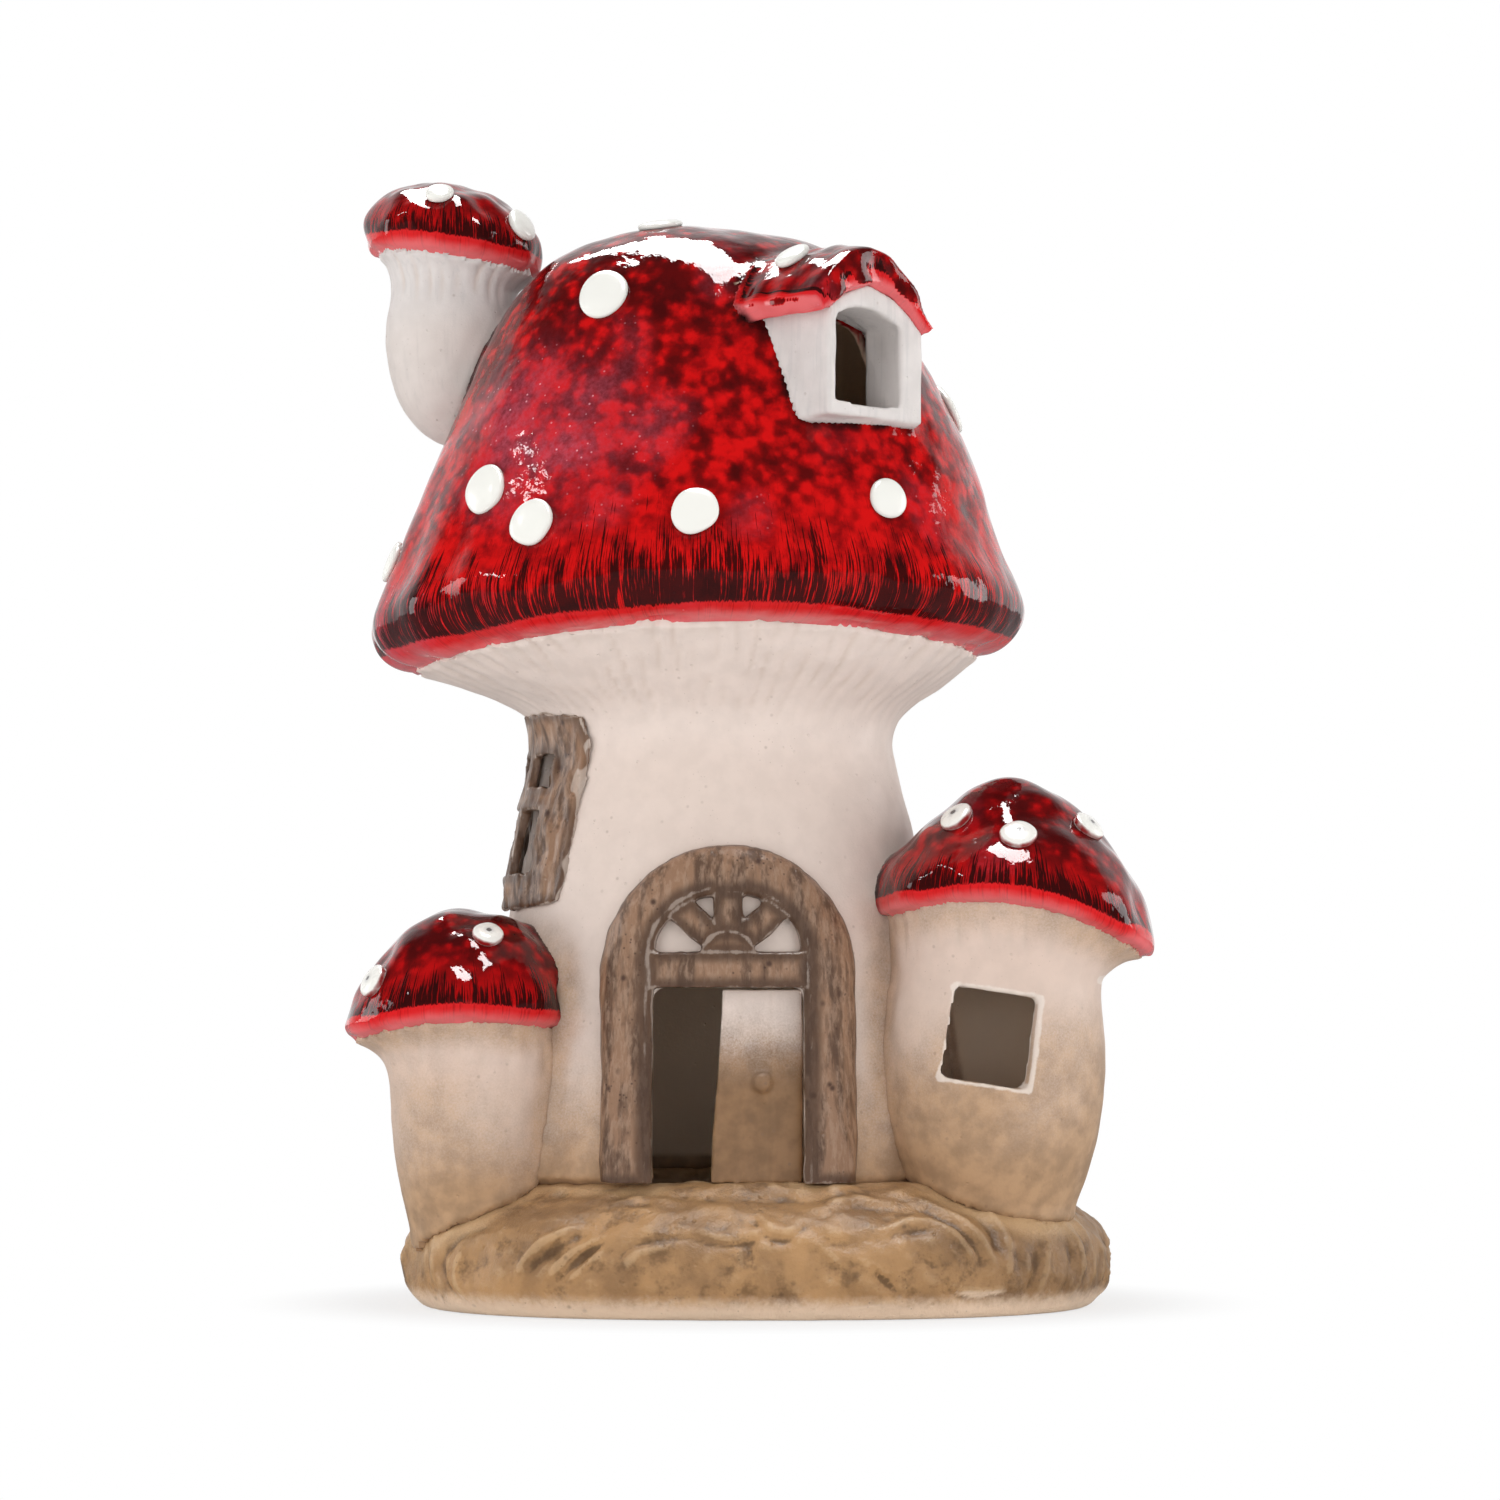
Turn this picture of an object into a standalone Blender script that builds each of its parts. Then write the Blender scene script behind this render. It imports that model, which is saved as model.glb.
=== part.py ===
"""Toadstool house ornament: hollow ceramic castings round a battery light unit in the base.

All sizes are in millimetres and each mesh is scaled to metres when it is made.
+Z is up, the door faces -Y, and the origin is on the floor in the middle of the ornament.
"""

import math

import bmesh
import bpy
from mathutils import Matrix, Vector

MM = 0.001

# Fits
SEAT_GAP = 0.3  # between two pieces that seat on each other
SLIDE_GAP = 0.4  # round a moulded piece that moves
CUT_OVER = 3.0  # how far a cutter runs past the wall that it cuts
HOLE_RUN = 1.0  # the same where another wall is near
COARSE_SAG = 0.12  # how far a coarse cutter's flats sink in from the form that it follows
WELD = 0.002  # vertices nearer than this after a cut become one

# Ceramic
OVERALL_WIDTH = 184.0
CAST_WALL = 4.5
SMALL_WALL = 3.6
OVAL = 0.83  # depth over width of the stalk and the main cap

# Ground mound
GROUND_HALF_WIDTH = 81.0
GROUND_HALF_DEPTH = 62.8
GROUND_HEIGHT = 28.7
GROUND_X = 1.4
GROUND_SQUARENESS = 2.5
GROUND_SHAPE = (
    (0.0, 0.945, 0.0),
    (0.11, 0.985, 0.0),
    (0.33, 1.0, 0.0),
    (0.55, 0.985, 0.0),
    (0.70, 0.945, 0.0),
    (0.80, 0.88, 0.0),
    (0.90, 0.80, 0.0),
    (0.975, 0.735, 0.0),
    (1.0, 0.69, 0.0),
)
STRAW_RIDGES = 18
STRAW_RELIEF = 1.1
STRAW_SWIRL = 3.4
FOOT_RECESS = 3.5
FOOT_RIM = 13.0
GROUND_FLOOR = 4.5
SHELF_INSET = 6.5  # how far the shelf under the stalk reaches in past the stalk's outside

# Stalk
STALK_X = -7.0
STALK_Y = 0.0
STALK_RADIUS = 65.4
STALK_HEIGHT = 123.6
STALK_SHAPE = (
    (0.0, 0.856, 0.0),
    (0.136, 0.826, 0.0),
    (0.27, 0.798, 0.0),
    (0.41, 0.768, 0.0),
    (0.525, 0.734, 0.0),
    (0.64, 0.690, -0.004),
    (0.735, 0.645, -0.008),
    (0.81, 0.614, -0.012),
    (0.855, 0.653, -0.016),
    (0.892, 0.742, -0.031),
    (0.945, 0.902, -0.054),
    (1.0, 1.0, -0.083),
)
GILLS = 38
GILL_DEPTH = 0.75
GILL_START = 0.84
RIM_TILT = 0.03
RIM_DROOP = 7.8  # how far the rim sinks at its left and right ends
RIM_START = 0.85  # share of the stalk's height where it starts to follow the rim

# Main cap
CAP_LAP = 0.457  # how far the cap's foot stands out past the stalk's rim
CAP_HEIGHT = 95.8
CAP_SHAPE = (
    (0.0, 0.862, 0.0),
    (0.012, 0.912, 0.0),
    (0.045, 0.965, 0.0),
    (0.08, 0.992, 0.0),
    (0.12, 1.0, 0.0),
    (0.17, 0.966, 0.002),
    (0.23, 0.918, 0.004),
    (0.36, 0.860, 0.012),
    (0.473, 0.805, 0.016),
    (0.58, 0.736, 0.012),
    (0.723, 0.652, 0.006),
    (0.847, 0.556, 0.0),
    (0.92, 0.450, -0.01),
    (0.972, 0.295, -0.02),
    (0.994, 0.125, -0.03),
    (1.0, 0.0, -0.03),
)
CAP_RADIUS = (STALK_RADIUS + CAP_LAP) / CAP_SHAPE[0][1]

# Doorway
DOOR_X = -4.8
DOOR_WIDTH = 33.4
DOOR_HEIGHT = 43.0
SURROUND_WIDTH = 57.0
SURROUND_HEIGHT = 75.0
SURROUND_SPRING = 46.2
SURROUND_THICK = 4.6
# The band's section: share of the way in from its outer edge, share of its thickness
SURROUND_SECTION = (
    (0.0, 0.0),
    (0.0, 0.55),
    (0.14, 0.88),
    (0.5, 1.0),
    (0.86, 0.85),
    (1.0, 0.5),
    (1.0, 0.0),
    (0.67, 0.0),
    (0.33, 0.0),
)
JAMB_STEPS = 4
ARCH_STEPS = 14
FANLIGHT_HALF_WIDTH = 16.4
FANLIGHT_RISE = 13.4
TRANSOM_THICK = 0.72 * SURROUND_THICK
HUB_THICK = 0.68 * SURROUND_THICK
RAY_THICK = 0.62 * SURROUND_THICK
TRANSOM_LAP = 2.0  # how far it runs into the band at each end
TRANSOM_TUCK = 0.5  # how far it runs up behind the fanlight's foot
TRANSOM_HEIGHT = 7.4
HUB_RADIUS = 6.2
HUB_STEPS = 8
WRAP_STEP = 4.2  # a wrapped piece is sliced this finely, so that it follows the round wall
SPOKE_ANGLES = (44.0, 90.0, 136.0)
SPOKE_ROOT = 4.4
SPOKE_TIP = 6.4
LEAF_SHARE = 0.53  # of the doorway's width that the half-closed leaf fills
LEAF_SLANT = 2.6
LEAF_THICK = 4.0
LEAF_SETBACK = 1.6
KNOB_RADIUS = 2.4
KNOB_PROUD = 1.6
KNOB_UP = 0.52
PLANK_COUNT = 3
PLANK_GROOVE_DEPTH = 0.5

# Window in the stalk's left side
SIDE_WINDOW_WIDTH = 40.0
SIDE_WINDOW_DOWN = 18.0  # its head below the main cap's rim
SIDE_WINDOW_HEIGHT = 44.6
SIDE_WINDOW_TURN = -7.6  # along the wall towards the front
SIDE_FRAME_THICK = 2.4
SIDE_FRAME_TAPER = 0.12  # how much narrower the frame is at its top
SIDE_JAMB = 8.2
SIDE_BOTTOM_RAIL = 7.6
SIDE_MULLION = 4.6
LOWER_PANE_HEIGHT = 15.2
CROSS_RAIL = 4.8
UPPER_PANE_HEIGHT = 7.4

# Toadstool rooms beside the stalk
LEFT_Y = -23.0
LEFT_CAP_RADIUS = 25.8
LEFT_CAP_HEIGHT = 25.0
LEFT_CAP_TILT = 0.04
LEFT_CAP_DROOP = 4.2
LEFT_RIM_DOWN = 25.2  # below the side window's sill
LEFT_STEM_IN = 4.2  # from the cap's middle towards the stalk
LEFT_STEM_RADIUS = 19.6
LEFT_GILLS = 12
RIGHT_Y = -26.0
RIGHT_CAP_RADIUS = 32.0
RIGHT_CAP_HEIGHT = 28.6
RIGHT_CAP_TILT = -0.16
RIGHT_CAP_DROOP = 8.6
RIGHT_RIM_Z = 90.4
RIGHT_STEM_IN = 5.2
RIGHT_STEM_RADIUS = 25.3
RIGHT_GILLS = 14
STEM_FOOT_Z = 12.0
STEM_RIM_START = 0.72
ROOM_WINDOW_WIDTH = 17.5
ROOM_WINDOW_HEIGHT = 20.0
ROOM_WINDOW_Z = 61.0
ROOM_WINDOW_LEAN = 9.0
ROOM_WINDOW_SHIFT = -9.0
ROOM_WINDOW_TURN = 18.0
LIGHT_PASSAGE = 16.0

LEFT_CAP_SHAPE = (
    (0.0, 0.885, 0.0),
    (0.03, 0.965, 0.0),
    (0.10, 1.0, 0.0),
    (0.25, 0.98, 0.035),
    (0.45, 0.877, 0.07),
    (0.66, 0.724, 0.095),
    (0.81, 0.57, 0.08),
    (0.92, 0.385, 0.045),
    (0.98, 0.19, 0.01),
    (1.0, 0.0, 0.0),
)
RIGHT_CAP_SHAPE = (
    (0.0, 0.89, 0.0),
    (0.025, 0.965, 0.0),
    (0.09, 1.0, 0.0),
    (0.20, 0.975, 0.006),
    (0.33, 0.895, 0.02),
    (0.45, 0.785, 0.04),
    (0.57, 0.665, 0.05),
    (0.69, 0.555, 0.05),
    (0.81, 0.435, 0.045),
    (0.91, 0.305, 0.04),
    (0.975, 0.165, 0.03),
    (1.0, 0.0, 0.03),
)
LEFT_STEM_SHAPE = (
    (0.0, 0.66, 0.0),
    (0.18, 0.80, 0.0),
    (0.38, 0.92, 0.0),
    (0.58, 0.985, 0.0),
    (0.78, 1.0, 0.0),
    (0.86, 1.03, -0.03),
    (0.93, 1.10, -0.12),
    (1.0, 1.18, -0.21),
)
RIGHT_STEM_SHAPE = (
    (0.0, 0.62, 0.0),
    (0.12, 0.70, 0.0),
    (0.20, 0.79, 0.0),
    (0.30, 0.90, 0.0),
    (0.42, 0.98, 0.0),
    (0.56, 1.0, 0.0),
    (0.72, 0.965, 0.0),
    (0.82, 0.955, 0.03),
    (0.89, 1.02, 0.10),
    (0.95, 1.09, 0.16),
    (1.0, 1.13, 0.20),
)
STEM_GILL_DEPTH = 0.45

# Chimney toadstool on the main cap's left
CHIMNEY_INSET = 18.828  # its axis, inside the main cap's widest ring
CHIMNEY_Y = 13.0
CHIMNEY_STEM_RADIUS = 16.2
CHIMNEY_STEM_HEIGHT = 43.5
CHIMNEY_RIM_UP = 89.8  # above the main cap's rim
CHIMNEY_CAP_RADIUS = 21.5
CHIMNEY_CAP_HEIGHT = 19.2
CHIMNEY_TILT = -0.15
CHIMNEY_GILLS = 11
CHIMNEY_STEM_SHAPE = (
    (0.0, 0.0, 0.0),
    (0.03, 0.28, 0.0),
    (0.13, 0.60, 0.0),
    (0.29, 0.86, 0.0),
    (0.46, 0.98, 0.0),
    (0.64, 1.0, 0.0),
    (0.78, 0.945, 0.0),
    (0.87, 0.93, 0.01),
    (0.94, 1.03, 0.03),
    (1.0, 1.14, 0.05),
)
CHIMNEY_CAP_SHAPE = (
    (0.0, 0.87, 0.0),
    (0.04, 0.95, 0.0),
    (0.20, 1.0, 0.0),
    (0.40, 0.985, 0.0),
    (0.60, 0.875, 0.0),
    (0.775, 0.685, 0.0),
    (0.90, 0.46, 0.0),
    (0.975, 0.22, 0.0),
    (1.0, 0.0, 0.0),
)

# Dormer on the main cap's right front
DORMER_TURN = 42.5
DORMER_INSET = 16.4  # its front, inside the main cap's widest ring
DORMER_WIDTH = 28.8
DORMER_SILL_UP = 45.6  # above the main cap's rim
DORMER_HEIGHT = 30.2
DORMER_FLARE = 0.14  # how much wider the dormer is where it meets the cap
DORMER_GABLE = (
    (-1.0, 0.79),
    (-0.66, 0.92),
    (-0.14, 1.0),
    (0.35, 0.94),
    (0.73, 0.82),
    (1.0, 0.69),
)
DORMER_WINDOW_WIDTH = 20.0
DORMER_WINDOW_HEIGHT = 19.0
DORMER_WINDOW_RISE = 2.6
DORMER_WINDOW_SKEW = 0.8  # how much lower its right shoulder is
DORMER_WINDOW_UP = 3.2
DORMER_WINDOW_SHIFT = -2.2
DORMER_REVEAL = 11.5
DORMER_LINER = 1.6
ROOF_THICK = (3.4, 6.4, 8.4, 9.6, 7.4, 5.6, 2.8)  # from left eave to right eave
ROOF_OVERHANG = 1.6
ROOF_LEFT_EAVE = 3.2
ROOF_RIGHT_EAVE = 1.4
ROOF_EAVE_DROP = 2.2
ROOF_ROUNDING = 1.6
DORMER_REACH = 34.0  # back into the cap, before the cap's own shape is cut away

# Raised white spots: turn from the front in degrees, share of the cap's height, radius
SPOT_HEIGHT = 1.7
CAP_SPOTS = (
    (-27.0, 0.79, 6.2),
    (-46.0, 0.345, 5.9),
    (-31.0, 0.245, 5.4),
    (0.0, 0.240, 5.4),
    (38.5, 0.288, 4.8),
    (-25.0, 0.985, 5.2),
    (-82.0, 0.235, 5.0),
    (96.0, 0.555, 6.2),
    (128.0, 0.290, 5.2),
    (165.0, 0.420, 5.6),
    (-158.0, 0.255, 5.0),
    (-122.0, 0.400, 5.4),
    (178.0, 0.730, 5.6),
)
LEFT_CAP_SPOTS = ((-55.0, 0.40, 3.9), (20.0, 0.74, 3.5), (-135.0, 0.45, 3.8))
RIGHT_CAP_SPOTS = ((-50.0, 0.60, 3.9), (-6.0, 0.52, 4.2), (52.0, 0.70, 4.0), (165.0, 0.42, 4.4))
CHIMNEY_SPOTS = ((-8.0, 0.70, 3.4), (56.0, 0.52, 4.2), (170.0, 0.60, 3.8))
ROOF_SPOT_RADIUS = 4.2
ROOF_SPOT_BACK = 14.5

# Light unit
UNIT_SOCKET_RADIUS = 36.5  # hole in the ground's floor
UNIT_X = -4.0
UNIT_Y = 1.0
UNIT_BODY_RADIUS = 34.5
UNIT_WALL = 1.6
UNIT_BODY_HEIGHT = 19.4
FLANGE_RADIUS = 42.0
FLANGE_THICK = 1.9
LID_THICK = 2.0
LID_SKIRT = 2.4
SEAL_HEIGHT = 3.6
SEAL_LIP = 0.75  # how much lower the ring is at its outside
CELL_RADIUS = 5.2
CELL_LENGTH = 43.7
CELL_NUB_RADIUS = 1.9
CELL_NUB_LENGTH = 0.8
CELL_SPACE = 0.6
CONTACT_THICK = 0.4
CONTACT_WIDTH = 8.0
TAB_WIDTH = 3.0
SPRING_LENGTH = 4.6
SPRING_WIRE_RADIUS = 0.35
SPRING_RADIUS = 3.4
SPRING_TIP_RADIUS = 2.0
SPRING_TURNS = 4
BAY_WALL = 1.5
BAY_LEDGE = 1.3
COVER_THICK = 1.6
COVER_EAR_WIDTH = 9.0
COVER_EAR_REACH = 10.5
COVER_RIB_COUNT = 5
COVER_RIB_PROUD = 0.4
TONGUE_WIDTH = 5.0
TONGUE_REACH = 2.0
TONGUE_THICK = 0.8
TONGUE_SPREAD = 28.0
SCREW_SHANK_RADIUS = 1.0
SCREW_LENGTH = 6.5
SCREW_HEAD_RADIUS = 2.3
SCREW_HEAD_HEIGHT = 1.0
SCREW_SLOT_WIDTH = 0.6
SCREW_SLOT_DEPTH = 0.5
BOSS_RADIUS = 3.4
BOSS_BORE_RADIUS = 2.0
SWITCH_Y = -26.5
SWITCH_BODY = (9.0, 4.6, 4.2)
SWITCH_KNOB = (3.2, 2.0)
SWITCH_KNOB_PROUD = 0.7
SWITCH_TRAVEL = 2.4
BOARD_THICK = 1.6
BOARD_LENGTH = 56.0
BOARD_WIDTH = 17.0
LED_RADIUS = 2.5
LED_RIM_RADIUS = 2.9
LED_RIM_THICK = 1.0
LED_LENGTH = 8.6
LEAD_RADIUS = 0.6
LEAD_PIN_SPREAD = 5.0
LEAD_PAD_SPREAD = 7.0

# Mesh fineness
FINE_STEPS = 2 * GILLS
CAP_STEPS = 42
GROUND_STEPS = 60
SMALL_STEPS = 20
CAVITY_STEPS = 18
ROUND_STEPS = 24
SPOT_STEPS = 10
PIN_STEPS = 12

MATERIALS = {
    "red_glaze": ((0.52, 0.02, 0.03), 0.15, 0.0),
    "white_slip": ((0.86, 0.85, 0.80), 0.25, 0.0),
    "cream_ceramic": ((0.80, 0.73, 0.65), 0.7, 0.0),
    "white_ceramic": ((0.83, 0.81, 0.79), 0.6, 0.0),
    "tan_ceramic": ((0.50, 0.38, 0.25), 0.75, 0.0),
    "brown_ceramic": ((0.30, 0.21, 0.15), 0.55, 0.0),
    "black_plastic": ((0.03, 0.03, 0.03), 0.45, 0.0),
    "grey_rubber": ((0.25, 0.25, 0.24), 0.8, 0.0),
    "cell_sleeve": ((0.05, 0.16, 0.10), 0.35, 0.0),
    "plated_metal": ((0.70, 0.70, 0.70), 0.3, 1.0),
    "circuit_board": ((0.03, 0.22, 0.10), 0.5, 0.0),
    "led_lens": ((0.95, 0.90, 0.72), 0.1, 0.0),
    "red_lead": ((0.55, 0.03, 0.03), 0.5, 0.0),
    "black_lead": ((0.02, 0.02, 0.02), 0.5, 0.0),
}


def material(name):
    """The named material, made the first time that it is asked for."""
    if name in bpy.data.materials:
        return bpy.data.materials[name]
    colour, roughness, metallic = MATERIALS[name]
    made = bpy.data.materials.new(name)
    made.use_nodes = True
    shader = made.node_tree.nodes["Principled BSDF"]
    shader.inputs["Base Color"].default_value = (*colour, 1.0)
    shader.inputs["Roughness"].default_value = roughness
    shader.inputs["Metallic"].default_value = metallic
    made.diffuse_color = (*colour, 1.0)
    return made


def as_object(bm, name):
    """An object in metres from a bmesh in millimetres."""
    bm.normal_update()
    bmesh.ops.recalc_face_normals(bm, faces=bm.faces)
    bmesh.ops.scale(bm, vec=(MM, MM, MM), verts=bm.verts)
    mesh = bpy.data.meshes.new(name)
    bm.to_mesh(mesh)
    bm.free()
    made = bpy.data.objects.new(name, mesh)
    bpy.context.scene.collection.objects.link(made)
    return made


def finish(made, material_name, smooth_angle=40.0):
    """Gives a finished piece its material and its smooth shading."""
    made.data.materials.clear()
    made.data.materials.append(material(material_name))
    made.data.shade_smooth()
    made.data.set_sharp_from_angle(angle=math.radians(smooth_angle))
    return made


def combine(target, other, operation):
    """Cuts other from target, or joins it on, and removes other."""
    modifier = target.modifiers.new(operation.title(), "BOOLEAN")
    modifier.operation = operation
    modifier.object = other
    bpy.context.view_layer.update()
    graph = bpy.context.evaluated_depsgraph_get()
    result = bpy.data.meshes.new_from_object(target.evaluated_get(graph))
    bm = bmesh.new()
    bm.from_mesh(result)
    bmesh.ops.remove_doubles(bm, verts=bm.verts, dist=WELD * MM)
    bmesh.ops.dissolve_degenerate(bm, edges=bm.edges, dist=WELD * MM / 2)
    bm.to_mesh(result)
    bm.free()
    target.modifiers.clear()
    target.data = result
    bpy.data.objects.remove(other)
    return target


def cut(target, *cutters):
    for cutter in cutters:
        combine(target, cutter, "DIFFERENCE")
    return target


def join(target, *others):
    for other in others:
        combine(target, other, "UNION")
    return target


def bend(made, where):
    """Moves every vertex to where(x, y, z), all in millimetres."""
    bm = bmesh.new()
    bm.from_mesh(made.data)
    for vertex in bm.verts:
        vertex.co = Vector(where(*(vertex.co / MM)))
    bm.normal_update()
    bmesh.ops.recalc_face_normals(bm, faces=bm.faces)
    bmesh.ops.scale(bm, vec=(MM, MM, MM), verts=bm.verts)
    bm.to_mesh(made.data)
    bm.free()
    return made


def block(low, high, name="block", segments=1):
    """A box between two corners, cut into equal lengths along X."""
    bm = bmesh.new()
    size = Vector(high) - Vector(low)
    matrix = Matrix.Translation((Vector(low) + Vector(high)) / 2) @ Matrix.Diagonal((*size, 1.0))
    bmesh.ops.create_cube(bm, size=1.0, matrix=matrix)
    for step in range(1, segments):
        at = low[0] + size[0] * step / segments
        bmesh.ops.bisect_plane(
            bm, geom=bm.verts[:] + bm.edges[:] + bm.faces[:], plane_co=(at, 0, 0), plane_no=(1, 0, 0)
        )
    return as_object(bm, name)


def revolve(bm, verts, edges, steps):
    """Spins a profile a full turn about Z and closes the seam."""
    bmesh.ops.spin(
        bm,
        geom=verts + edges,
        cent=(0, 0, 0),
        axis=(0, 0, 1),
        angle=math.tau,
        steps=steps,
        use_merge=True,
    )
    bmesh.ops.remove_doubles(bm, verts=bm.verts, dist=WELD / 2)


def turned(profile, steps, name="turned", middle=(0.0, 0.0)):
    """A solid of revolution from (radius, height) points, closed back to its first point."""
    bm = bmesh.new()
    verts = [bm.verts.new((radius, 0.0, height)) for radius, height in profile]
    edges = []
    for first, second in zip(verts, verts[1:] + verts[:1]):
        if first.co.x > 0.0 or second.co.x > 0.0:
            edges.append(bm.edges.new((first, second)))
    revolve(bm, verts, edges, steps)
    bmesh.ops.translate(bm, vec=(*middle, 0.0), verts=bm.verts)
    return as_object(bm, name)


def prism(outline, low, high, name="prism"):
    """An outline of (across, up) points in the XZ plane, extruded from low to high along Y."""
    bm = bmesh.new()
    face = bm.faces.new([bm.verts.new((across, low, up)) for across, up in outline])
    pushed = bmesh.ops.extrude_face_region(bm, geom=[face])
    moved = [item for item in pushed["geom"] if isinstance(item, bmesh.types.BMVert)]
    bmesh.ops.translate(bm, vec=(0, high - low, 0), verts=moved)
    return as_object(bm, name)


def sliced(made, point, normal):
    """Adds the edges where a plane crosses a piece."""
    bm = bmesh.new()
    bm.from_mesh(made.data)
    geometry = bm.verts[:] + bm.edges[:] + bm.faces[:]
    bmesh.ops.bisect_plane(bm, geom=geometry, plane_co=Vector(point) * MM, plane_no=normal)
    bm.to_mesh(made.data)
    bm.free()
    return made


class Form:
    """An upright cast form: oval rings stacked along a smooth shape.

    Each row of the shape is a share of the height, a share of the radius, and how far the
    ring's middle drifts along X as a share of the radius.
    """

    def __init__(self, shape, radius, height, middle, depth=1.0, squareness=2.0, tilt=0.0, droop=0.0):
        self.rows = [
            (middle[2] + share * height, width * radius, drift * radius) for share, width, drift in shape
        ]
        self.middle = middle
        self.radius = radius
        self.depth = depth
        self.squareness = squareness
        self.tilt = tilt
        self.droop = droop
        self.foot = middle[2]
        self.top = middle[2] + height
        self.cap = None
        self.start = 0.0

    def under(self, cap, start):
        """Makes this form follow the cap's rim from a share of its height upwards."""
        self.cap = cap
        self.start = start
        return self

    def ring(self, height):
        """(radius, middle x) of the ring at a height, straight between the rows."""
        rows = self.rows
        for (low, r0, d0), (high, r1, d1) in zip(rows, rows[1:]):
            if height <= high:
                share = max(0.0, (height - low) / (high - low))
                return r0 + (r1 - r0) * share, self.middle[0] + d0 + (d1 - d0) * share
        return rows[-1][1], self.middle[0] + rows[-1][2]

    def squared(self, turn):
        """How much farther out than an oval the ring is at a turn in radians."""
        power = self.squareness
        return (abs(math.sin(turn)) ** power + abs(math.cos(turn)) ** power) ** (-1.0 / power)

    def rim_lift(self, x, fade=1.0):
        """How far the rim's tilt and droop lift it at x; the droop fades above the rim."""
        across = x - self.middle[0]
        return self.tilt * across - self.droop * fade * (across / self.radius) ** 2

    def lifted(self, x, height):
        """The height at x once the rim's tilt and droop are added."""
        share = min(1.0, max(0.0, (height - self.foot) / (self.top - self.foot)))
        if self.cap is None:
            return height + self.rim_lift(x, (1.0 - share) ** 2)
        ramp = max(0.0, (share - self.start) / (1.0 - self.start))
        return height + ramp * self.cap.rim_lift(x)

    def point(self, turn, height):
        """A surface point at a turn in degrees from the front, positive towards +X."""
        radius, middle_x = self.ring(height)
        a = math.radians(turn)
        x = middle_x + radius * math.sin(a)
        y = self.middle[1] - radius * self.depth * math.cos(a)
        return Vector((x, y, self.lifted(x, height)))

    def normal(self, turn, height):
        """The outward normal at a surface point."""
        along = self.point(turn + 1.0, height) - self.point(turn - 1.0, height)
        reach = min(self.top - height, 2.0) * 0.5
        up = self.point(turn, height + reach) - self.point(turn, height - reach)
        return along.cross(up).normalized()

    def bulge(self, turn, height, reach):
        """How far the surface above or below a point stands out past the plane that touches it."""
        place, normal = self.point(turn, height), self.normal(turn, height)
        rise = reach * math.sqrt(1.0 - normal.z**2)
        lowest = max(self.foot, height - rise)
        near = (self.point(turn, min(self.top, height + rise)), self.point(turn, lowest))
        return max(0.0, *((point - place).dot(normal) for point in near))

    def front(self, x, height):
        """y of the wall at x and height, on the front."""
        radius, middle_x = self.ring(height)
        across = min(1.0, abs(x - middle_x) / radius)
        return self.middle[1] - self.depth * radius * math.sqrt(1.0 - across * across)

    def left(self, y, height):
        """x of the wall at y and height, on the left."""
        radius, middle_x = self.ring(height)
        across = min(1.0, abs(y - self.middle[1]) / (radius * self.depth))
        return middle_x - radius * math.sqrt(1.0 - across * across)

    def grown(self, distance):
        """The rows moved out from the wall by a distance, or in where it is negative."""
        moved = []
        last = len(self.rows) - 1
        for index, (height, radius, drift) in enumerate(self.rows):
            before, after = self.rows[max(index - 1, 0)], self.rows[min(index + 1, last)]
            slope = Vector((after[1] - before[1], after[0] - before[0])).normalized()
            if radius == 0.0:
                rising = 1.0 if index == last else -1.0
                moved.append((height + rising * distance, 0.0, drift))
            else:
                moved.append((height - slope.x * distance, radius + slope.y * distance, drift))
        return [row for row in moved if row[1] >= 0.0]

    def solid(self, steps, name="form", grow=0.0, past_foot=0.0, past_top=0.0, wave=None, coarse=False):
        """The closed solid of the form, grown or shrunk, run past its foot or top as a cutter is.

        wave(turn, height, radius) gives (more radius, more height) for relief, and a coarse
        solid keeps every other row, as is enough for a hollow.
        """
        rows = self.grown(grow) if grow else list(self.rows)
        if coarse:
            rows = [row for index, row in enumerate(rows) if index % 2 == 0 or index == len(rows) - 1]
        if past_foot and rows[0][1] > 0.0:
            rows.insert(0, (self.rows[0][0] - past_foot, rows[0][1], rows[0][2]))
        if past_top and rows[-1][1] > 0.0:
            rows.append((self.rows[-1][0] + past_top, rows[-1][1], rows[-1][2]))
        rows = [rows[0]] + [row for before, row in zip(rows, rows[1:]) if row[0] > before[0] + 0.01]
        bm = bmesh.new()
        profile = [(radius, height) for height, radius, _ in rows]
        if rows[0][1] > 0.0:
            profile.insert(0, (0.0, rows[0][0]))
        if rows[-1][1] > 0.0:
            profile.append((0.0, rows[-1][0]))
        verts = [bm.verts.new((radius, 0.0, height)) for radius, height in profile]
        edges = [bm.edges.new(pair) for pair in zip(verts, verts[1:])]
        revolve(bm, verts, edges, steps)
        drifts = {round(height, 4): drift for height, _, drift in rows}
        for vertex in bm.verts:
            x, y, height = vertex.co
            radius, turn = math.hypot(x, y), math.atan2(x, -y)
            if wave and radius > 0.001:
                more, lift = wave(turn, height, radius)
            else:
                more, lift = 0.0, 0.0
            reach = (radius + more) * self.squared(turn)
            drift = drifts[min(drifts, key=lambda known: abs(known - height))]
            new_x = self.middle[0] + drift + reach * math.sin(turn)
            new_y = self.middle[1] - reach * self.depth * math.cos(turn)
            vertex.co = (new_x, new_y, self.lifted(new_x, height) + lift)
        return as_object(bm, name)


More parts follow.
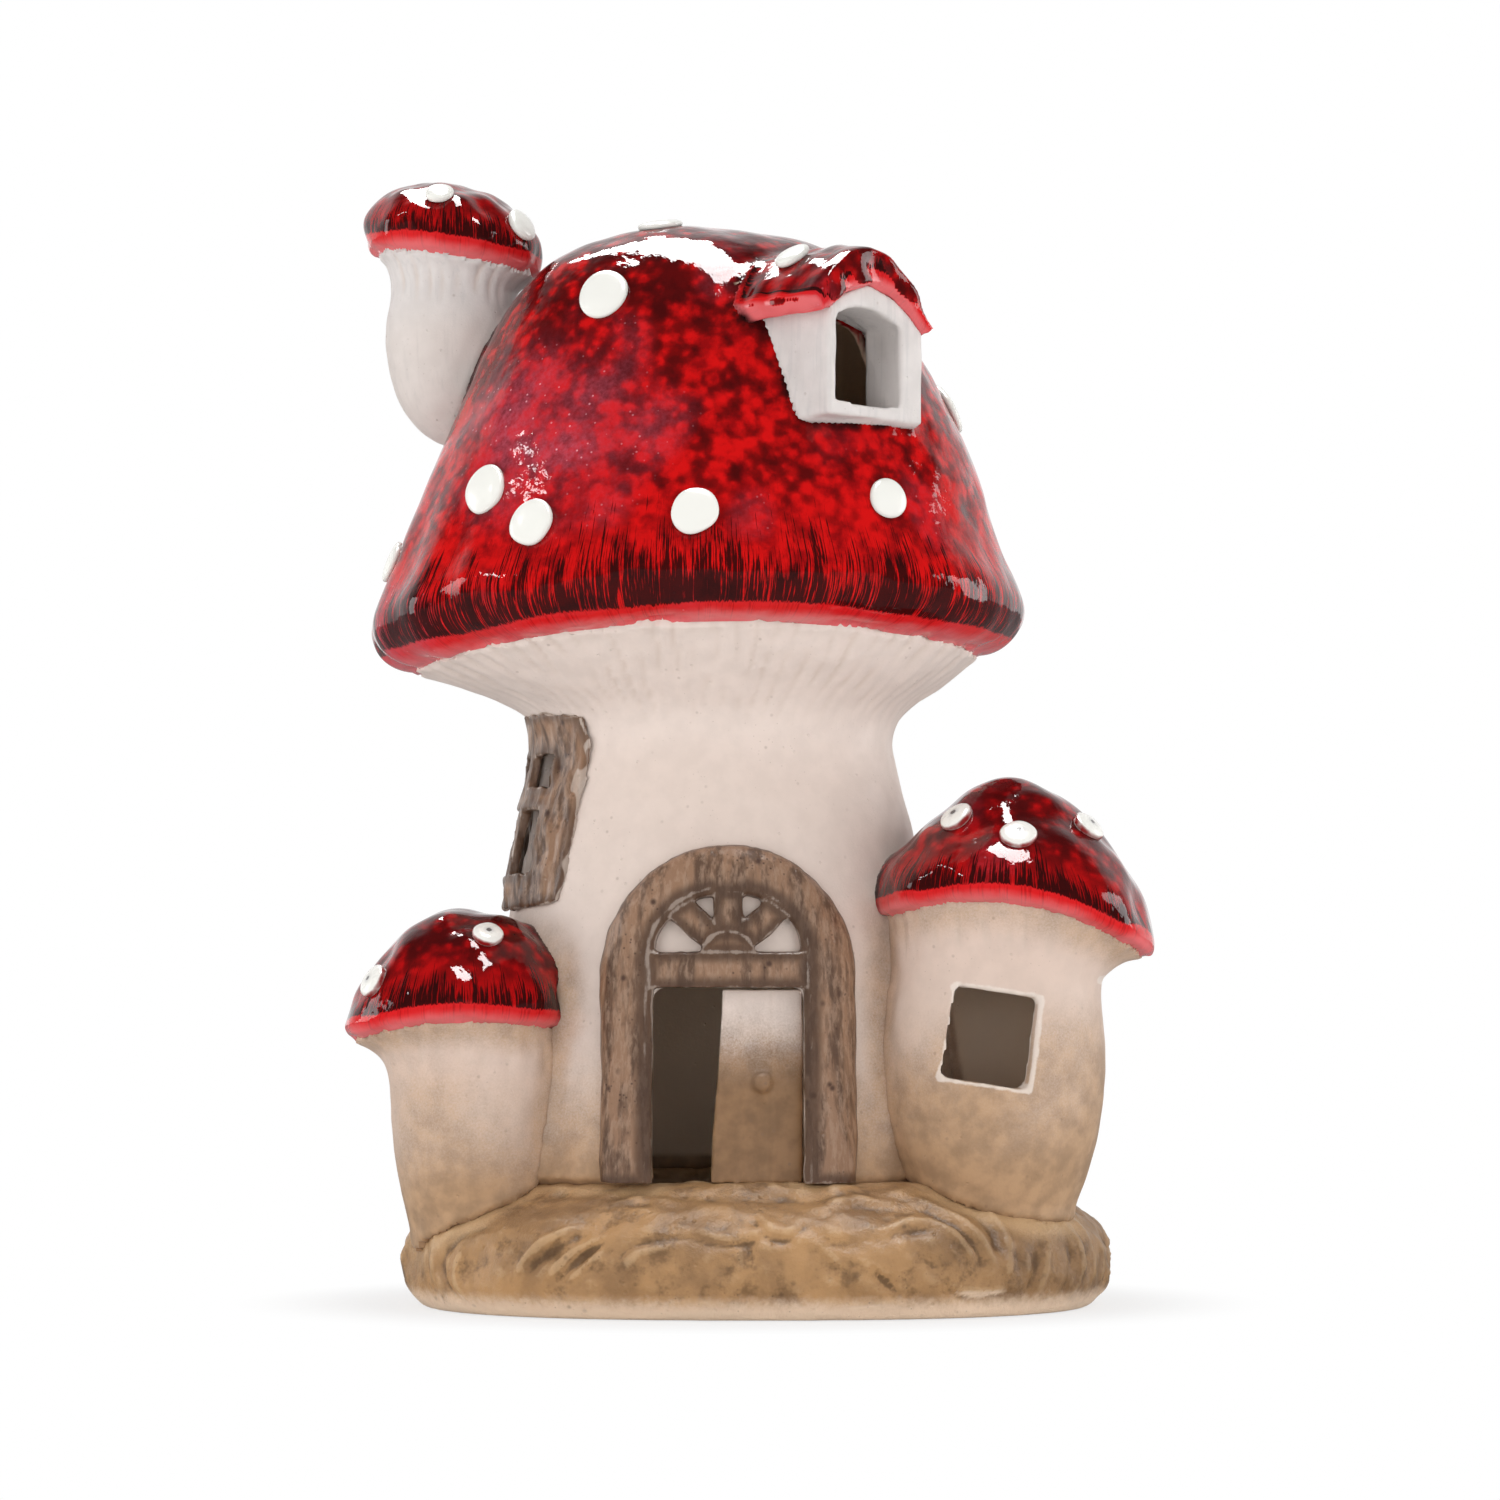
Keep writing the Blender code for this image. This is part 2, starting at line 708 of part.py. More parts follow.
# The cast forms
LEFT_X = LEFT_CAP_RADIUS - OVERALL_WIDTH / 2
RIGHT_X = OVERALL_WIDTH / 2 - RIGHT_CAP_RADIUS
STALK_FOOT_Z = GROUND_HEIGHT + SEAT_GAP
RIM_Z = STALK_FOOT_Z + STALK_HEIGHT
SIDE_WINDOW_SILL_Z = RIM_Z - SIDE_WINDOW_DOWN - SIDE_WINDOW_HEIGHT
CHIMNEY_RIM_Z = RIM_Z + CHIMNEY_RIM_UP
DORMER_SILL_Z = RIM_Z + DORMER_SILL_UP
LEFT_RIM_Z = SIDE_WINDOW_SILL_Z - LEFT_RIM_DOWN
CAP_X = STALK_X + STALK_SHAPE[-1][2] * STALK_RADIUS
CHIMNEY_X = CAP_X - CAP_RADIUS + CHIMNEY_INSET
DORMER_OUT = CAP_RADIUS - DORMER_INSET

ground_form = Form(
    GROUND_SHAPE,
    GROUND_HALF_WIDTH,
    GROUND_HEIGHT,
    (GROUND_X, 0.0, 0.0),
    depth=GROUND_HALF_DEPTH / GROUND_HALF_WIDTH,
    squareness=GROUND_SQUARENESS,
)
cap_form = Form(
    CAP_SHAPE,
    CAP_RADIUS,
    CAP_HEIGHT,
    (CAP_X, STALK_Y, RIM_Z + SEAT_GAP),
    depth=OVAL,
    tilt=RIM_TILT,
    droop=RIM_DROOP,
)
stalk_form = Form(
    STALK_SHAPE, STALK_RADIUS, STALK_HEIGHT, (STALK_X, STALK_Y, STALK_FOOT_Z), depth=OVAL
).under(cap_form, RIM_START)
left_cap_form = Form(
    LEFT_CAP_SHAPE,
    LEFT_CAP_RADIUS,
    LEFT_CAP_HEIGHT,
    (LEFT_X, LEFT_Y, LEFT_RIM_Z),
    tilt=LEFT_CAP_TILT,
    droop=LEFT_CAP_DROOP,
)
left_stem_form = Form(
    LEFT_STEM_SHAPE,
    LEFT_STEM_RADIUS,
    LEFT_RIM_Z - SEAT_GAP - STEM_FOOT_Z,
    (LEFT_X + LEFT_STEM_IN, LEFT_Y, STEM_FOOT_Z),
).under(left_cap_form, STEM_RIM_START)
right_cap_form = Form(
    RIGHT_CAP_SHAPE,
    RIGHT_CAP_RADIUS,
    RIGHT_CAP_HEIGHT,
    (RIGHT_X, RIGHT_Y, RIGHT_RIM_Z),
    tilt=RIGHT_CAP_TILT,
    droop=RIGHT_CAP_DROOP,
)
right_stem_form = Form(
    RIGHT_STEM_SHAPE,
    RIGHT_STEM_RADIUS,
    RIGHT_RIM_Z - SEAT_GAP - STEM_FOOT_Z,
    (RIGHT_X - RIGHT_STEM_IN, RIGHT_Y, STEM_FOOT_Z),
).under(right_cap_form, STEM_RIM_START)
chimney_cap_form = Form(
    CHIMNEY_CAP_SHAPE,
    CHIMNEY_CAP_RADIUS,
    CHIMNEY_CAP_HEIGHT,
    (CHIMNEY_X, CHIMNEY_Y, CHIMNEY_RIM_Z),
    tilt=CHIMNEY_TILT,
)
chimney_stem_form = Form(
    CHIMNEY_STEM_SHAPE,
    CHIMNEY_STEM_RADIUS,
    CHIMNEY_STEM_HEIGHT,
    (CHIMNEY_X, CHIMNEY_Y, CHIMNEY_RIM_Z - SEAT_GAP - CHIMNEY_STEM_HEIGHT),
).under(chimney_cap_form, STEM_RIM_START)


def straw_wave(turn, height, radius):
    """Swept straw ridges round the mound's side, gone at its foot and at the stalk's seat."""
    share = height / GROUND_HEIGHT
    fade = math.sin(math.pi * min(1.0, max(0.0, (share - 0.05) / 0.93)))
    swell = math.sin(STRAW_RIDGES * turn + STRAW_SWIRL * share + 1.4 * math.sin(2.0 * turn))
    on_shoulder = max(0.0, share - 0.6)
    return STRAW_RELIEF * fade * swell, STRAW_RELIEF * on_shoulder * fade * swell


def gill_wave(turn, height, radius):
    """Gills under the main cap: every other step stands in."""
    start = STALK_FOOT_Z + GILL_START * STALK_HEIGHT
    if height <= start:
        return 0.0, 0.0
    rise = min(1.0, (height - start) / (0.05 * STALK_HEIGHT))
    return -GILL_DEPTH * rise * (0.5 - 0.5 * math.cos(GILLS * turn)), 0.0


def collar_wave(form, gills):
    """Gills under a small cap's rim."""

    def wave(turn, height, radius):
        share = (height - form.rows[0][0]) / (form.top - form.rows[0][0])
        rise = min(1.0, max(0.0, (share - 0.84) / 0.08))
        return -STEM_GILL_DEPTH * rise * (0.5 - 0.5 * math.cos(gills * turn)), 0.0

    return wave


def make_ground():
    """The straw mound: hollow, with a foot rim, and a floor that holds the light unit."""
    ground = ground_form.solid(GROUND_STEPS, "ground_mound", wave=straw_wave)
    seat_radius = STALK_SHAPE[0][1] * STALK_RADIUS
    recess = Form(
        ((0.0, 1.0, 0.0), (1.0, 1.0, 0.0)),
        GROUND_HALF_WIDTH - FOOT_RIM,
        FOOT_RECESS,
        (GROUND_X, 0.0, 0.0),
        depth=(GROUND_HALF_DEPTH - FOOT_RIM) / (GROUND_HALF_WIDTH - FOOT_RIM),
        squareness=GROUND_SQUARENESS,
    ).solid(CAVITY_STEPS, "recess", past_foot=CUT_OVER)
    floor_top = FOOT_RECESS + GROUND_FLOOR
    side_wall = CAST_WALL + STRAW_RELIEF
    hollow = Form(
        ((0.0, 1.0, 0.0), (0.45, 0.97, 0.0), (1.0, 0.80, 0.0)),
        GROUND_HALF_WIDTH - side_wall,
        GROUND_HEIGHT - CAST_WALL - floor_top,
        (GROUND_X, 0.0, floor_top),
        depth=(GROUND_HALF_DEPTH - side_wall) / (GROUND_HALF_WIDTH - side_wall),
        squareness=GROUND_SQUARENESS,
    ).solid(CAVITY_STEPS, "hollow")
    room_hole = Form(
        ((0.0, 1.0, 0.0), (1.0, 1.0, 0.0)),
        seat_radius - SHELF_INSET,
        CAST_WALL + CUT_OVER,
        (STALK_X, STALK_Y, GROUND_HEIGHT - CAST_WALL - HOLE_RUN),
        depth=OVAL,
    ).solid(CAVITY_STEPS, "room_hole")
    socket = turned(
        [
            (0.0, 0.0),
            (UNIT_SOCKET_RADIUS, 0.0),
            (UNIT_SOCKET_RADIUS, floor_top + CUT_OVER),
            (0.0, floor_top + CUT_OVER),
        ],
        ROUND_STEPS,
        "socket",
        (UNIT_X, UNIT_Y),
    )
    cut(ground, recess, hollow, room_hole, socket)
    finish(ground, "tan_ceramic")


def side_window_panes():
    """(low y, high y, low z, high z) of the side window's four panes, before the frame tapers."""
    middle = STALK_Y + SIDE_WINDOW_TURN
    out, rib = SIDE_WINDOW_WIDTH / 2 - SIDE_JAMB, SIDE_MULLION / 2
    low = SIDE_WINDOW_SILL_Z + SIDE_BOTTOM_RAIL
    cross = low + LOWER_PANE_HEIGHT
    high = cross + CROSS_RAIL
    rows = ((low, cross), (high, high + UPPER_PANE_HEIGHT))
    return [
        (middle + side[0], middle + side[1], *row) for row in rows for side in ((-out, -rib), (rib, out))
    ]


def narrowed(across, up):
    """The side frame's taper: a distance from its middle line, less towards the top."""
    return across * (1.0 - SIDE_FRAME_TAPER * up / SIDE_WINDOW_HEIGHT)


def make_stalk():
    """The stalk with its gilled funnel, its doorway, its side window and the way to the right room."""
    stalk = stalk_form.solid(FINE_STEPS, "stalk", wave=gill_wave)
    room = stalk_form.solid(CAVITY_STEPS, "room", -CAST_WALL, CUT_OVER, CUT_OVER)
    doorway = block(
        (DOOR_X - DOOR_WIDTH / 2, STALK_Y - STALK_RADIUS, STALK_FOOT_Z - CUT_OVER),
        (DOOR_X + DOOR_WIDTH / 2, STALK_Y, STALK_FOOT_Z + DOOR_HEIGHT),
        "doorway",
    )
    panes = side_window_panes()
    window = block(
        (STALK_X - STALK_RADIUS, panes[0][0] - 1.0, panes[0][2] - 1.0),
        (STALK_X, panes[-1][1] + 1.0, panes[-1][3] + 1.0),
        "window",
    )
    toward = Vector((RIGHT_X - RIGHT_STEM_IN - STALK_X, RIGHT_Y - STALK_Y, 0.0))
    bm = bmesh.new()
    turn = Vector((0, 0, 1)).rotation_difference(toward).to_matrix().to_4x4()
    place = Matrix.Translation((STALK_X, STALK_Y, ROOM_WINDOW_Z)) @ turn
    place = place @ Matrix.Translation((0, 0, toward.length / 2))
    bmesh.ops.create_cone(
        bm,
        cap_ends=True,
        segments=12,
        radius1=LIGHT_PASSAGE / 2,
        radius2=LIGHT_PASSAGE / 2,
        depth=toward.length,
        matrix=place,
    )
    passage = as_object(bm, "passage")
    cut(stalk, room, doorway, window, passage)
    finish(stalk, "cream_ceramic")


def dormer_frame():
    """Matrix of the dormer: X across its face, -Y out of the face, origin under the face's middle."""
    turn = math.radians(DORMER_TURN)
    out = Vector((math.sin(turn), -math.cos(turn), 0.0))
    middle = Vector((CAP_X, STALK_Y, DORMER_SILL_Z)) + out * DORMER_OUT
    return Matrix.Translation(middle) @ Matrix.Rotation(turn, 4, "Z")


def in_dormer(made):
    """Places a piece that was built in the dormer's own frame."""
    frame = dormer_frame()
    return bend(made, lambda x, y, z: frame @ Vector((x, y, z)))


def dormer_window_outline(grow=0.0, shift=0.0):
    """The window's outline in the dormer's frame, grown all round, then shifted across and up."""
    half = DORMER_WINDOW_WIDTH / 2 + grow
    sill, head = DORMER_WINDOW_UP - grow, DORMER_WINDOW_UP + DORMER_WINDOW_HEIGHT + grow * 0.6
    crown = head + DORMER_WINDOW_RISE
    outline = (
        (-half, sill),
        (half, sill),
        (half, head - DORMER_WINDOW_SKEW),
        (half * 0.3, crown),
        (-half * 0.5, crown),
        (-half, head),
    )
    return [(x + DORMER_WINDOW_SHIFT + shift, z + max(0.0, shift) * 0.4) for x, z in outline]


def make_cap():
    """The main cap: a glazed dome, open underneath, with the dormer's light hole."""
    cap = cap_form.solid(CAP_STEPS, "main_cap")
    inside = cap_form.solid(CAVITY_STEPS, "inside", -CAST_WALL, CUT_OVER, coarse=True)
    outline = dormer_window_outline(DORMER_LINER + SEAT_GAP)
    light_hole = in_dormer(prism(outline, -CUT_OVER, DORMER_REACH, "light_hole"))
    cut(cap, inside, light_hole)
    finish(cap, "red_glaze")


def make_room(cap_shape, stem_shape, side, gills):
    """A small toadstool: a hollow stem with a gilled collar, and a cap shell seated on it."""
    stem = stem_shape.solid(gills * 2, f"{side}_stem", wave=collar_wave(stem_shape, gills))
    cut(stem, stem_shape.solid(SMALL_STEPS // 2, "hollow", -SMALL_WALL, CUT_OVER, CUT_OVER, coarse=True))
    cap = cap_shape.solid(SMALL_STEPS, f"{side}_cap")
    cut(cap, cap_shape.solid(SMALL_STEPS // 2, "inside", -SMALL_WALL, CUT_OVER, coarse=True))
    return cap, stem


def room_window():
    """The cutter of the right room's leaning window."""
    half_width, half_height = ROOM_WINDOW_WIDTH / 2, ROOM_WINDOW_HEIGHT / 2
    reach = RIGHT_STEM_RADIUS + CUT_OVER
    window = block((-half_width, -reach, -half_height), (half_width, 0.0, half_height), "window")
    place = Matrix.Translation((RIGHT_X - RIGHT_STEM_IN + ROOM_WINDOW_SHIFT, RIGHT_Y, ROOM_WINDOW_Z))
    place = place @ Matrix.Rotation(math.radians(ROOM_WINDOW_TURN), 4, "Z")
    place = place @ Matrix.Rotation(math.radians(ROOM_WINDOW_LEAN), 4, "Y")
    return bend(window, lambda x, y, z: place @ Vector((x, y, z)))


def trunk(past_foot=0.0):
    """The cutter of the stalk's outside, coarser than the stalk, so a little farther out."""
    return stalk_form.solid(FINE_STEPS // 2, "trunk", SEAT_GAP + COARSE_SAG, past_foot=past_foot)


def make_rooms():
    """The toadstool rooms on either side of the stalk; the right one has a window."""
    left_cap, left_stem = make_room(left_cap_form, left_stem_form, "left", LEFT_GILLS)
    right_cap, right_stem = make_room(right_cap_form, right_stem_form, "right", RIGHT_GILLS)
    for stem in (left_stem, right_stem):
        mound = ground_form.solid(GROUND_STEPS, "mound", SEAT_GAP, past_foot=CUT_OVER, wave=straw_wave)
        cut(stem, mound, trunk(SEAT_GAP))
        finish(stem, "cream_ceramic")
    cut(right_stem, room_window())
    for cap in (left_cap, right_cap):
        cut(cap, trunk())
        finish(cap, "red_glaze")


def make_chimney():
    """The toadstool that grows from the main cap's left side."""
    cap, stem = make_room(chimney_cap_form, chimney_stem_form, "chimney", CHIMNEY_GILLS)
    for piece in (cap, stem):
        cut(piece, cap_form.solid(CAP_STEPS, "dome", SEAT_GAP, past_foot=CUT_OVER))
    finish(cap, "red_glaze")
    finish(stem, "white_ceramic")


def gable_line():
    """The top of the dormer's walls as (across, up), from the left to the right."""
    return [(share * DORMER_WIDTH / 2, up * DORMER_HEIGHT) for share, up in DORMER_GABLE]


def roof_outline():
    """The dormer roof's closed outline: its lower line, then its upper line back."""
    gable = [(x, up + 2 * SEAT_GAP) for x, up in gable_line()]
    (left, left_up), (right, right_up) = gable[0], gable[-1]
    lower = [(left - ROOF_LEFT_EAVE, left_up - ROOF_EAVE_DROP)] + gable
    lower[-1] = (right + ROOF_RIGHT_EAVE, right_up - ROOF_EAVE_DROP * 0.5)
    lower.insert(-1, (right, right_up))
    upper = []
    thick = list(ROOF_THICK) + [ROOF_THICK[-1]]
    for (x, up), rise in zip(lower, thick):
        lean = x / (DORMER_WIDTH / 2) * rise * 0.35
        upper.append((x + lean, up + rise))
    return lower + upper[::-1], upper


def flared(point):
    """A point in the dormer's frame, moved out as the dormer widens towards the cap."""
    return Vector((point.x * (1.0 + DORMER_FLARE * point.y / DORMER_REACH), point.y, point.z))


def widened(made):
    """Flares a piece built in the dormer's frame, and puts it in place."""
    for vertex in made.data.vertices:
        vertex.co = flared(vertex.co / MM) * MM
    return in_dormer(made)


def make_dormer():
    """The dormer: white gabled walls round an open window, under a thick glazed roof."""
    half = DORMER_WIDTH / 2
    outline = [(-half, 0.0), (half, 0.0)] + gable_line()[::-1]
    walls = widened(prism(outline, 0.0, DORMER_REACH, "dormer_walls"))
    cut(walls, cap_form.solid(CAP_STEPS, "dome", SEAT_GAP, past_foot=CUT_OVER))
    join(walls, in_dormer(prism(dormer_window_outline(DORMER_LINER), 1.0, DORMER_REVEAL, "liner")))
    window = prism(dormer_window_outline(), -CUT_OVER, DORMER_REVEAL + CUT_OVER, "opening")
    pocket = prism(dormer_window_outline(0.0, DORMER_LINER + 0.6), DORMER_REVEAL, DORMER_REACH, "pocket")
    cut(walls, in_dormer(window), in_dormer(pocket))
    outline, upper = roof_outline()
    roof = prism(outline, -ROOF_OVERHANG, DORMER_REACH + CUT_OVER, "dormer_roof")
    sliced(roof, (0, ROOF_ROUNDING - ROOF_OVERHANG, 0), (0, 1, 0))
    crown = {(round(x, 2), round(up, 2)) for x, up in upper}
    for vertex in roof.data.vertices:
        x, y, z = vertex.co / MM
        if y < 0.01 - ROOF_OVERHANG and (round(x, 2), round(z, 2)) in crown:
            vertex.co.z -= ROOF_ROUNDING * 0.8 * MM
    widened(roof)
    cut(roof, cap_form.solid(CAP_STEPS, "dome", SEAT_GAP, past_foot=CUT_OVER))
    finish(walls, "white_ceramic")
    finish(roof, "red_glaze")


def on_front_wall(x, t, z):
    """Wraps a flat piece on the stalk's front: t is how far it stands off the wall."""
    return (x, stalk_form.front(x, z) - t, z)


def arch_band():
    """The door surround's rounded band: two jambs and the arch, as a closed sweep."""
    outer_half, inner_half = SURROUND_WIDTH / 2, DOOR_WIDTH / 2
    foot = STALK_FOOT_Z
    inner_rise = DOOR_HEIGHT + TRANSOM_HEIGHT
    arch_rise = SURROUND_HEIGHT - SURROUND_SPRING
    jamb = []
    for step in range(JAMB_STEPS):
        share = step / JAMB_STEPS
        jamb.append((outer_half, foot + SURROUND_SPRING * share, inner_half, foot + inner_rise * share))
    stations = [(-outer_x, outer_z, -inner_x, inner_z) for outer_x, outer_z, inner_x, inner_z in jamb]
    for step in range(ARCH_STEPS + 1):
        a = math.pi * (1.0 - step / ARCH_STEPS)
        stations.append(
            (
                outer_half * math.cos(a),
                foot + SURROUND_SPRING + arch_rise * math.sin(a),
                FANLIGHT_HALF_WIDTH * math.cos(a),
                foot + inner_rise + FANLIGHT_RISE * math.sin(a),
            )
        )
    stations += jamb[::-1]
    section = SURROUND_SECTION
    bm = bmesh.new()
    loops = []
    for outer_x, outer_z, inner_x, inner_z in stations:
        loop = []
        for across, thick in section:
            x = outer_x + (inner_x - outer_x) * across
            z = outer_z + (inner_z - outer_z) * across
            loop.append(bm.verts.new((DOOR_X + x, SEAT_GAP + thick * SURROUND_THICK, z)))
        loops.append(loop)
    for first, second in zip(loops, loops[1:]):
        count = len(section)
        for index in range(count):
            after = (index + 1) % count
            bm.faces.new((first[index], first[after], second[after], second[index]))
    bm.faces.new(loops[0])
    bm.faces.new(loops[-1][::-1])
    return as_object(bm, "door_surround")


def make_surround():
    """The brown door surround: arched band, transom, and a fanlight of a hub and three rays."""
    band = arch_band()
    top = STALK_FOOT_Z + DOOR_HEIGHT + TRANSOM_HEIGHT
    inner = DOOR_WIDTH / 2
    transom = block(
        (DOOR_X - inner - TRANSOM_LAP, SEAT_GAP, top - TRANSOM_HEIGHT),
        (DOOR_X + inner + TRANSOM_LAP, SEAT_GAP + TRANSOM_THICK, top + TRANSOM_TUCK),
        "transom",
        segments=9,
    )
    pieces = [transom]
    for angle in SPOKE_ANGLES:
        a = math.radians(angle)
        along = Vector((math.cos(a), math.sin(a)))
        across = Vector((-along.y, along.x))
        reach = math.hypot(FANLIGHT_HALF_WIDTH * along.x, FANLIGHT_RISE * along.y) + 1.6
        outline = []
        for distance, width in ((1.0, SPOKE_ROOT), (reach * 0.6, SPOKE_TIP), (reach, SPOKE_TIP)):
            outline.append(along * distance - across * width / 2)
        for distance, width in ((reach, SPOKE_TIP), (reach * 0.6, SPOKE_TIP), (1.0, SPOKE_ROOT)):
            outline.append(along * distance + across * width / 2)
        pieces.append(
            prism(
                [(DOOR_X + p.x, top + p.y) for p in outline],
                SEAT_GAP,
                SEAT_GAP + RAY_THICK,
                "spoke",
            )
        )
    hub = []
    for step in range(HUB_STEPS + 1):
        a = math.pi * step / HUB_STEPS
        hub.append((DOOR_X + HUB_RADIUS * math.cos(a), top - 1.0 + HUB_RADIUS * math.sin(a)))
    pieces.append(prism(hub, SEAT_GAP, SEAT_GAP + HUB_THICK, "hub"))
    for piece in pieces[1:]:
        for step in range(-4, 5):
            sliced(piece, (DOOR_X + step * WRAP_STEP, 0, 0), (1, 0, 0))
    join(band, *pieces)
    bend(band, on_front_wall)
    finish(band, "brown_ceramic", 50.0)


def make_leaf():
    """The half-closed door leaf: a planked panel with its knob, set in the doorway's right side."""
    right = DOOR_X + DOOR_WIDTH / 2 - SEAT_GAP
    left = right - LEAF_SHARE * DOOR_WIDTH
    low, high = STALK_FOOT_Z, STALK_FOOT_Z + DOOR_HEIGHT - SEAT_GAP
    front, back = -LEAF_SETBACK, -LEAF_SETBACK - LEAF_THICK
    leaf = block((left, back, low), (right, front, high), "door_leaf", segments=2 * PLANK_COUNT)
    plank = (right - left) / (2 * PLANK_COUNT)
    for vertex in leaf.data.vertices:
        x, t, z = vertex.co / MM
        column = round((x - left) / plank)
        if column % 2 == 1 and t > (front + back) / 2:
            t -= PLANK_GROOVE_DEPTH
        lean = LEAF_SLANT * (high - z) / (high - low) * (right - x) / (right - left)
        vertex.co = Vector((x - lean, t, z)) * MM
    knob = turned(
        [
            (0.0, -1.5),
            (KNOB_RADIUS, -1.5),
            (KNOB_RADIUS, KNOB_PROUD * 0.5),
            (KNOB_RADIUS * 0.7, KNOB_PROUD),
            (0.0, KNOB_PROUD * 1.1),
        ],
        SPOT_STEPS,
        "knob",
    )
    knob_x, knob_z = (left + right) / 2, low + (high - low) * KNOB_UP
    bend(knob, lambda x, y, z: (knob_x + x, front + z, knob_z + y))
    join(leaf, knob)
    bend(leaf, on_front_wall)
    finish(leaf, "cream_ceramic", 50.0)


def make_side_frame():
    """The brown frame of the stalk's side window, wrapped on the curved wall."""
    half = SIDE_WINDOW_WIDTH / 2
    sill = SIDE_WINDOW_SILL_Z
    middle_y = STALK_Y + SIDE_WINDOW_TURN
    front = SEAT_GAP + SIDE_FRAME_THICK
    frame = block((-half, SEAT_GAP, 0.0), (half, front, SIDE_WINDOW_HEIGHT), "side_window_frame", 10)
    for step in range(1, 6):
        sliced(frame, (0, 0, SIDE_WINDOW_HEIGHT * step / 6), (0, 0, 1))
    for vertex in frame.data.vertices:
        x, t, z = vertex.co / MM
        corner = max(0.0, abs(x) / half - 0.7) / 0.3
        edge = max(0.0, abs(2 * z / SIDE_WINDOW_HEIGHT - 1) - 0.85) / 0.15
        if t > front - 0.1:
            t -= 0.45 * SIDE_FRAME_THICK * max(corner, edge)
        z += (SIDE_WINDOW_HEIGHT / 2 - z) * 0.06 * corner
        vertex.co = Vector((x, t, z)) * MM
    for low, high, bottom, head in side_window_panes():
        near = (low - middle_y, -CUT_OVER, bottom - sill)
        far = (high - middle_y, front + CUT_OVER, head - sill)
        cut(frame, block(near, far, "pane"))

    def on_left_wall(x, t, z):
        y = middle_y + narrowed(x, z)
        return (stalk_form.left(y, sill + z) - t, y, sill + z)

    bend(frame, on_left_wall)
    finish(frame, "brown_ceramic", 50.0)


def spot(name, place, normal, radius):
    """One raised white spot, flat at the back, seated on the glaze."""
    made = turned(
        [
            (0.0, 0.0),
            (radius, 0.0),
            (radius * 0.86, SPOT_HEIGHT * 0.66),
            (0.0, SPOT_HEIGHT),
        ],
        SPOT_STEPS,
        name,
    )
    turn = Vector((0, 0, 1)).rotation_difference(normal).to_matrix().to_4x4()
    frame = Matrix.Translation(place + normal * SEAT_GAP) @ turn
    bend(made, lambda x, y, z: frame @ Vector((x, y, z)))
    return finish(made, "white_slip")


def make_spots():
    """The raised white spots of every cap."""
    groups = (
        ("cap_spot", cap_form, CAP_SPOTS),
        ("left_cap_spot", left_cap_form, LEFT_CAP_SPOTS),
        ("right_cap_spot", right_cap_form, RIGHT_CAP_SPOTS),
        ("chimney_cap_spot", chimney_cap_form, CHIMNEY_SPOTS),
    )
    for name, form, spots in groups:
        for number, (turn, share, radius) in enumerate(spots, 1):
            height = form.rows[0][0] + share * (form.top - form.rows[0][0])
            place, normal = form.point(turn, height), form.normal(turn, height)
            rise = form.bulge(turn, height, radius)
            spot(f"{name}_{number}", place + normal * rise, normal, radius)
    _, upper = roof_outline()
    (x0, up0), (x1, up1), (x2, up2) = upper[1:4]
    normal = Vector((up0 - up2, 0.0, x2 - x0)).normalized()
    place = flared(Vector((x1, ROOF_SPOT_BACK, up1)))
    frame = dormer_frame()
    spot("dormer_roof_spot", frame @ place, (frame.to_3x3() @ normal).normalized(), ROOF_SPOT_RADIUS)


# The light unit, from the floor of the ground mound
FLANGE_TOP = FOOT_RECESS - SEAT_GAP
FLANGE_LOW = FLANGE_TOP - FLANGE_THICK
COVER_TOP = FLANGE_LOW + COVER_THICK
BAY_LOW = COVER_TOP + SEAT_GAP
CELL_Z = BAY_LOW + CELL_SPACE + CELL_RADIUS
BAY_ROOF_LOW = CELL_Z + CELL_RADIUS + CELL_SPACE
BAY_TOP = BAY_ROOF_LOW + BAY_WALL
CONTACT_SEAT = CONTACT_THICK + 2 * SEAT_GAP  # the room that a contact plate takes at each end
BAY_LENGTH = CELL_LENGTH + CELL_NUB_LENGTH + SPRING_LENGTH + 2 * CONTACT_SEAT
BAY_WIDTH = 4 * CELL_RADIUS + 3 * CELL_SPACE
COVER_LENGTH = BAY_LENGTH + 2 * BAY_LEDGE
COVER_WIDTH = BAY_WIDTH + 2 * BAY_LEDGE
BODY_TOP = FLANGE_TOP + UNIT_BODY_HEIGHT
BOARD_LOW = BAY_TOP + SEAT_GAP
SCREW_Y = UNIT_Y + COVER_WIDTH / 2 + COVER_EAR_REACH - COVER_EAR_WIDTH / 2
SWITCH_AT_Y = UNIT_Y + SWITCH_Y


def unit_block(low, high, name="block", **more):
    """A box in the light unit, its corners counted from the unit's middle."""
    x, y = UNIT_X, UNIT_Y
    return block((low[0] + x, low[1] + y, low[2]), (high[0] + x, high[1] + y, high[2]), name, **more)


def cover_cutout(gap):
    """Cutters of the battery cover's opening, with a gap all round."""
    half_length, half_width = COVER_LENGTH / 2 + gap, COVER_WIDTH / 2 + gap
    low = FLANGE_LOW - CUT_OVER
    main = unit_block((-half_length, -half_width, low), (half_length, half_width, BAY_LOW), "cutout")
    ear = unit_block(
        (-COVER_EAR_WIDTH / 2 - gap, 0.0, low),
        (COVER_EAR_WIDTH / 2 + gap, COVER_WIDTH / 2 + COVER_EAR_REACH + gap, BAY_LOW),
        "ear",
    )
    return main, ear


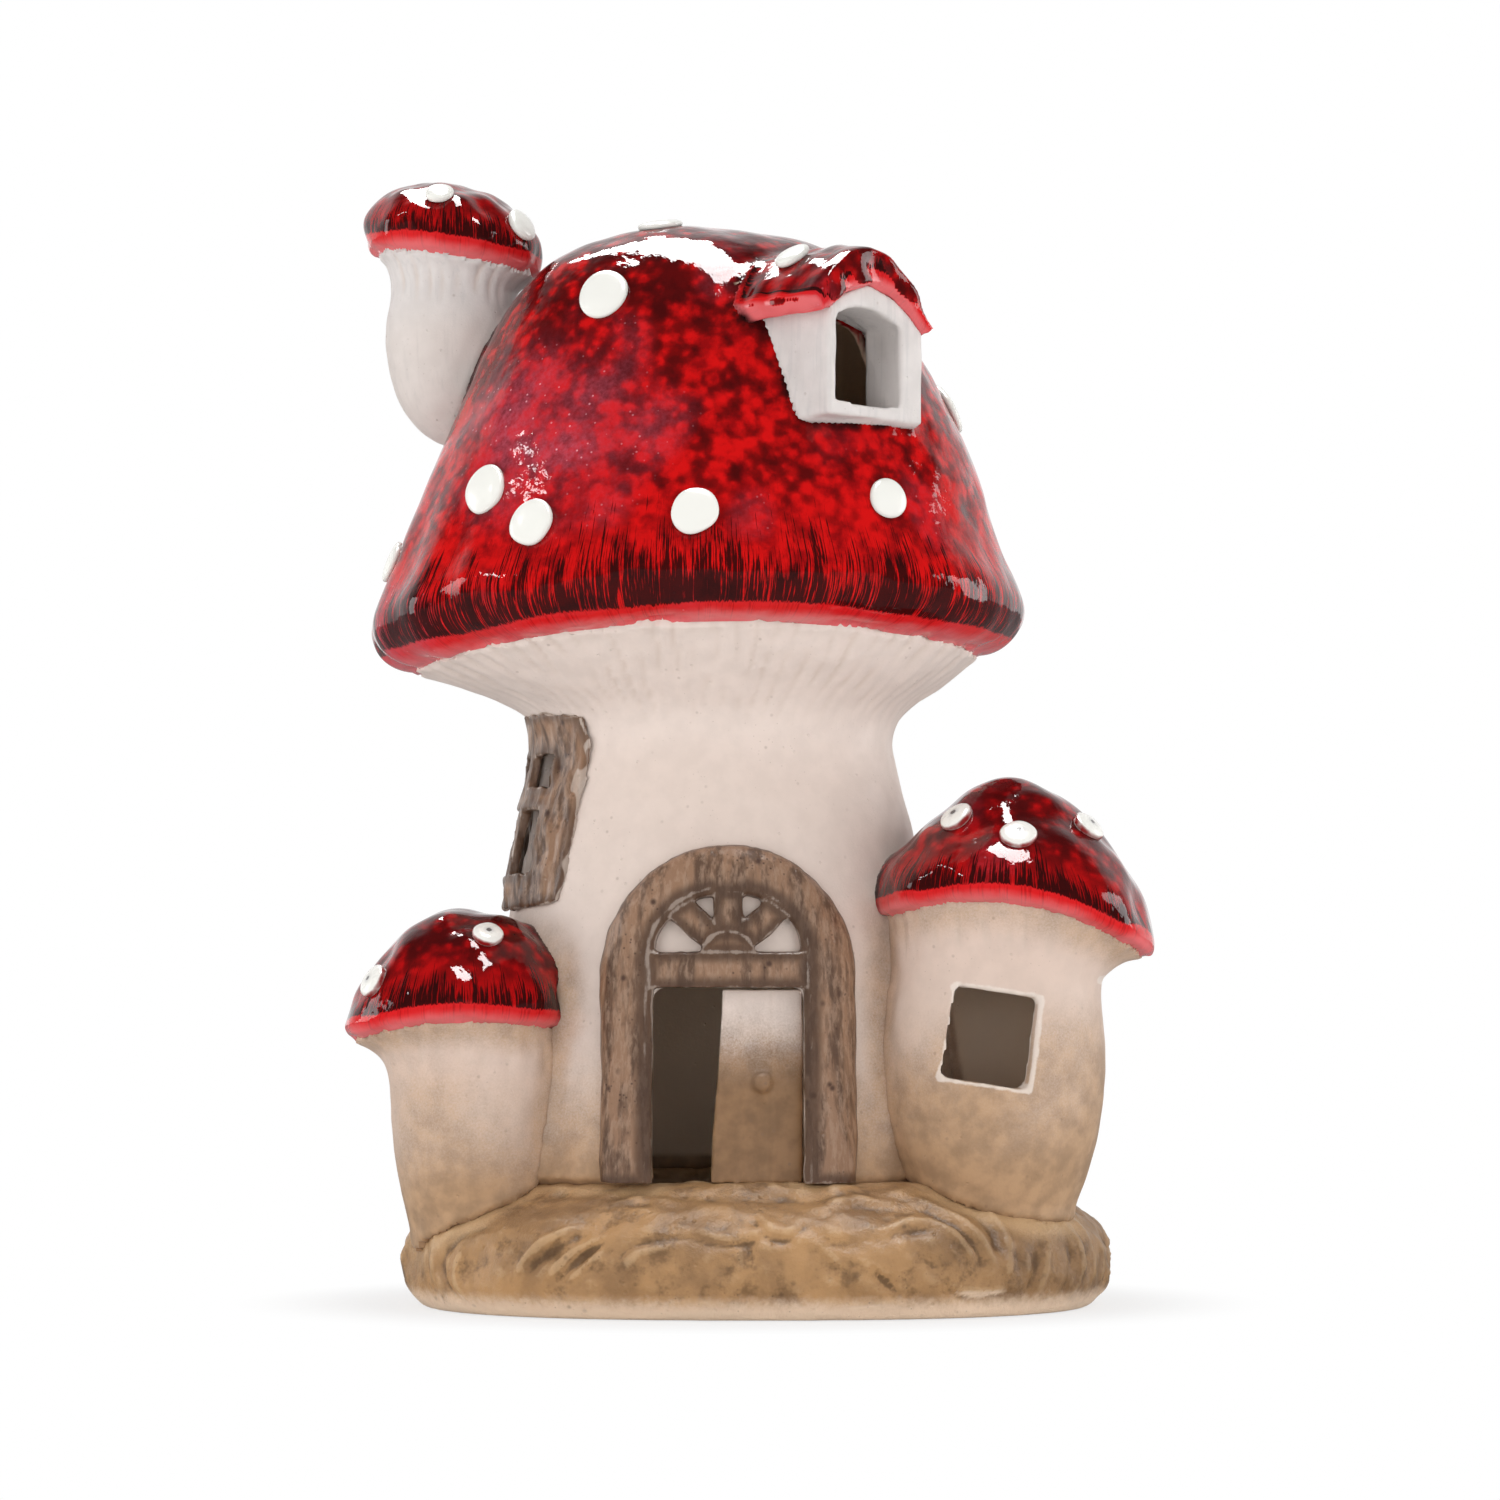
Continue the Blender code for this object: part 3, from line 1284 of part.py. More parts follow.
def make_unit_body():
    """The moulded body: flange, round wall, battery bay, screw boss and switch slot."""
    body_inside = UNIT_BODY_RADIUS - UNIT_WALL
    middle = (UNIT_X, UNIT_Y)
    body = turned(
        [
            (0.0, FLANGE_LOW),
            (FLANGE_RADIUS - 0.6, FLANGE_LOW),
            (FLANGE_RADIUS, FLANGE_LOW + 0.6),
            (FLANGE_RADIUS, FLANGE_TOP),
            (UNIT_BODY_RADIUS, FLANGE_TOP),
            (UNIT_BODY_RADIUS, BODY_TOP),
            (body_inside, BODY_TOP),
            (body_inside, FLANGE_TOP),
            (0.0, FLANGE_TOP),
        ],
        ROUND_STEPS,
        "unit_body",
        middle,
    )
    out = SEAT_GAP + BAY_WALL
    bay = unit_block(
        (-COVER_LENGTH / 2 - out, -COVER_WIDTH / 2 - out, FLANGE_LOW + 0.8),
        (COVER_LENGTH / 2 + out, COVER_WIDTH / 2 + out, BAY_TOP),
        "bay",
    )
    ear_roof = unit_block(
        (-COVER_EAR_WIDTH / 2 - out, 0.0, FLANGE_LOW + 0.8),
        (COVER_EAR_WIDTH / 2 + out, COVER_WIDTH / 2 + COVER_EAR_REACH + out, BAY_LOW + BAY_WALL),
        "ear_roof",
    )
    boss = turned(
        [
            (0.0, BAY_LOW + 0.6),
            (BOSS_RADIUS, BAY_LOW + 0.6),
            (BOSS_RADIUS, FLANGE_LOW + SCREW_LENGTH + 3.0),
            (0.0, FLANGE_LOW + SCREW_LENGTH + 3.0),
        ],
        SPOT_STEPS,
        "boss",
        (UNIT_X, SCREW_Y),
    )
    join(body, bay, ear_roof, boss)
    cutters = list(cover_cutout(SEAT_GAP))
    cutters.append(
        unit_block(
            (-BAY_LENGTH / 2, -BAY_WIDTH / 2, FLANGE_LOW - CUT_OVER),
            (BAY_LENGTH / 2, BAY_WIDTH / 2, BAY_ROOF_LOW),
            "bay_hollow",
        )
    )
    cutters.append(
        turned(
            [
                (0.0, FLANGE_LOW - CUT_OVER),
                (BOSS_BORE_RADIUS, FLANGE_LOW - CUT_OVER),
                (BOSS_BORE_RADIUS, FLANGE_LOW + SCREW_LENGTH + 1.5),
                (0.0, FLANGE_LOW + SCREW_LENGTH + 1.5),
            ],
            SPOT_STEPS,
            "bore",
            (UNIT_X, SCREW_Y),
        )
    )
    for side in (-1.0, 1.0):
        middle_x = side * TONGUE_SPREAD / 2
        low_y = -COVER_WIDTH / 2 - TONGUE_REACH - 2 * SLIDE_GAP
        cutters.append(
            unit_block(
                (middle_x - TONGUE_WIDTH / 2 - SLIDE_GAP, low_y, COVER_TOP - TONGUE_THICK - SLIDE_GAP),
                (
                    middle_x + TONGUE_WIDTH / 2 + SLIDE_GAP,
                    -BAY_WIDTH / 2 + 1.0,
                    COVER_TOP + TONGUE_REACH,
                ),
                "notch",
            )
        )
        slot_ends = sorted((side * BAY_LENGTH / 2, side * (BAY_LENGTH / 2 - CONTACT_SEAT)))
        slot_half = TAB_WIDTH / 2 + SLIDE_GAP
        cutters.append(
            unit_block(
                (slot_ends[0], -slot_half, BAY_ROOF_LOW - CUT_OVER / 2),
                (slot_ends[1], slot_half, BAY_TOP + CUT_OVER / 2),
                "tab_slot",
            )
        )
    knob_x, knob_y = SWITCH_KNOB
    cutters.append(
        unit_block(
            (-knob_x / 2 - SLIDE_GAP, SWITCH_Y - knob_y / 2 - SLIDE_GAP, FLANGE_LOW - 1.0),
            (knob_x / 2 + SWITCH_TRAVEL + SLIDE_GAP, SWITCH_Y + knob_y / 2 + SLIDE_GAP, FLANGE_TOP + 1.0),
            "knob_slot",
        )
    )
    cut(body, *cutters)
    finish(body, "black_plastic")


def make_unit_lid():
    """The round lid on the body, with the lamp's hole and a skirt inside the wall."""
    hole = LED_RIM_RADIUS + SEAT_GAP
    low = BODY_TOP + SEAT_GAP
    skirt_out = UNIT_BODY_RADIUS - UNIT_WALL - SEAT_GAP
    lid = turned(
        [
            (hole, low),
            (skirt_out - UNIT_WALL, low),
            (skirt_out - UNIT_WALL, low - LID_SKIRT),
            (skirt_out, low - LID_SKIRT),
            (skirt_out, low),
            (UNIT_BODY_RADIUS, low),
            (UNIT_BODY_RADIUS - 0.6, low + LID_THICK),
            (hole, low + LID_THICK),
        ],
        ROUND_STEPS,
        "unit_lid",
        (UNIT_X, UNIT_Y),
    )
    finish(lid, "black_plastic")


def make_seal():
    """The soft ring that grips the ceramic hole round the body."""
    inside, outside = UNIT_BODY_RADIUS + SEAT_GAP, UNIT_SOCKET_RADIUS - SEAT_GAP
    low = FLANGE_TOP + SEAT_GAP
    ring = turned(
        [
            (inside, low),
            (outside, low),
            (outside, low + SEAL_HEIGHT - SEAL_LIP),
            (inside, low + SEAL_HEIGHT),
        ],
        ROUND_STEPS,
        "seal_ring",
        (UNIT_X, UNIT_Y),
    )
    finish(ring, "grey_rubber")


def make_cells_and_contacts():
    """Two cells laid opposite ways, their springs, plates, and the plates' tabs."""
    end = BAY_LENGTH / 2
    for number, side in ((1, 1.0), (2, -1.0)):
        y = side * (CELL_RADIUS + CELL_SPACE / 2)
        nub_end = end - CONTACT_SEAT
        start = nub_end - CELL_NUB_LENGTH - CELL_LENGTH
        cell = turned(
            [
                (0.0, start),
                (CELL_RADIUS - 0.4, start),
                (CELL_RADIUS, start + 0.4),
                (CELL_RADIUS, start + CELL_LENGTH - 0.4),
                (CELL_RADIUS - 0.4, start + CELL_LENGTH),
                (CELL_NUB_RADIUS, start + CELL_LENGTH),
                (CELL_NUB_RADIUS, nub_end),
                (0.0, nub_end),
            ],
            PIN_STEPS,
            f"cell_{number}",
        )
        bend(cell, lambda u, v, w: (UNIT_X + side * w, UNIT_Y + y + u, CELL_Z + v * side))
        finish(cell, "cell_sleeve")
        points = []
        spring_end = start - SEAT_GAP - SPRING_WIRE_RADIUS
        spring_start = -end + CONTACT_SEAT + SPRING_WIRE_RADIUS
        steps = SPRING_TURNS * 6
        for step in range(steps + 1):
            share = step / steps
            a = math.tau * SPRING_TURNS * share
            radius = SPRING_RADIUS + (SPRING_TIP_RADIUS - SPRING_RADIUS) * share
            along = side * (spring_start + (spring_end - spring_start) * share)
            points.append(
                (
                    UNIT_X + along,
                    UNIT_Y + y + radius * math.cos(a),
                    CELL_Z + radius * math.sin(a),
                )
            )
        wire(f"contact_spring_{number}", points, SPRING_WIRE_RADIUS, "plated_metal", 1)
    for number, side in ((1, 1.0), (2, -1.0)):
        inner, outer = side * (end - SEAT_GAP - CONTACT_THICK), side * (end - SEAT_GAP)
        low_x, high_x = min(inner, outer), max(inner, outer)
        half = CELL_RADIUS + CELL_SPACE / 2 + CONTACT_WIDTH / 2
        plate = unit_block(
            (low_x, -half, CELL_Z - CONTACT_WIDTH / 2),
            (high_x, half, CELL_Z + CONTACT_WIDTH / 2),
            "contact_plate",
        )
        tab = unit_block(
            (low_x, -TAB_WIDTH / 2, CELL_Z), (high_x, TAB_WIDTH / 2, BOARD_LOW - SEAT_GAP), "tab"
        )
        join(plate, tab)
        plate.name = f"contact_plate_{number}"
        finish(plate, "plated_metal")


def wire(name, points, radius, material_name, resolution=2):
    """A round wire along points in millimetres."""
    curve = bpy.data.curves.new(name, "CURVE")
    curve.dimensions = "3D"
    curve.bevel_depth = radius * MM
    curve.bevel_resolution = resolution
    curve.use_fill_caps = True
    spline = curve.splines.new("POLY")
    spline.points.add(len(points) - 1)
    for target, point in zip(spline.points, points):
        target.co = (*(Vector(point) * MM), 1.0)
    made = bpy.data.objects.new(name, curve)
    bpy.context.scene.collection.objects.link(made)
    curve.materials.append(material(material_name))
    return made


def make_board():
    """The circuit board on the bay, the lamp that stands through the lid, and the switch leads."""
    board = unit_block(
        (-BOARD_LENGTH / 2, -BOARD_WIDTH / 2, BOARD_LOW),
        (BOARD_LENGTH / 2, BOARD_WIDTH / 2, BOARD_LOW + BOARD_THICK),
        "circuit_board",
    )
    finish(board, "circuit_board")
    low = BOARD_LOW + BOARD_THICK + SEAT_GAP
    tip = low + LED_LENGTH
    rim_top = low + LED_RIM_THICK
    dome = []
    for angle in (0.0, 30.0, 60.0):
        a = math.radians(angle)
        dome.append((LED_RADIUS * math.cos(a), tip - LED_RADIUS + LED_RADIUS * math.sin(a)))
    lamp = turned(
        [(0.0, low), (LED_RIM_RADIUS, low), (LED_RIM_RADIUS, rim_top), (LED_RADIUS, rim_top)]
        + dome
        + [(0.0, tip)],
        PIN_STEPS,
        "led_lamp",
        (UNIT_X, UNIT_Y),
    )
    finish(lamp, "led_lens")
    switch_top = FLANGE_TOP + SEAT_GAP + SWITCH_BODY[2]
    edge_y = UNIT_Y - BOARD_WIDTH / 2
    for side, name in ((-1.0, "red_lead"), (1.0, "black_lead")):
        start = Vector((UNIT_X + side * LEAD_PIN_SPREAD / 2, SWITCH_AT_Y, switch_top + SEAT_GAP))
        end_x = UNIT_X + side * LEAD_PAD_SPREAD / 2
        end = Vector((end_x, edge_y - SEAT_GAP, BOARD_LOW + BOARD_THICK / 2))
        lift = Vector((0.0, 0.0, end.z - start.z))
        pull = Vector((0.0, (end.y - start.y) * 0.6, 0.0))
        points = []
        for step in range(11):
            t = step / 10
            blend = (1 - t) ** 3, 3 * t * (1 - t) ** 2, 3 * t * t * (1 - t), t**3
            points.append(
                start * blend[0] + (start + lift) * blend[1] + (end - pull) * blend[2] + end * blend[3]
            )
        wire(name, points, LEAD_RADIUS, name)


def make_switch():
    """The slide switch over the flange, and its knob in the slot."""
    length, width, height = SWITCH_BODY
    low = FLANGE_TOP + SEAT_GAP
    switch = unit_block(
        (-length / 2 + SWITCH_TRAVEL / 2, SWITCH_Y - width / 2, low),
        (length / 2 + SWITCH_TRAVEL / 2, SWITCH_Y + width / 2, low + height),
        "switch_body",
    )
    knob_x, knob_y = SWITCH_KNOB
    pocket = unit_block(
        (-knob_x / 2 - SLIDE_GAP, SWITCH_Y - knob_y / 2 - SLIDE_GAP, low - 1.0),
        (knob_x / 2 + SWITCH_TRAVEL + SLIDE_GAP, SWITCH_Y + knob_y / 2 + SLIDE_GAP, low + height * 0.5),
        "pocket",
    )
    cut(switch, pocket)
    finish(switch, "plated_metal")
    knob = unit_block(
        (-knob_x / 2, SWITCH_Y - knob_y / 2, FLANGE_LOW - SWITCH_KNOB_PROUD),
        (knob_x / 2, SWITCH_Y + knob_y / 2, low + height * 0.5 - SEAT_GAP),
        "switch_knob",
    )
    finish(knob, "black_plastic")


def make_cover():
    """The battery cover with its tongues, finger ribs and screw ear, and the captive screw."""
    half_length, half_width = COVER_LENGTH / 2, COVER_WIDTH / 2
    cover = unit_block(
        (-half_length, -half_width, FLANGE_LOW), (half_length, half_width, COVER_TOP), "battery_cover"
    )
    ear = unit_block(
        (-COVER_EAR_WIDTH / 2, 0.0, FLANGE_LOW),
        (COVER_EAR_WIDTH / 2, half_width + COVER_EAR_REACH, COVER_TOP),
        "ear",
    )
    join(cover, ear)
    for side in (-1.0, 1.0):
        middle_x = side * TONGUE_SPREAD / 2
        tongue = unit_block(
            (middle_x - TONGUE_WIDTH / 2, -half_width - TONGUE_REACH, COVER_TOP - TONGUE_THICK),
            (middle_x + TONGUE_WIDTH / 2, -half_width + 1.0, COVER_TOP - 0.05),
            "tongue",
        )
        join(cover, tongue)
    for rib in range(COVER_RIB_COUNT):
        at = (rib - (COVER_RIB_COUNT - 1) / 2) * 2.4
        join(
            cover,
            unit_block(
                (at - 0.5, -half_width * 0.5, FLANGE_LOW - COVER_RIB_PROUD),
                (at + 0.5, half_width * 0.5, FLANGE_LOW + 0.5),
                "rib",
            ),
        )
    head_seat = FLANGE_LOW + SCREW_HEAD_HEIGHT
    screw_hole = turned(
        [
            (0.0, FLANGE_LOW - 1.0),
            (SCREW_HEAD_RADIUS + SEAT_GAP, FLANGE_LOW - 1.0),
            (SCREW_HEAD_RADIUS + SEAT_GAP, head_seat - 0.1),
            (SCREW_SHANK_RADIUS + SEAT_GAP, head_seat - 0.1),
            (SCREW_SHANK_RADIUS + SEAT_GAP, COVER_TOP + 1.0),
            (0.0, COVER_TOP + 1.0),
        ],
        PIN_STEPS,
        "screw_hole",
        (UNIT_X, SCREW_Y),
    )
    cut(cover, screw_hole)
    finish(cover, "black_plastic")
    head_top = head_seat - 0.1 - SEAT_GAP
    head_low = head_top - SCREW_HEAD_HEIGHT
    screw = turned(
        [
            (0.0, head_low),
            (SCREW_HEAD_RADIUS * 0.8, head_low),
            (SCREW_HEAD_RADIUS, head_low + 0.4),
            (SCREW_HEAD_RADIUS, head_top),
            (SCREW_SHANK_RADIUS, head_top),
            (SCREW_SHANK_RADIUS, head_top + SCREW_LENGTH - 1.0),
            (0.0, head_top + SCREW_LENGTH),
        ],
        PIN_STEPS,
        "cover_screw",
        (UNIT_X, SCREW_Y),
    )
    for length, width in ((1.5, SCREW_SLOT_WIDTH / 2), (SCREW_SLOT_WIDTH / 2, 1.5)):
        cut(
            screw,
            block(
                (UNIT_X - length, SCREW_Y - width, head_low - 1.0),
                (UNIT_X + length, SCREW_Y + width, head_low + SCREW_SLOT_DEPTH),
                "cross",
            ),
        )
    finish(screw, "plated_metal")


def empty_at(name, point):
    """An empty at a point in millimetres, for pieces that move together."""
    made = bpy.data.objects.new(name, None)
    made.location = Vector(point) * MM
    bpy.context.scene.collection.objects.link(made)
    return made


def give_origin(name, point, parent):
    """Moves a piece's origin to a point in millimetres, its shape staying put, and parents it."""
    made = bpy.data.objects[name]
    made.data.transform(Matrix.Translation(-Vector(point) * MM))
    made.parent = parent
    bpy.context.view_layer.update()
    made.location = Vector(point) * MM - parent.matrix_world.translation


def parent_pieces():
    """Groups the pieces by what they move with; each moving piece's origin is on its joint's axis."""
    house = empty_at("house", (0.0, 0.0, 0.0))
    unit = empty_at("light_unit", (UNIT_X, UNIT_Y, FLANGE_LOW))
    hinge = (UNIT_X, UNIT_Y - COVER_WIDTH / 2, FLANGE_LOW)
    for name in (
        "unit_body",
        "unit_lid",
        "seal_ring",
        "cell_1",
        "cell_2",
        "contact_plate_1",
        "contact_plate_2",
        "contact_spring_1",
        "contact_spring_2",
        "circuit_board",
        "led_lamp",
        "switch_body",
        "red_lead",
        "black_lead",
    ):
        give_origin(name, (UNIT_X, UNIT_Y, FLANGE_LOW), unit)
    give_origin("battery_cover", hinge, unit)
    give_origin("cover_screw", (UNIT_X, SCREW_Y, FLANGE_LOW), bpy.data.objects["battery_cover"])
    give_origin("switch_knob", (UNIT_X, SWITCH_AT_Y, FLANGE_LOW), unit)
    for made in bpy.data.objects:
        if made.parent is None and made.type != "EMPTY":
            made.parent = house


def main():
    for old in list(bpy.data.objects):
        bpy.data.objects.remove(old)
    make_ground()
    make_stalk()
    make_cap()
    make_rooms()
    make_chimney()
    make_dormer()
    make_surround()
    make_leaf()
    make_side_frame()
    make_spots()
    make_unit_body()
    make_unit_lid()
    make_seal()
    make_cells_and_contacts()
    make_board()
    make_switch()
    make_cover()
    parent_pieces()


main()
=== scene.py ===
"""The looks of a lit ceramic toadstool house: its glazes, clays, lamp unit and studio."""
import logging
import math
from dataclasses import dataclass
from dataclasses import field
from enum import Enum

import bmesh
import bpy
import numpy as np
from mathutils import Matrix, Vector
from mathutils.bvhtree import BVHTree
from mathutils.kdtree import KDTree


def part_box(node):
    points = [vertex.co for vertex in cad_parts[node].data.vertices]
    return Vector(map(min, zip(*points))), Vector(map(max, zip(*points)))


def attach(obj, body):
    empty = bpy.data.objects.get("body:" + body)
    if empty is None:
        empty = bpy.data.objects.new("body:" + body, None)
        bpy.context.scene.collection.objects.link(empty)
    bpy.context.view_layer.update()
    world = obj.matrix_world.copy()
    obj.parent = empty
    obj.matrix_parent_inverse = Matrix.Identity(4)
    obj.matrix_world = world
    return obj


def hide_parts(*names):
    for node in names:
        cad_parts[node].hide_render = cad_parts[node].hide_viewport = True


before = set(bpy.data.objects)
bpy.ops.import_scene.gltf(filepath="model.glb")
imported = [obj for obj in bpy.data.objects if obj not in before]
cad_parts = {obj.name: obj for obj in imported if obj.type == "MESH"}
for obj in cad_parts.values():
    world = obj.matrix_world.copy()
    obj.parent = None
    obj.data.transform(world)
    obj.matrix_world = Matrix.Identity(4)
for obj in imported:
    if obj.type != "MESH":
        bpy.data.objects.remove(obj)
log = logging.getLogger("toadstool_house")

MM = 0.001
SEED = 7
MERGE_GAP = 0.01 * MM
FLAT, SQUARE = math.radians(25.0), math.radians(70.0)
Socket = bpy.types.NodeSocket
Wire = Socket | float | tuple


class Paint(Enum):
    """The ornament's colours, and the sheen, glints and shade painted over them, as linear red,
    green and blue.
    """

    SCARLET = (0.64, 0.0065, 0.0065)
    LIP = (0.64, 0.014, 0.016)
    # A pale pink sheen, painted on the lips.
    BLUSH = (0.80, 0.25, 0.26)
    CRIMSON = (0.27, 0.0035, 0.0045)
    MAROON = (0.075, 0.0026, 0.0032)
    NEAR_BLACK = (0.014, 0.0032, 0.0032)
    PINK = (0.46, 0.075, 0.11)
    SPARKLE = (0.80, 0.36, 0.42)
    SLIP = (0.84, 0.83, 0.78)
    SLIP_SHADE = (0.66, 0.62, 0.55)
    CREAM = (0.78, 0.665, 0.60)
    CREAM_SHADE = (0.62, 0.50, 0.42)
    STEM_CREAM = (0.71, 0.555, 0.47)
    WHITE_CLAY = (0.70, 0.65, 0.625)
    GREY_CLAY = (0.42, 0.41, 0.41)
    TAN = (0.50, 0.31, 0.172)
    TAN_DEEP = (0.30, 0.165, 0.078)
    # A pale highlight, painted along arrises.
    WORN = (0.84, 0.76, 0.69)
    STRAW = (0.46, 0.26, 0.113)
    STRAW_SHADE = (0.27, 0.15, 0.068)
    STRAW_DARK = (0.11, 0.058, 0.026)
    STRAW_PALE = (0.60, 0.395, 0.215)
    FOOT_PALE = (0.74, 0.56, 0.415)
    BROWN = (0.29, 0.165, 0.098)
    BROWN_PALE = (0.40, 0.26, 0.175)
    BROWN_DARK = (0.075, 0.038, 0.022)
    BROWN_SPECK = (0.045, 0.017, 0.012)
    STRAW_SPECK = (0.10, 0.055, 0.03)
    PRICK = (0.10, 0.09, 0.09)
    LENS_PALE = (0.90, 0.86, 0.70)
    LENS_WARM = (0.95, 0.80, 0.42)
    BARE = (0.70, 0.60, 0.52)
    RAW_CLAY = (0.82, 0.64, 0.48)
    SPECK = (0.20, 0.12, 0.075)

    @property
    def rgba(self) -> tuple[float, float, float, float]:
        """The colour with a full alpha, as a socket takes it."""
        return (*self.value, 1.0)


class Edge(Enum):
    """Where a cap's scarlet lip and its dark strokes end, in millimetres above the rim's foot."""

    MAIN = (3.7, 42.0)
    SMALL = (4.0, 20.0)
    ROOF = (3.0, 9.0)


def deselect() -> None:
    """Leaves edit mode and selects nothing."""
    if bpy.context.object is not None and bpy.context.object.mode != "OBJECT":
        bpy.ops.object.mode_set(mode="OBJECT")
    bpy.ops.object.select_all(action="DESELECT")


def undulation(points: np.ndarray, wavelength: float, seed: int, waves: int = 24) -> np.ndarray:
    """A smooth random field over the points.

    Args:
        points: places in metres, one row each.
        wavelength: the mean distance between crests, in metres.
        seed: which field it is.
        waves: how many plane waves it is the sum of.

    Returns:
        A value of about -1 to 1 for each point.
    """
    chance = np.random.default_rng(seed)
    total = np.zeros(len(points))
    for _ in range(waves):
        way = chance.normal(size=3)
        way /= np.linalg.norm(way)
        turn = chance.uniform(0.7, 1.5) * 2.0 * math.pi / wavelength
        total += np.sin(points @ (way * turn) + chance.uniform(0.0, 2.0 * math.pi))
    return total / math.sqrt(waves)


def ease(values: np.ndarray, low: float, high: float) -> np.ndarray:
    """A soft step.

    Args:
        values: what is compared.
        low: where the step starts.
        high: where it ends; below low, the step falls.

    Returns:
        0 to 1 for each value.
    """
    share = np.clip((values - low) / (high - low), 0.0, 1.0)
    return share * share * (3.0 - 2.0 * share)


def corners_of(node: str) -> np.ndarray:
    """The corners of a CAD node's mesh in metres, one row each."""
    return np.array([v.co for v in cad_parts[node].data.vertices])


def turns_round(places: np.ndarray, centre: Vector) -> np.ndarray:
    """Each place's turn round an upright axis through a centre, in radians."""
    way = places - np.array(centre)
    return np.arctan2(way[:, 1], way[:, 0])


def turned(thing: bpy.types.Object, place: Vector, aim: Vector) -> None:
    """Puts a lamp or a camera at a place, facing another."""
    thing.location = place
    thing.rotation_euler = (aim - place).to_track_quat("-Z", "Y").to_euler()


def surface_of(*nodes: str) -> BVHTree:
    """A search tree over the faces of CAD nodes.

    Args:
        nodes: the nodes' names.

    Returns:
        The tree, in metres in the frame of the part.
    """
    corners: list[Vector] = []
    faces: list[tuple[int, ...]] = []
    for node in nodes:
        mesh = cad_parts[node].data
        first = len(corners)
        corners.extend(v.co.copy() for v in mesh.vertices)
        faces.extend(tuple(first + i for i in face.vertices) for face in mesh.polygons)
    return BVHTree.FromPolygons(corners, faces)


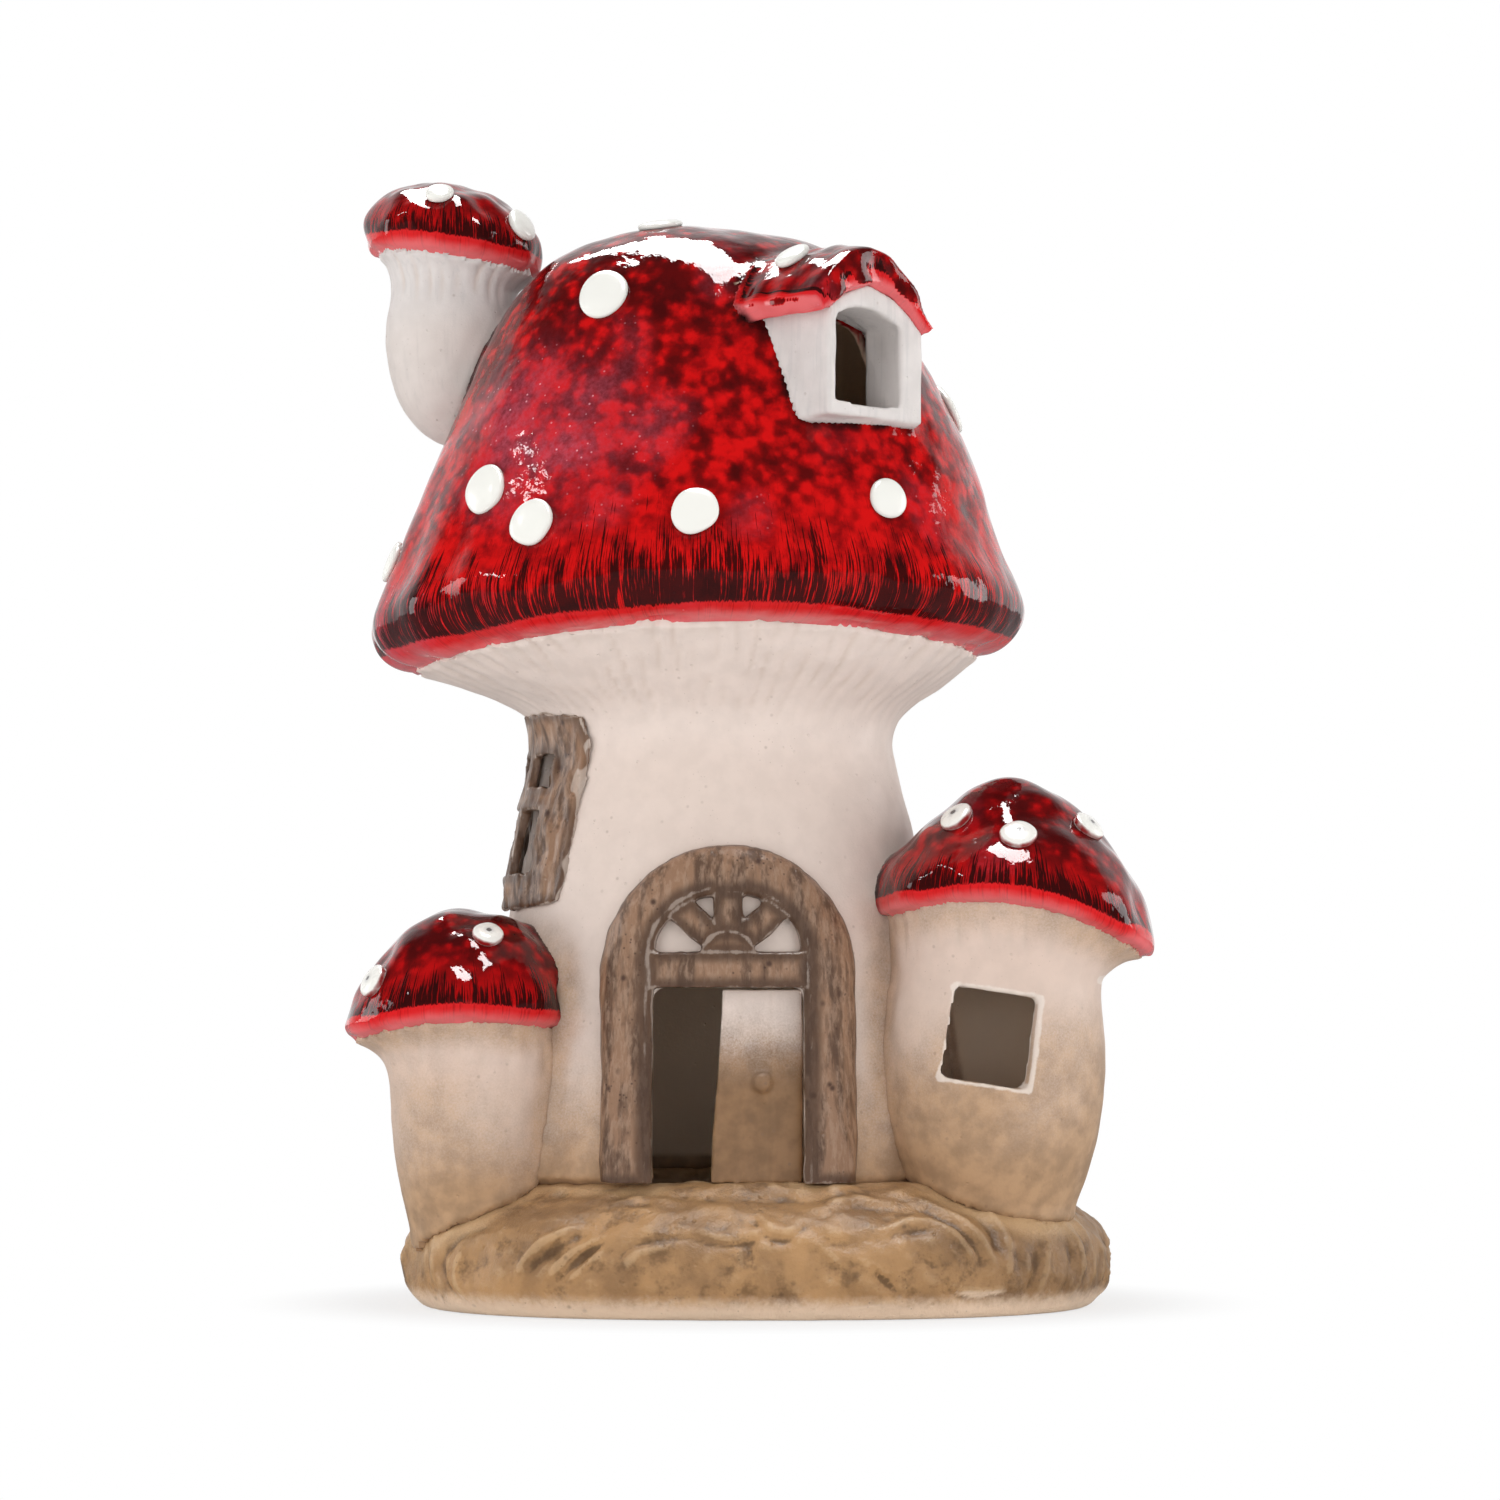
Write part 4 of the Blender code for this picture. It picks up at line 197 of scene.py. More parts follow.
class Sculpture:
    """One piece while it is shaped: each method is a step that a modeller takes by hand."""

    def __init__(self, piece: bpy.types.Object) -> None:
        """Takes over an object.

        Args:
            piece: a mesh object at the origin.
        """
        self.piece = piece

    @classmethod
    def from_node(cls, node: str, name: str) -> "Sculpture":
        """A merged copy of a CAD node.

        Args:
            node: the node's name.
            name: the new piece's name.

        Returns:
            The piece, ready to be shaped.
        """
        deselect()
        piece = bpy.data.objects.new(name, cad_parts[node].data.copy())
        bpy.context.scene.collection.objects.link(piece)
        piece.data.materials.clear()
        made = cls(piece)
        made.focus()
        bpy.ops.object.mode_set(mode="EDIT")
        bpy.ops.mesh.select_all(action="SELECT")
        bpy.ops.mesh.remove_doubles(threshold=MERGE_GAP)
        bpy.ops.mesh.tris_convert_to_quads(face_threshold=FLAT, shape_threshold=SQUARE)
        bpy.ops.object.mode_set(mode="OBJECT")
        return made

    def focus(self) -> None:
        """Makes the piece the only one selected, and the active one."""
        deselect()
        self.piece.select_set(True)
        bpy.context.view_layer.objects.active = self.piece

    def modify(self, kind: str, **settings: object) -> None:
        """Adds a modifier and applies it.

        Args:
            kind: the modifier's type.
            settings: its values.
        """
        self.focus()
        modifier = self.piece.modifiers.new(kind.lower(), kind)
        for key, value in settings.items():
            setattr(modifier, key, value)
        bpy.ops.object.modifier_apply(modifier=modifier.name)

    def crease_sharp(self, angle: float) -> None:
        """Creases each edge sharper than an angle in degrees, so that subdivision keeps it."""
        self.focus()
        bpy.ops.object.mode_set(mode="EDIT")
        bpy.ops.mesh.select_mode(type="EDGE")
        bpy.ops.mesh.select_all(action="DESELECT")
        bpy.ops.mesh.edges_select_sharp(sharpness=math.radians(angle))
        bpy.ops.transform.edge_crease(value=1.0)
        bpy.ops.mesh.select_mode(type="VERT")
        bpy.ops.object.mode_set(mode="OBJECT")

    def cast(self, voxel: float, sharp: float = 38.0, rounds: int = 6) -> None:
        """Turns a faceted solid into a soft casting.

        Args:
            voxel: the fine mesh's step, in millimetres.
            sharp: edges sharper than this, in degrees, stay.
            rounds: how many times the surface is relaxed.
        """
        self.crease_sharp(sharp)
        self.modify("SUBSURF", levels=2, render_levels=2)
        self.modify("REMESH", mode="VOXEL", voxel_size=voxel * MM)
        self.modify("SMOOTH", factor=0.5, iterations=rounds)

    def points(self) -> np.ndarray:
        """The vertices' places in metres, one row each."""
        flat = np.empty(len(self.piece.data.vertices) * 3)
        self.piece.data.vertices.foreach_get("co", flat)
        return flat.reshape(-1, 3)

    def normals(self) -> np.ndarray:
        """The vertices' normals, one row each."""
        flat = np.empty(len(self.piece.data.vertices) * 3)
        self.piece.data.vertices.foreach_get("normal", flat)
        return flat.reshape(-1, 3)

    def place(self, points: np.ndarray) -> None:
        """Moves the vertices to new places in metres."""
        self.piece.data.vertices.foreach_set("co", points.astype(np.float32).ravel())
        self.piece.data.update()

    def push(self, amount: np.ndarray) -> None:
        """Moves each vertex along its normal by an amount in millimetres."""
        self.place(self.points() + self.normals() * (amount * MM)[:, None])

    def distance(self, tree: BVHTree, reach: float) -> tuple[np.ndarray, np.ndarray]:
        """How far each vertex is from a surface.

        Args:
            tree: the surface.
            reach: the farthest that matters, in millimetres.

        Returns:
            The distances in millimetres, and the nearest points in metres.
        """
        places = self.points()
        gaps = np.full(len(places), reach)
        nearest = places.copy()
        for index, place in enumerate(places):
            spot, _, _, gap = tree.find_nearest(place, reach * MM)
            if spot is not None:
                gaps[index] = gap / MM
                nearest[index] = spot
        return gaps, nearest

    def arris_distance(self, node: str, reach: float, angle: float = 42.0) -> np.ndarray:
        """How far each vertex is from the nearest arris of a CAD node.

        Args:
            node: the node's name.
            reach: the farthest that matters, in millimetres.
            angle: edges sharper than this, in degrees, are arrises.

        Returns:
            The distances in millimetres.
        """
        solid = bmesh.new()
        solid.from_mesh(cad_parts[node].data)
        bmesh.ops.remove_doubles(solid, verts=solid.verts, dist=MERGE_GAP)
        stops: list[Vector] = []
        for edge in solid.edges:
            if len(edge.link_faces) == 2 and edge.calc_face_angle() > math.radians(angle):
                start, end = edge.verts
                parts = max(2, math.ceil(edge.calc_length() / (0.3 * MM)))
                stops.extend(start.co.lerp(end.co, part / parts) for part in range(parts + 1))
        solid.free()
        tree = KDTree(len(stops))
        for index, stop in enumerate(stops):
            tree.insert(stop, index)
        tree.balance()
        gaps = np.array([tree.find(place)[2] for place in self.points()])
        return np.minimum(gaps / MM, reach)

    def join_to(
        self,
        *nodes: str,
        reach: float = 4.0,
        lift: float = 0.9,
        sink: float = 0.5,
        seal: float = 1.3,
    ) -> None:
        """Closes the hairline round a neighbour with a small fillet of slip.

        Args:
            nodes: the neighbours.
            reach: how far the fillet runs out, in millimetres.
            lift: how thick it is at the joint.
            sink: how far the facing walls run into the neighbour.
            seal: the widest gap that is closed.
        """
        gaps, nearest = self.distance(surface_of(*nodes), reach)
        places = self.points()
        way = nearest - places
        length = np.maximum(np.linalg.norm(way, axis=1), 1e-9)[:, None]
        facing = np.einsum("ij,ij->i", way / length, self.normals())
        into = (gaps + sink) * MM * ease(gaps, seal, 0.5 * seal) * ease(facing, 0.2, 0.7)
        out = lift * MM * (1.0 - np.clip(gaps / reach, 0.0, 1.0)) ** 2
        out *= ease(facing, 0.9, 0.3) * (gaps < reach)
        self.place(places + way / length * into[:, None] + self.normals() * out[:, None])

    def paint(self, name: str, values: np.ndarray) -> None:
        """Keeps a value at each vertex for the finish to read.

        Args:
            name: the attribute's name.
            values: one number, or one row of three, for each vertex.
        """
        kind, part = ("FLOAT", "value") if values.ndim == 1 else ("FLOAT_VECTOR", "vector")
        layer = self.piece.data.attributes.new(name, kind, "POINT")
        layer.data.foreach_set(part, values.astype(np.float32).ravel())

    def hollow_side(self, centre: Vector) -> np.ndarray:
        """0 to 1 for each vertex, 1 on walls that face an upright axis through a centre."""
        way = self.points() - np.array(centre)
        way[:, 2] = 0.0
        way /= np.maximum(np.linalg.norm(way, axis=1), 1e-9)[:, None]
        return ease(-np.einsum("ij,ij->i", way, self.normals()), 0.15, 0.45)

    def relief(self, rounds: int = 14) -> np.ndarray:
        """How far each vertex stands above the surface round it, in millimetres."""
        before = self.points()
        outward = self.normals()
        twin = Sculpture(self.piece.copy())
        twin.piece.data = self.piece.data.copy()
        bpy.context.scene.collection.objects.link(twin.piece)
        twin.modify("SMOOTH", factor=0.5, iterations=rounds)
        gap = np.einsum("ij,ij->i", before - twin.points(), outward) / MM
        bpy.data.meshes.remove(twin.piece.data)
        return gap

    def finish(
        self, body: str, slot: str, finish: "Finish", *nodes: str, angle: float = 60.0
    ) -> bpy.types.Object:
        """Gives the piece its finish, its body and the nodes it stands for.

        Args:
            body: the body it rides on.
            slot: the record's material slot; not used.
            finish: its material.
            nodes: the CAD nodes that it replaces.
            angle: edges sharper than this, in degrees, stay sharp.

        Returns:
            The finished piece.
        """
        self.focus()
        bpy.ops.object.shade_smooth_by_angle(angle=math.radians(angle))
        self.piece.data.materials.clear()
        self.piece.data.materials.append(finish.material())
        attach(self.piece, body)
        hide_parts(*nodes)
        faces = len(self.piece.data.polygons)
        log.info("%s: %d faces, for %s", self.piece.name, faces, ", ".join(nodes))
        return self.piece


class Bench:
    """A node tree on the bench: a material's own, or a shared effect's."""

    def __init__(self, tree: bpy.types.NodeTree) -> None:
        """Takes up a tree.

        Args:
            tree: the tree that is wired.
        """
        self.tree = tree

    def add(self, kind: str, **settings: object) -> bpy.types.Node:
        """Adds a node.

        Args:
            kind: its type, without the words ShaderNode.
            settings: its properties.

        Returns:
            The node.
        """
        node = self.tree.nodes.new("ShaderNode" + kind)
        for key, value in settings.items():
            setattr(node, key, value)
        return node

    def feed(self, socket: Socket, value: Wire) -> None:
        """Links a socket to another, or sets it.

        Args:
            socket: an input.
            value: an output, a number or a colour.
        """
        if isinstance(value, Socket):
            self.tree.links.new(value, socket)
        else:
            socket.default_value = value

    def math(self, operation: str, *values: Wire) -> Socket:
        """A sum, product or other operation on numbers."""
        node = self.add("Math", operation=operation)
        for socket, value in zip(node.inputs, values):
            self.feed(socket, value)
        return node.outputs[0]

    def times(self, value: Wire, other: Wire) -> Socket:
        """The product of two numbers."""
        return self.math("MULTIPLY", value, other)

    def plus(self, value: Wire, other: Wire) -> Socket:
        """The sum of two numbers."""
        return self.math("ADD", value, other)

    def less(self, value: Wire, other: Wire) -> Socket:
        """The first number less the second."""
        return self.math("SUBTRACT", value, other)

    def linear(self, value: Wire, slope: Wire, start: Wire) -> Socket:
        """A number times a slope, and then a start added."""
        return self.math("MULTIPLY_ADD", value, slope, start)

    def step(self, value: Wire, low: Wire, high: Wire) -> Socket:
        """A soft step of a number from 0 at low to 1 at high."""
        node = self.add("MapRange", interpolation_type="SMOOTHSTEP")
        for socket, given in zip(node.inputs, (value, low, high)):
            self.feed(socket, given)
        return node.outputs[0]

    def mix(self, mask: Wire, under: Wire, over: Wire) -> Socket:
        """One colour laid over another through a mask."""
        node = self.add("Mix", data_type="RGBA")
        for spot, given in ((0, mask), (6, under), (7, over)):
            self.feed(node.inputs[spot], given)
        return node.outputs[2]

    def lay(self, under: Wire, paint: Paint, mask: Wire, strength: Wire | None = None) -> Socket:
        """Lays a paint over a colour where a mask says, at a strength."""
        if strength is not None:
            mask = self.times(mask, strength)
        return self.mix(mask, under, paint.rgba)

    def place(self) -> Socket:
        """The surface's own coordinates, in millimetres."""
        where = self.add("TexCoord").outputs["Object"]
        node = self.add("VectorMath", operation="SCALE")
        self.feed(node.inputs[0], where)
        self.feed(node.inputs["Scale"], 1.0 / MM)
        return node.outputs[0]

    def painted(self, name: str, part: str = "Fac") -> Socket:
        """A value that was kept on the vertices."""
        return self.add("Attribute", attribute_name=name).outputs[part]

    def noise(self, where: Wire, size: float, detail: float = 3.0, rough: float = 0.55) -> Socket:
        """Cloudy noise with features of a size in millimetres."""
        node = self.add("TexNoise")
        values = {"Vector": where, "Scale": 1.0 / size, "Detail": detail, "Roughness": rough}
        for name, given in values.items():
            self.feed(node.inputs[name], given)
        return node.outputs[0]

    def cells(self, where: Wire, size: float, soft: bool = False) -> Socket:
        """The distance to scattered points a size in millimetres apart."""
        node = self.add("TexVoronoi", feature="SMOOTH_F1" if soft else "F1")
        self.feed(node.inputs["Vector"], where)
        self.feed(node.inputs["Scale"], 1.0 / size)
        return node.outputs["Distance"]

    def stretch(self, where: Wire, across: float, along: float) -> Socket:
        """Brush coordinates drawn out, so that noise in them makes strokes."""
        node = self.add("Mapping")
        self.feed(node.inputs["Vector"], where)
        node.inputs["Scale"].default_value = (1.0 / across, 1.0 / along, 1.0)
        return node.outputs[0]

    def effect(self, group: bpy.types.NodeTree, **values: Wire) -> dict[str, Socket]:
        """Places a shared effect.

        Args:
            group: the effect's node group.
            values: its inputs by name.

        Returns:
            Its outputs by name.
        """
        node = self.add("Group", node_tree=group)
        for name, value in values.items():
            self.feed(node.inputs[name], value)
        return {socket.name: socket for socket in node.outputs}

    def bumps(self, *layers: tuple[Wire, float]) -> Socket:
        """Relief in layers, each a height of 0 to 1 and its depth in millimetres."""
        normal: Wire | None = None
        for height, depth in layers:
            node = self.add("Bump")
            node.inputs["Strength"].default_value = 1.0
            node.inputs["Distance"].default_value = depth * MM
            self.feed(node.inputs["Height"], height)
            if normal is not None:
                self.feed(node.inputs["Normal"], normal)
            normal = node.outputs[0]
        return normal


class Effects:
    """The shared effects: each is a node group that is built once."""

    built: dict[str, bpy.types.NodeTree] = {}

    @classmethod
    def start(
        cls, name: str, inputs: dict[str, object], outputs: list[str]
    ) -> tuple[Bench, dict, dict]:
        """Opens a new group.

        Args:
            name: the group's name.
            inputs: each input's name with its starting value, or None for a vector.
            outputs: the outputs' names, all numbers.

        Returns:
            The bench, the inputs' sockets inside the group and the outputs' sockets inside it.
        """
        tree = bpy.data.node_groups.new(name, "ShaderNodeTree")
        for key, value in inputs.items():
            kind = "NodeSocketVector" if value is None else "NodeSocketFloat"
            socket = tree.interface.new_socket(key, in_out="INPUT", socket_type=kind)
            if value is not None:
                socket.default_value = value
        for key in outputs:
            tree.interface.new_socket(key, in_out="OUTPUT", socket_type="NodeSocketFloat")
        came = tree.nodes.new("NodeGroupInput").outputs
        goes = tree.nodes.new("NodeGroupOutput").inputs
        cls.built[name] = tree
        return Bench(tree), {key: came[key] for key in inputs}, {key: goes[key] for key in outputs}

    @classmethod
    def clay_grain(cls) -> bpy.types.NodeTree:
        """The tooth of fired clay: fine grain, soft lumps and a few pits."""
        name = "clay_grain"
        if name not in cls.built:
            bench, given, out = cls.start(name, {"Place": None, "Pits": 0.12}, ["Height", "Cloud"])
            fine = bench.noise(given["Place"], 0.55, 4.0, 0.6)
            lumps = bench.noise(given["Place"], 5.0, 3.0)
            pit = bench.step(bench.cells(given["Place"], 4.5), given["Pits"], 0.02)
            height = bench.linear(fine, 0.35, bench.times(lumps, 0.65))
            bench.feed(out["Height"], bench.less(height, pit))
            bench.feed(out["Cloud"], bench.step(lumps, 0.3, 0.7))
        return cls.built[name]

    @classmethod
    def spatter(cls) -> bpy.types.NodeTree:
        """Fine dots of paint, thinly scattered."""
        name = "paint_spatter"
        if name not in cls.built:
            bench, given, out = cls.start(name, {"Place": None, "Reach": 0.16}, ["Mask"])
            small = bench.step(bench.cells(given["Place"], 1.5), given["Reach"], 0.04)
            large = bench.step(bench.cells(given["Place"], 4.2), given["Reach"], 0.05)
            where = bench.step(bench.noise(given["Place"], 9.0, 2.0), 0.42, 0.62)
            both = bench.math("MAXIMUM", small, large)
            bench.feed(out["Mask"], bench.times(both, where))
        return cls.built[name]

    @classmethod
    def brush_streaks(cls) -> bpy.types.NodeTree:
        """Dry bristle strokes down a rim, dense at Foot and gone at High."""
        name = "brush_streaks"
        if name not in cls.built:
            sizes = {"Brush": None, "Rise": 0.0, "Foot": 3.0, "High": 34.0}
            bench, given, out = cls.start(name, sizes, ["Mask", "Bristle"])
            wide = bench.noise(bench.stretch(given["Brush"], 2.2, 22.0), 1.0, 2.0, 0.5)
            fine = bench.noise(bench.stretch(given["Brush"], 0.46, 8.0), 1.0, 3.0, 0.6)
            lay = bench.noise(bench.stretch(given["Brush"], 13.0, 30.0), 1.0, 2.0)
            bristle = bench.linear(wide, 0.32, bench.times(fine, 0.68))
            climb = bench.step(given["Rise"], bench.less(given["Foot"], 1.0), given["High"])
            level = bench.linear(bench.math("POWER", climb, 0.7), 0.31, 0.495)
            level = bench.linear(lay, -0.26, level)
            stroke = bench.step(bristle, level, bench.plus(level, 0.075))
            gone = bench.step(climb, 1.0, 0.7)
            foot_line = bench.linear(fine, 2.2, bench.less(given["Foot"], 1.1))
            foot = bench.step(given["Rise"], bench.less(foot_line, 0.3), foot_line)
            mask = bench.times(bench.times(stroke, gone), foot)
            bench.feed(out["Mask"], mask)
            bench.feed(out["Bristle"], bristle)
        return cls.built[name]

    @classmethod
    def sponge(cls) -> bpy.types.NodeTree:
        """Rounded blots of a darker glaze, dabbed over each other."""
        name = "sponge_blots"
        if name not in cls.built:
            bench, given, out = cls.start(name, {"Place": None, "Cover": 0.5}, ["Mask", "Deep"])
            warp = bench.add("VectorMath", operation="ADD")
            cloud = bench.add("TexNoise")
            bench.feed(cloud.inputs["Vector"], given["Place"])
            cloud.inputs["Scale"].default_value = 0.3
            bench.feed(warp.inputs[0], given["Place"])
            bench.feed(warp.inputs[1], cloud.outputs["Color"])
            blots = bench.cells(warp.outputs[0], 2.9, soft=True)
            cover = bench.noise(given["Place"], 8.0, 4.0, 0.6)
            level = bench.linear(blots, 0.5, bench.times(cover, 0.8))
            low = bench.less(1.1, given["Cover"])
            bench.feed(out["Mask"], bench.step(level, bench.less(low, 0.10), bench.plus(low, 0.09)))
            bench.feed(out["Deep"], bench.step(level, bench.plus(low, 0.02), bench.plus(low, 0.2)))
        return cls.built[name]

    @classmethod
    def airbrush(cls) -> bpy.types.NodeTree:
        """A sprayed edge: a soft amount broken up into fine dots."""
        name = "airbrush"
        if name not in cls.built:
            bench, given, out = cls.start(name, {"Place": None, "Amount": 0.0}, ["Mask"])
            dots = bench.noise(given["Place"], 0.45, 2.0, 0.7)
            drift = bench.noise(given["Place"], 11.0, 3.0)
            grainy = bench.linear(dots, 0.7, bench.linear(drift, 0.5, -0.6))
            edge = bench.times(bench.less(1.0, given["Amount"]), given["Amount"])
            loose = bench.times(bench.times(grainy, edge), 3.2)
            bench.feed(out["Mask"], bench.step(bench.plus(given["Amount"], loose), 0.0, 1.0))
        return cls.built[name]


@dataclass(frozen=True)
class Finish:
    """A surface finish.

    Attributes:
        name: the material's name.
    """

    name: str

    def material(self) -> bpy.types.Material:
        """The finish as a material, made the first time it is asked for."""
        known = bpy.data.materials.get(self.name)
        if known is not None:
            return known
        made = bpy.data.materials.new(self.name)
        made.use_nodes = True
        bench = Bench(made.node_tree)
        self.wire(bench, made.node_tree.nodes["Principled BSDF"])
        return made

    def wire(self, bench: Bench, shader: bpy.types.Node) -> None:
        """Wires the finish into its shader.

        Args:
            bench: the material's tree.
            shader: its Principled BSDF.
        """
        raise NotImplementedError


@dataclass(frozen=True)
class RedGlaze(Finish):
    """Glossy red glaze: sponged above, streaked towards the rim, with a scarlet lip; a pink sheen,
    glints and shade are painted in.

    Attributes:
        edge: where the lip, the dark band and the strokes end.
        cover: how much of the top is blotted dark, from 0 to 1.
        dusk: how deep the red between the blots is, from 0 to 1.
    """

    edge: Edge = Edge.MAIN
    cover: float = 0.5
    dusk: float = 0.2

    def wire(self, bench: Bench, shader: bpy.types.Node) -> None:
        """Wires the glaze into its shader."""
        place = bench.place()
        rise = bench.painted("rise")
        lip, top = self.edge.value
        cover = bench.linear(bench.step(rise, 1.1 * top, 1.9 * top), 0.1, self.cover)
        sponge = bench.effect(Effects.sponge(), Place=place, Cover=cover)
        brush = bench.painted("brush", "Vector")
        streaks = bench.effect(Effects.brush_streaks(), Brush=brush, Rise=rise, Foot=lip, High=top)
        cloud = bench.noise(place, 6.0, 4.0, 0.6)
        deeper = bench.linear(bench.step(cloud, 0.42, 0.66), 1.0 - self.dusk, self.dusk)
        red = bench.mix(deeper, Paint.SCARLET.rgba, Paint.CRIMSON.rgba)
        above = bench.step(rise, top * 0.25, top * 0.8)
        blots = bench.times(sponge["Mask"], above)
        red = bench.lay(red, Paint.MAROON, blots, 0.72)
        deep = bench.times(sponge["Deep"], above)
        red = bench.lay(red, Paint.NEAR_BLACK, deep, 0.6)
        lip_mask = bench.step(rise, lip + 0.8, lip - 0.6)
        red = bench.lay(red, Paint.LIP, lip_mask)
        bristle = bench.step(streaks["Bristle"], 0.5, 0.62)
        worn_lip = bench.times(bristle, bench.times(lip_mask, 0.5))
        red = bench.lay(red, Paint.CRIMSON, worn_lip)
        # Painted sheen: the lip is lightened to pink where it would catch the light.
        lip_sheen = bench.step(bench.linear(cloud, 2.4, rise), 1.05 * lip, 0.3 * lip)
        red = bench.lay(red, Paint.BLUSH, lip_sheen, 0.55)
        # A faint milky bloom all round, and on the main cap's left flank and lip a pink sheen
        # painted in.
        sheen_and_bloom = bench.painted("haze_and_sheen")
        haze_grain = bench.step(bench.noise(place, 1.3, 3.0, 0.7), 0.25, 0.8)
        haze_and_sheen = bench.times(sheen_and_bloom, bench.linear(haze_grain, 0.6, 0.3))
        red = bench.lay(red, Paint.PINK, haze_and_sheen)
        # Painted glints: tiny pale dots in the pink.
        glint = bench.times(bench.step(bench.cells(place, 2.3), 0.15, 0.05), sheen_and_bloom)
        red = bench.lay(red, Paint.SPARKLE, glint)
        red = bench.lay(red, Paint.NEAR_BLACK, streaks["Mask"], 0.94)
        # Painted shade: dark in the joins round what stands on the cap, and a painted shadow round
        # each dot.
        line = bench.times(bench.painted("join_and_dot_shade"), bench.step(cloud, 0.25, 0.6))
        red = bench.lay(red, Paint.NEAR_BLACK, line)
        inside = bench.painted("inside")
        bench.feed(shader.inputs["Base Color"], bench.mix(inside, red, Paint.RAW_CLAY.rgba))
        wear = bench.linear(bench.noise(place, 3.0, 3.0), 0.16, 0.3)
        bench.feed(shader.inputs["Roughness"], bench.linear(inside, 0.4, wear))
        bench.feed(shader.inputs["Coat Weight"], bench.less(1.0, inside))
        shader.inputs["Specular IOR Level"].default_value = 0.0
        shader.inputs["Coat Roughness"].default_value = 0.05
        shader.inputs["Coat IOR"].default_value = 1.32
        ripple = bench.noise(place, 7.0, 2.0, 0.4)
        ragged = bench.noise(place, 2.2, 2.0, 0.5)
        grain = bench.noise(place, 1.2, 3.0, 0.6)
        bump = bench.bumps((ripple, 0.4), (streaks["Bristle"], 0.06), (grain, 0.03))
        bench.feed(shader.inputs["Normal"], bump)
        coat = bench.bumps((ripple, 0.35), (ragged, 0.09), (grain, 0.012))
        bench.feed(shader.inputs["Coat Normal"], coat)


@dataclass(frozen=True)
class WhiteSlip(Finish):
    """A dab of thick white glaze.

    Attributes:
        pinhole: whether the dab was pricked in its middle.
    """

    pinhole: bool = False

    def wire(self, bench: Bench, shader: bpy.types.Node) -> None:
        """Wires the slip into its shader."""
        place = bench.place()
        middle = bench.painted("middle")
        cloud = bench.noise(place, 2.4, 3.0)
        shade = bench.times(bench.step(middle, 0.9, 0.1), bench.step(cloud, 0.35, 0.7))
        colour = bench.mix(bench.times(shade, 0.35), Paint.SLIP.rgba, Paint.SLIP_SHADE.rgba)
        if self.pinhole:
            ring = bench.linear(cloud, 0.3, middle)
            smear = bench.times(bench.step(ring, 0.62, 0.3), 0.45)
            colour = bench.lay(colour, Paint.GREY_CLAY, smear)
            colour = bench.lay(colour, Paint.PRICK, bench.step(ring, 0.34, 0.26))
        rim = bench.step(bench.linear(cloud, 0.16, middle), 0.99, 1.1)
        colour = bench.lay(colour, Paint.CRIMSON, rim)
        bench.feed(shader.inputs["Base Color"], colour)
        bench.feed(shader.inputs["Roughness"], bench.linear(cloud, 0.16, 0.2))
        shader.inputs["Coat Weight"].default_value = 0.5
        shader.inputs["Coat Roughness"].default_value = 0.08
        bench.feed(shader.inputs["Normal"], bench.bumps((bench.noise(place, 1.6, 2.0), 0.1)))


@dataclass(frozen=True)
class SprayedClay(Finish):
    """Pale painted clay, sprayed tan towards the ground.

    Attributes:
        base: the clay's colour.
        specks: how much dark speckle shows, from 0 to 1.
        drips: how much the paint ran in upright streaks, from 0 to 1.
        spray: the tan that is sprayed on near the ground.
    """

    base: Paint = Paint.CREAM
    specks: float = 0.55
    drips: float = 0.0
    spray: Paint = Paint.TAN

    def wire(self, bench: Bench, shader: bpy.types.Node) -> None:
        """Wires the painted clay into its shader."""
        place = bench.place()
        grain = bench.effect(Effects.clay_grain(), Place=place, Pits=0.09)
        spatter = bench.effect(Effects.spatter(), Place=place, Reach=0.13)
        spray = bench.effect(Effects.airbrush(), Place=place, Amount=bench.painted("tan"))
        dusk = tuple(0.93 * part for part in self.base.value) + (1.0,)
        colour = bench.mix(grain["Cloud"], self.base.rgba, dusk)
        drawn = bench.add("Mapping")
        bench.feed(drawn.inputs["Vector"], place)
        drawn.inputs["Scale"].default_value = (1.0, 1.0, 0.07)
        run = bench.step(bench.noise(drawn.outputs[0], 1.5, 3.0), 0.5, 0.72)
        colour = bench.lay(colour, Paint.GREY_CLAY, run, self.drips)
        # Painted shade: darker in the scored grooves and down the stalk's shaft.
        painted_shade = bench.times(bench.painted("painted_shade"), 0.4)
        colour = bench.lay(colour, Paint.CREAM_SHADE, painted_shade)
        shade = tuple(0.7 * part for part in self.spray.value) + (1.0,)
        tan = bench.mix(grain["Cloud"], self.spray.rgba, shade)
        colour = bench.mix(spray["Mask"], colour, tan)
        dots = bench.times(spatter["Mask"], self.specks)
        colour = bench.lay(colour, Paint.SPECK, dots)
        # Painted shade in the crease where a wall meets its neighbours.
        painted_crease_shade = bench.times(bench.painted("painted_crease_shade"), 0.3)
        colour = bench.lay(colour, Paint.STRAW_DARK, painted_crease_shade)
        # Painted highlight: a pale line along the openings' outer arrises, where a lit bevel would
        # catch the light.
        lit_edge = bench.linear(bench.noise(place, 2.0, 3.0), 0.8, bench.painted("worn"))
        colour = bench.lay(colour, Paint.WORN, bench.step(lit_edge, 0.8, 1.2), 0.6)
        inside = bench.painted("inside")
        bench.feed(shader.inputs["Base Color"], bench.mix(inside, colour, Paint.RAW_CLAY.rgba))
        bench.feed(shader.inputs["Roughness"], bench.linear(grain["Cloud"], 0.14, 0.44))
        shader.inputs["Specular IOR Level"].default_value = 0.35
        shader.inputs["Sheen Weight"].default_value = 0.05
        bench.feed(shader.inputs["Normal"], bench.bumps((grain["Height"], 0.14)))


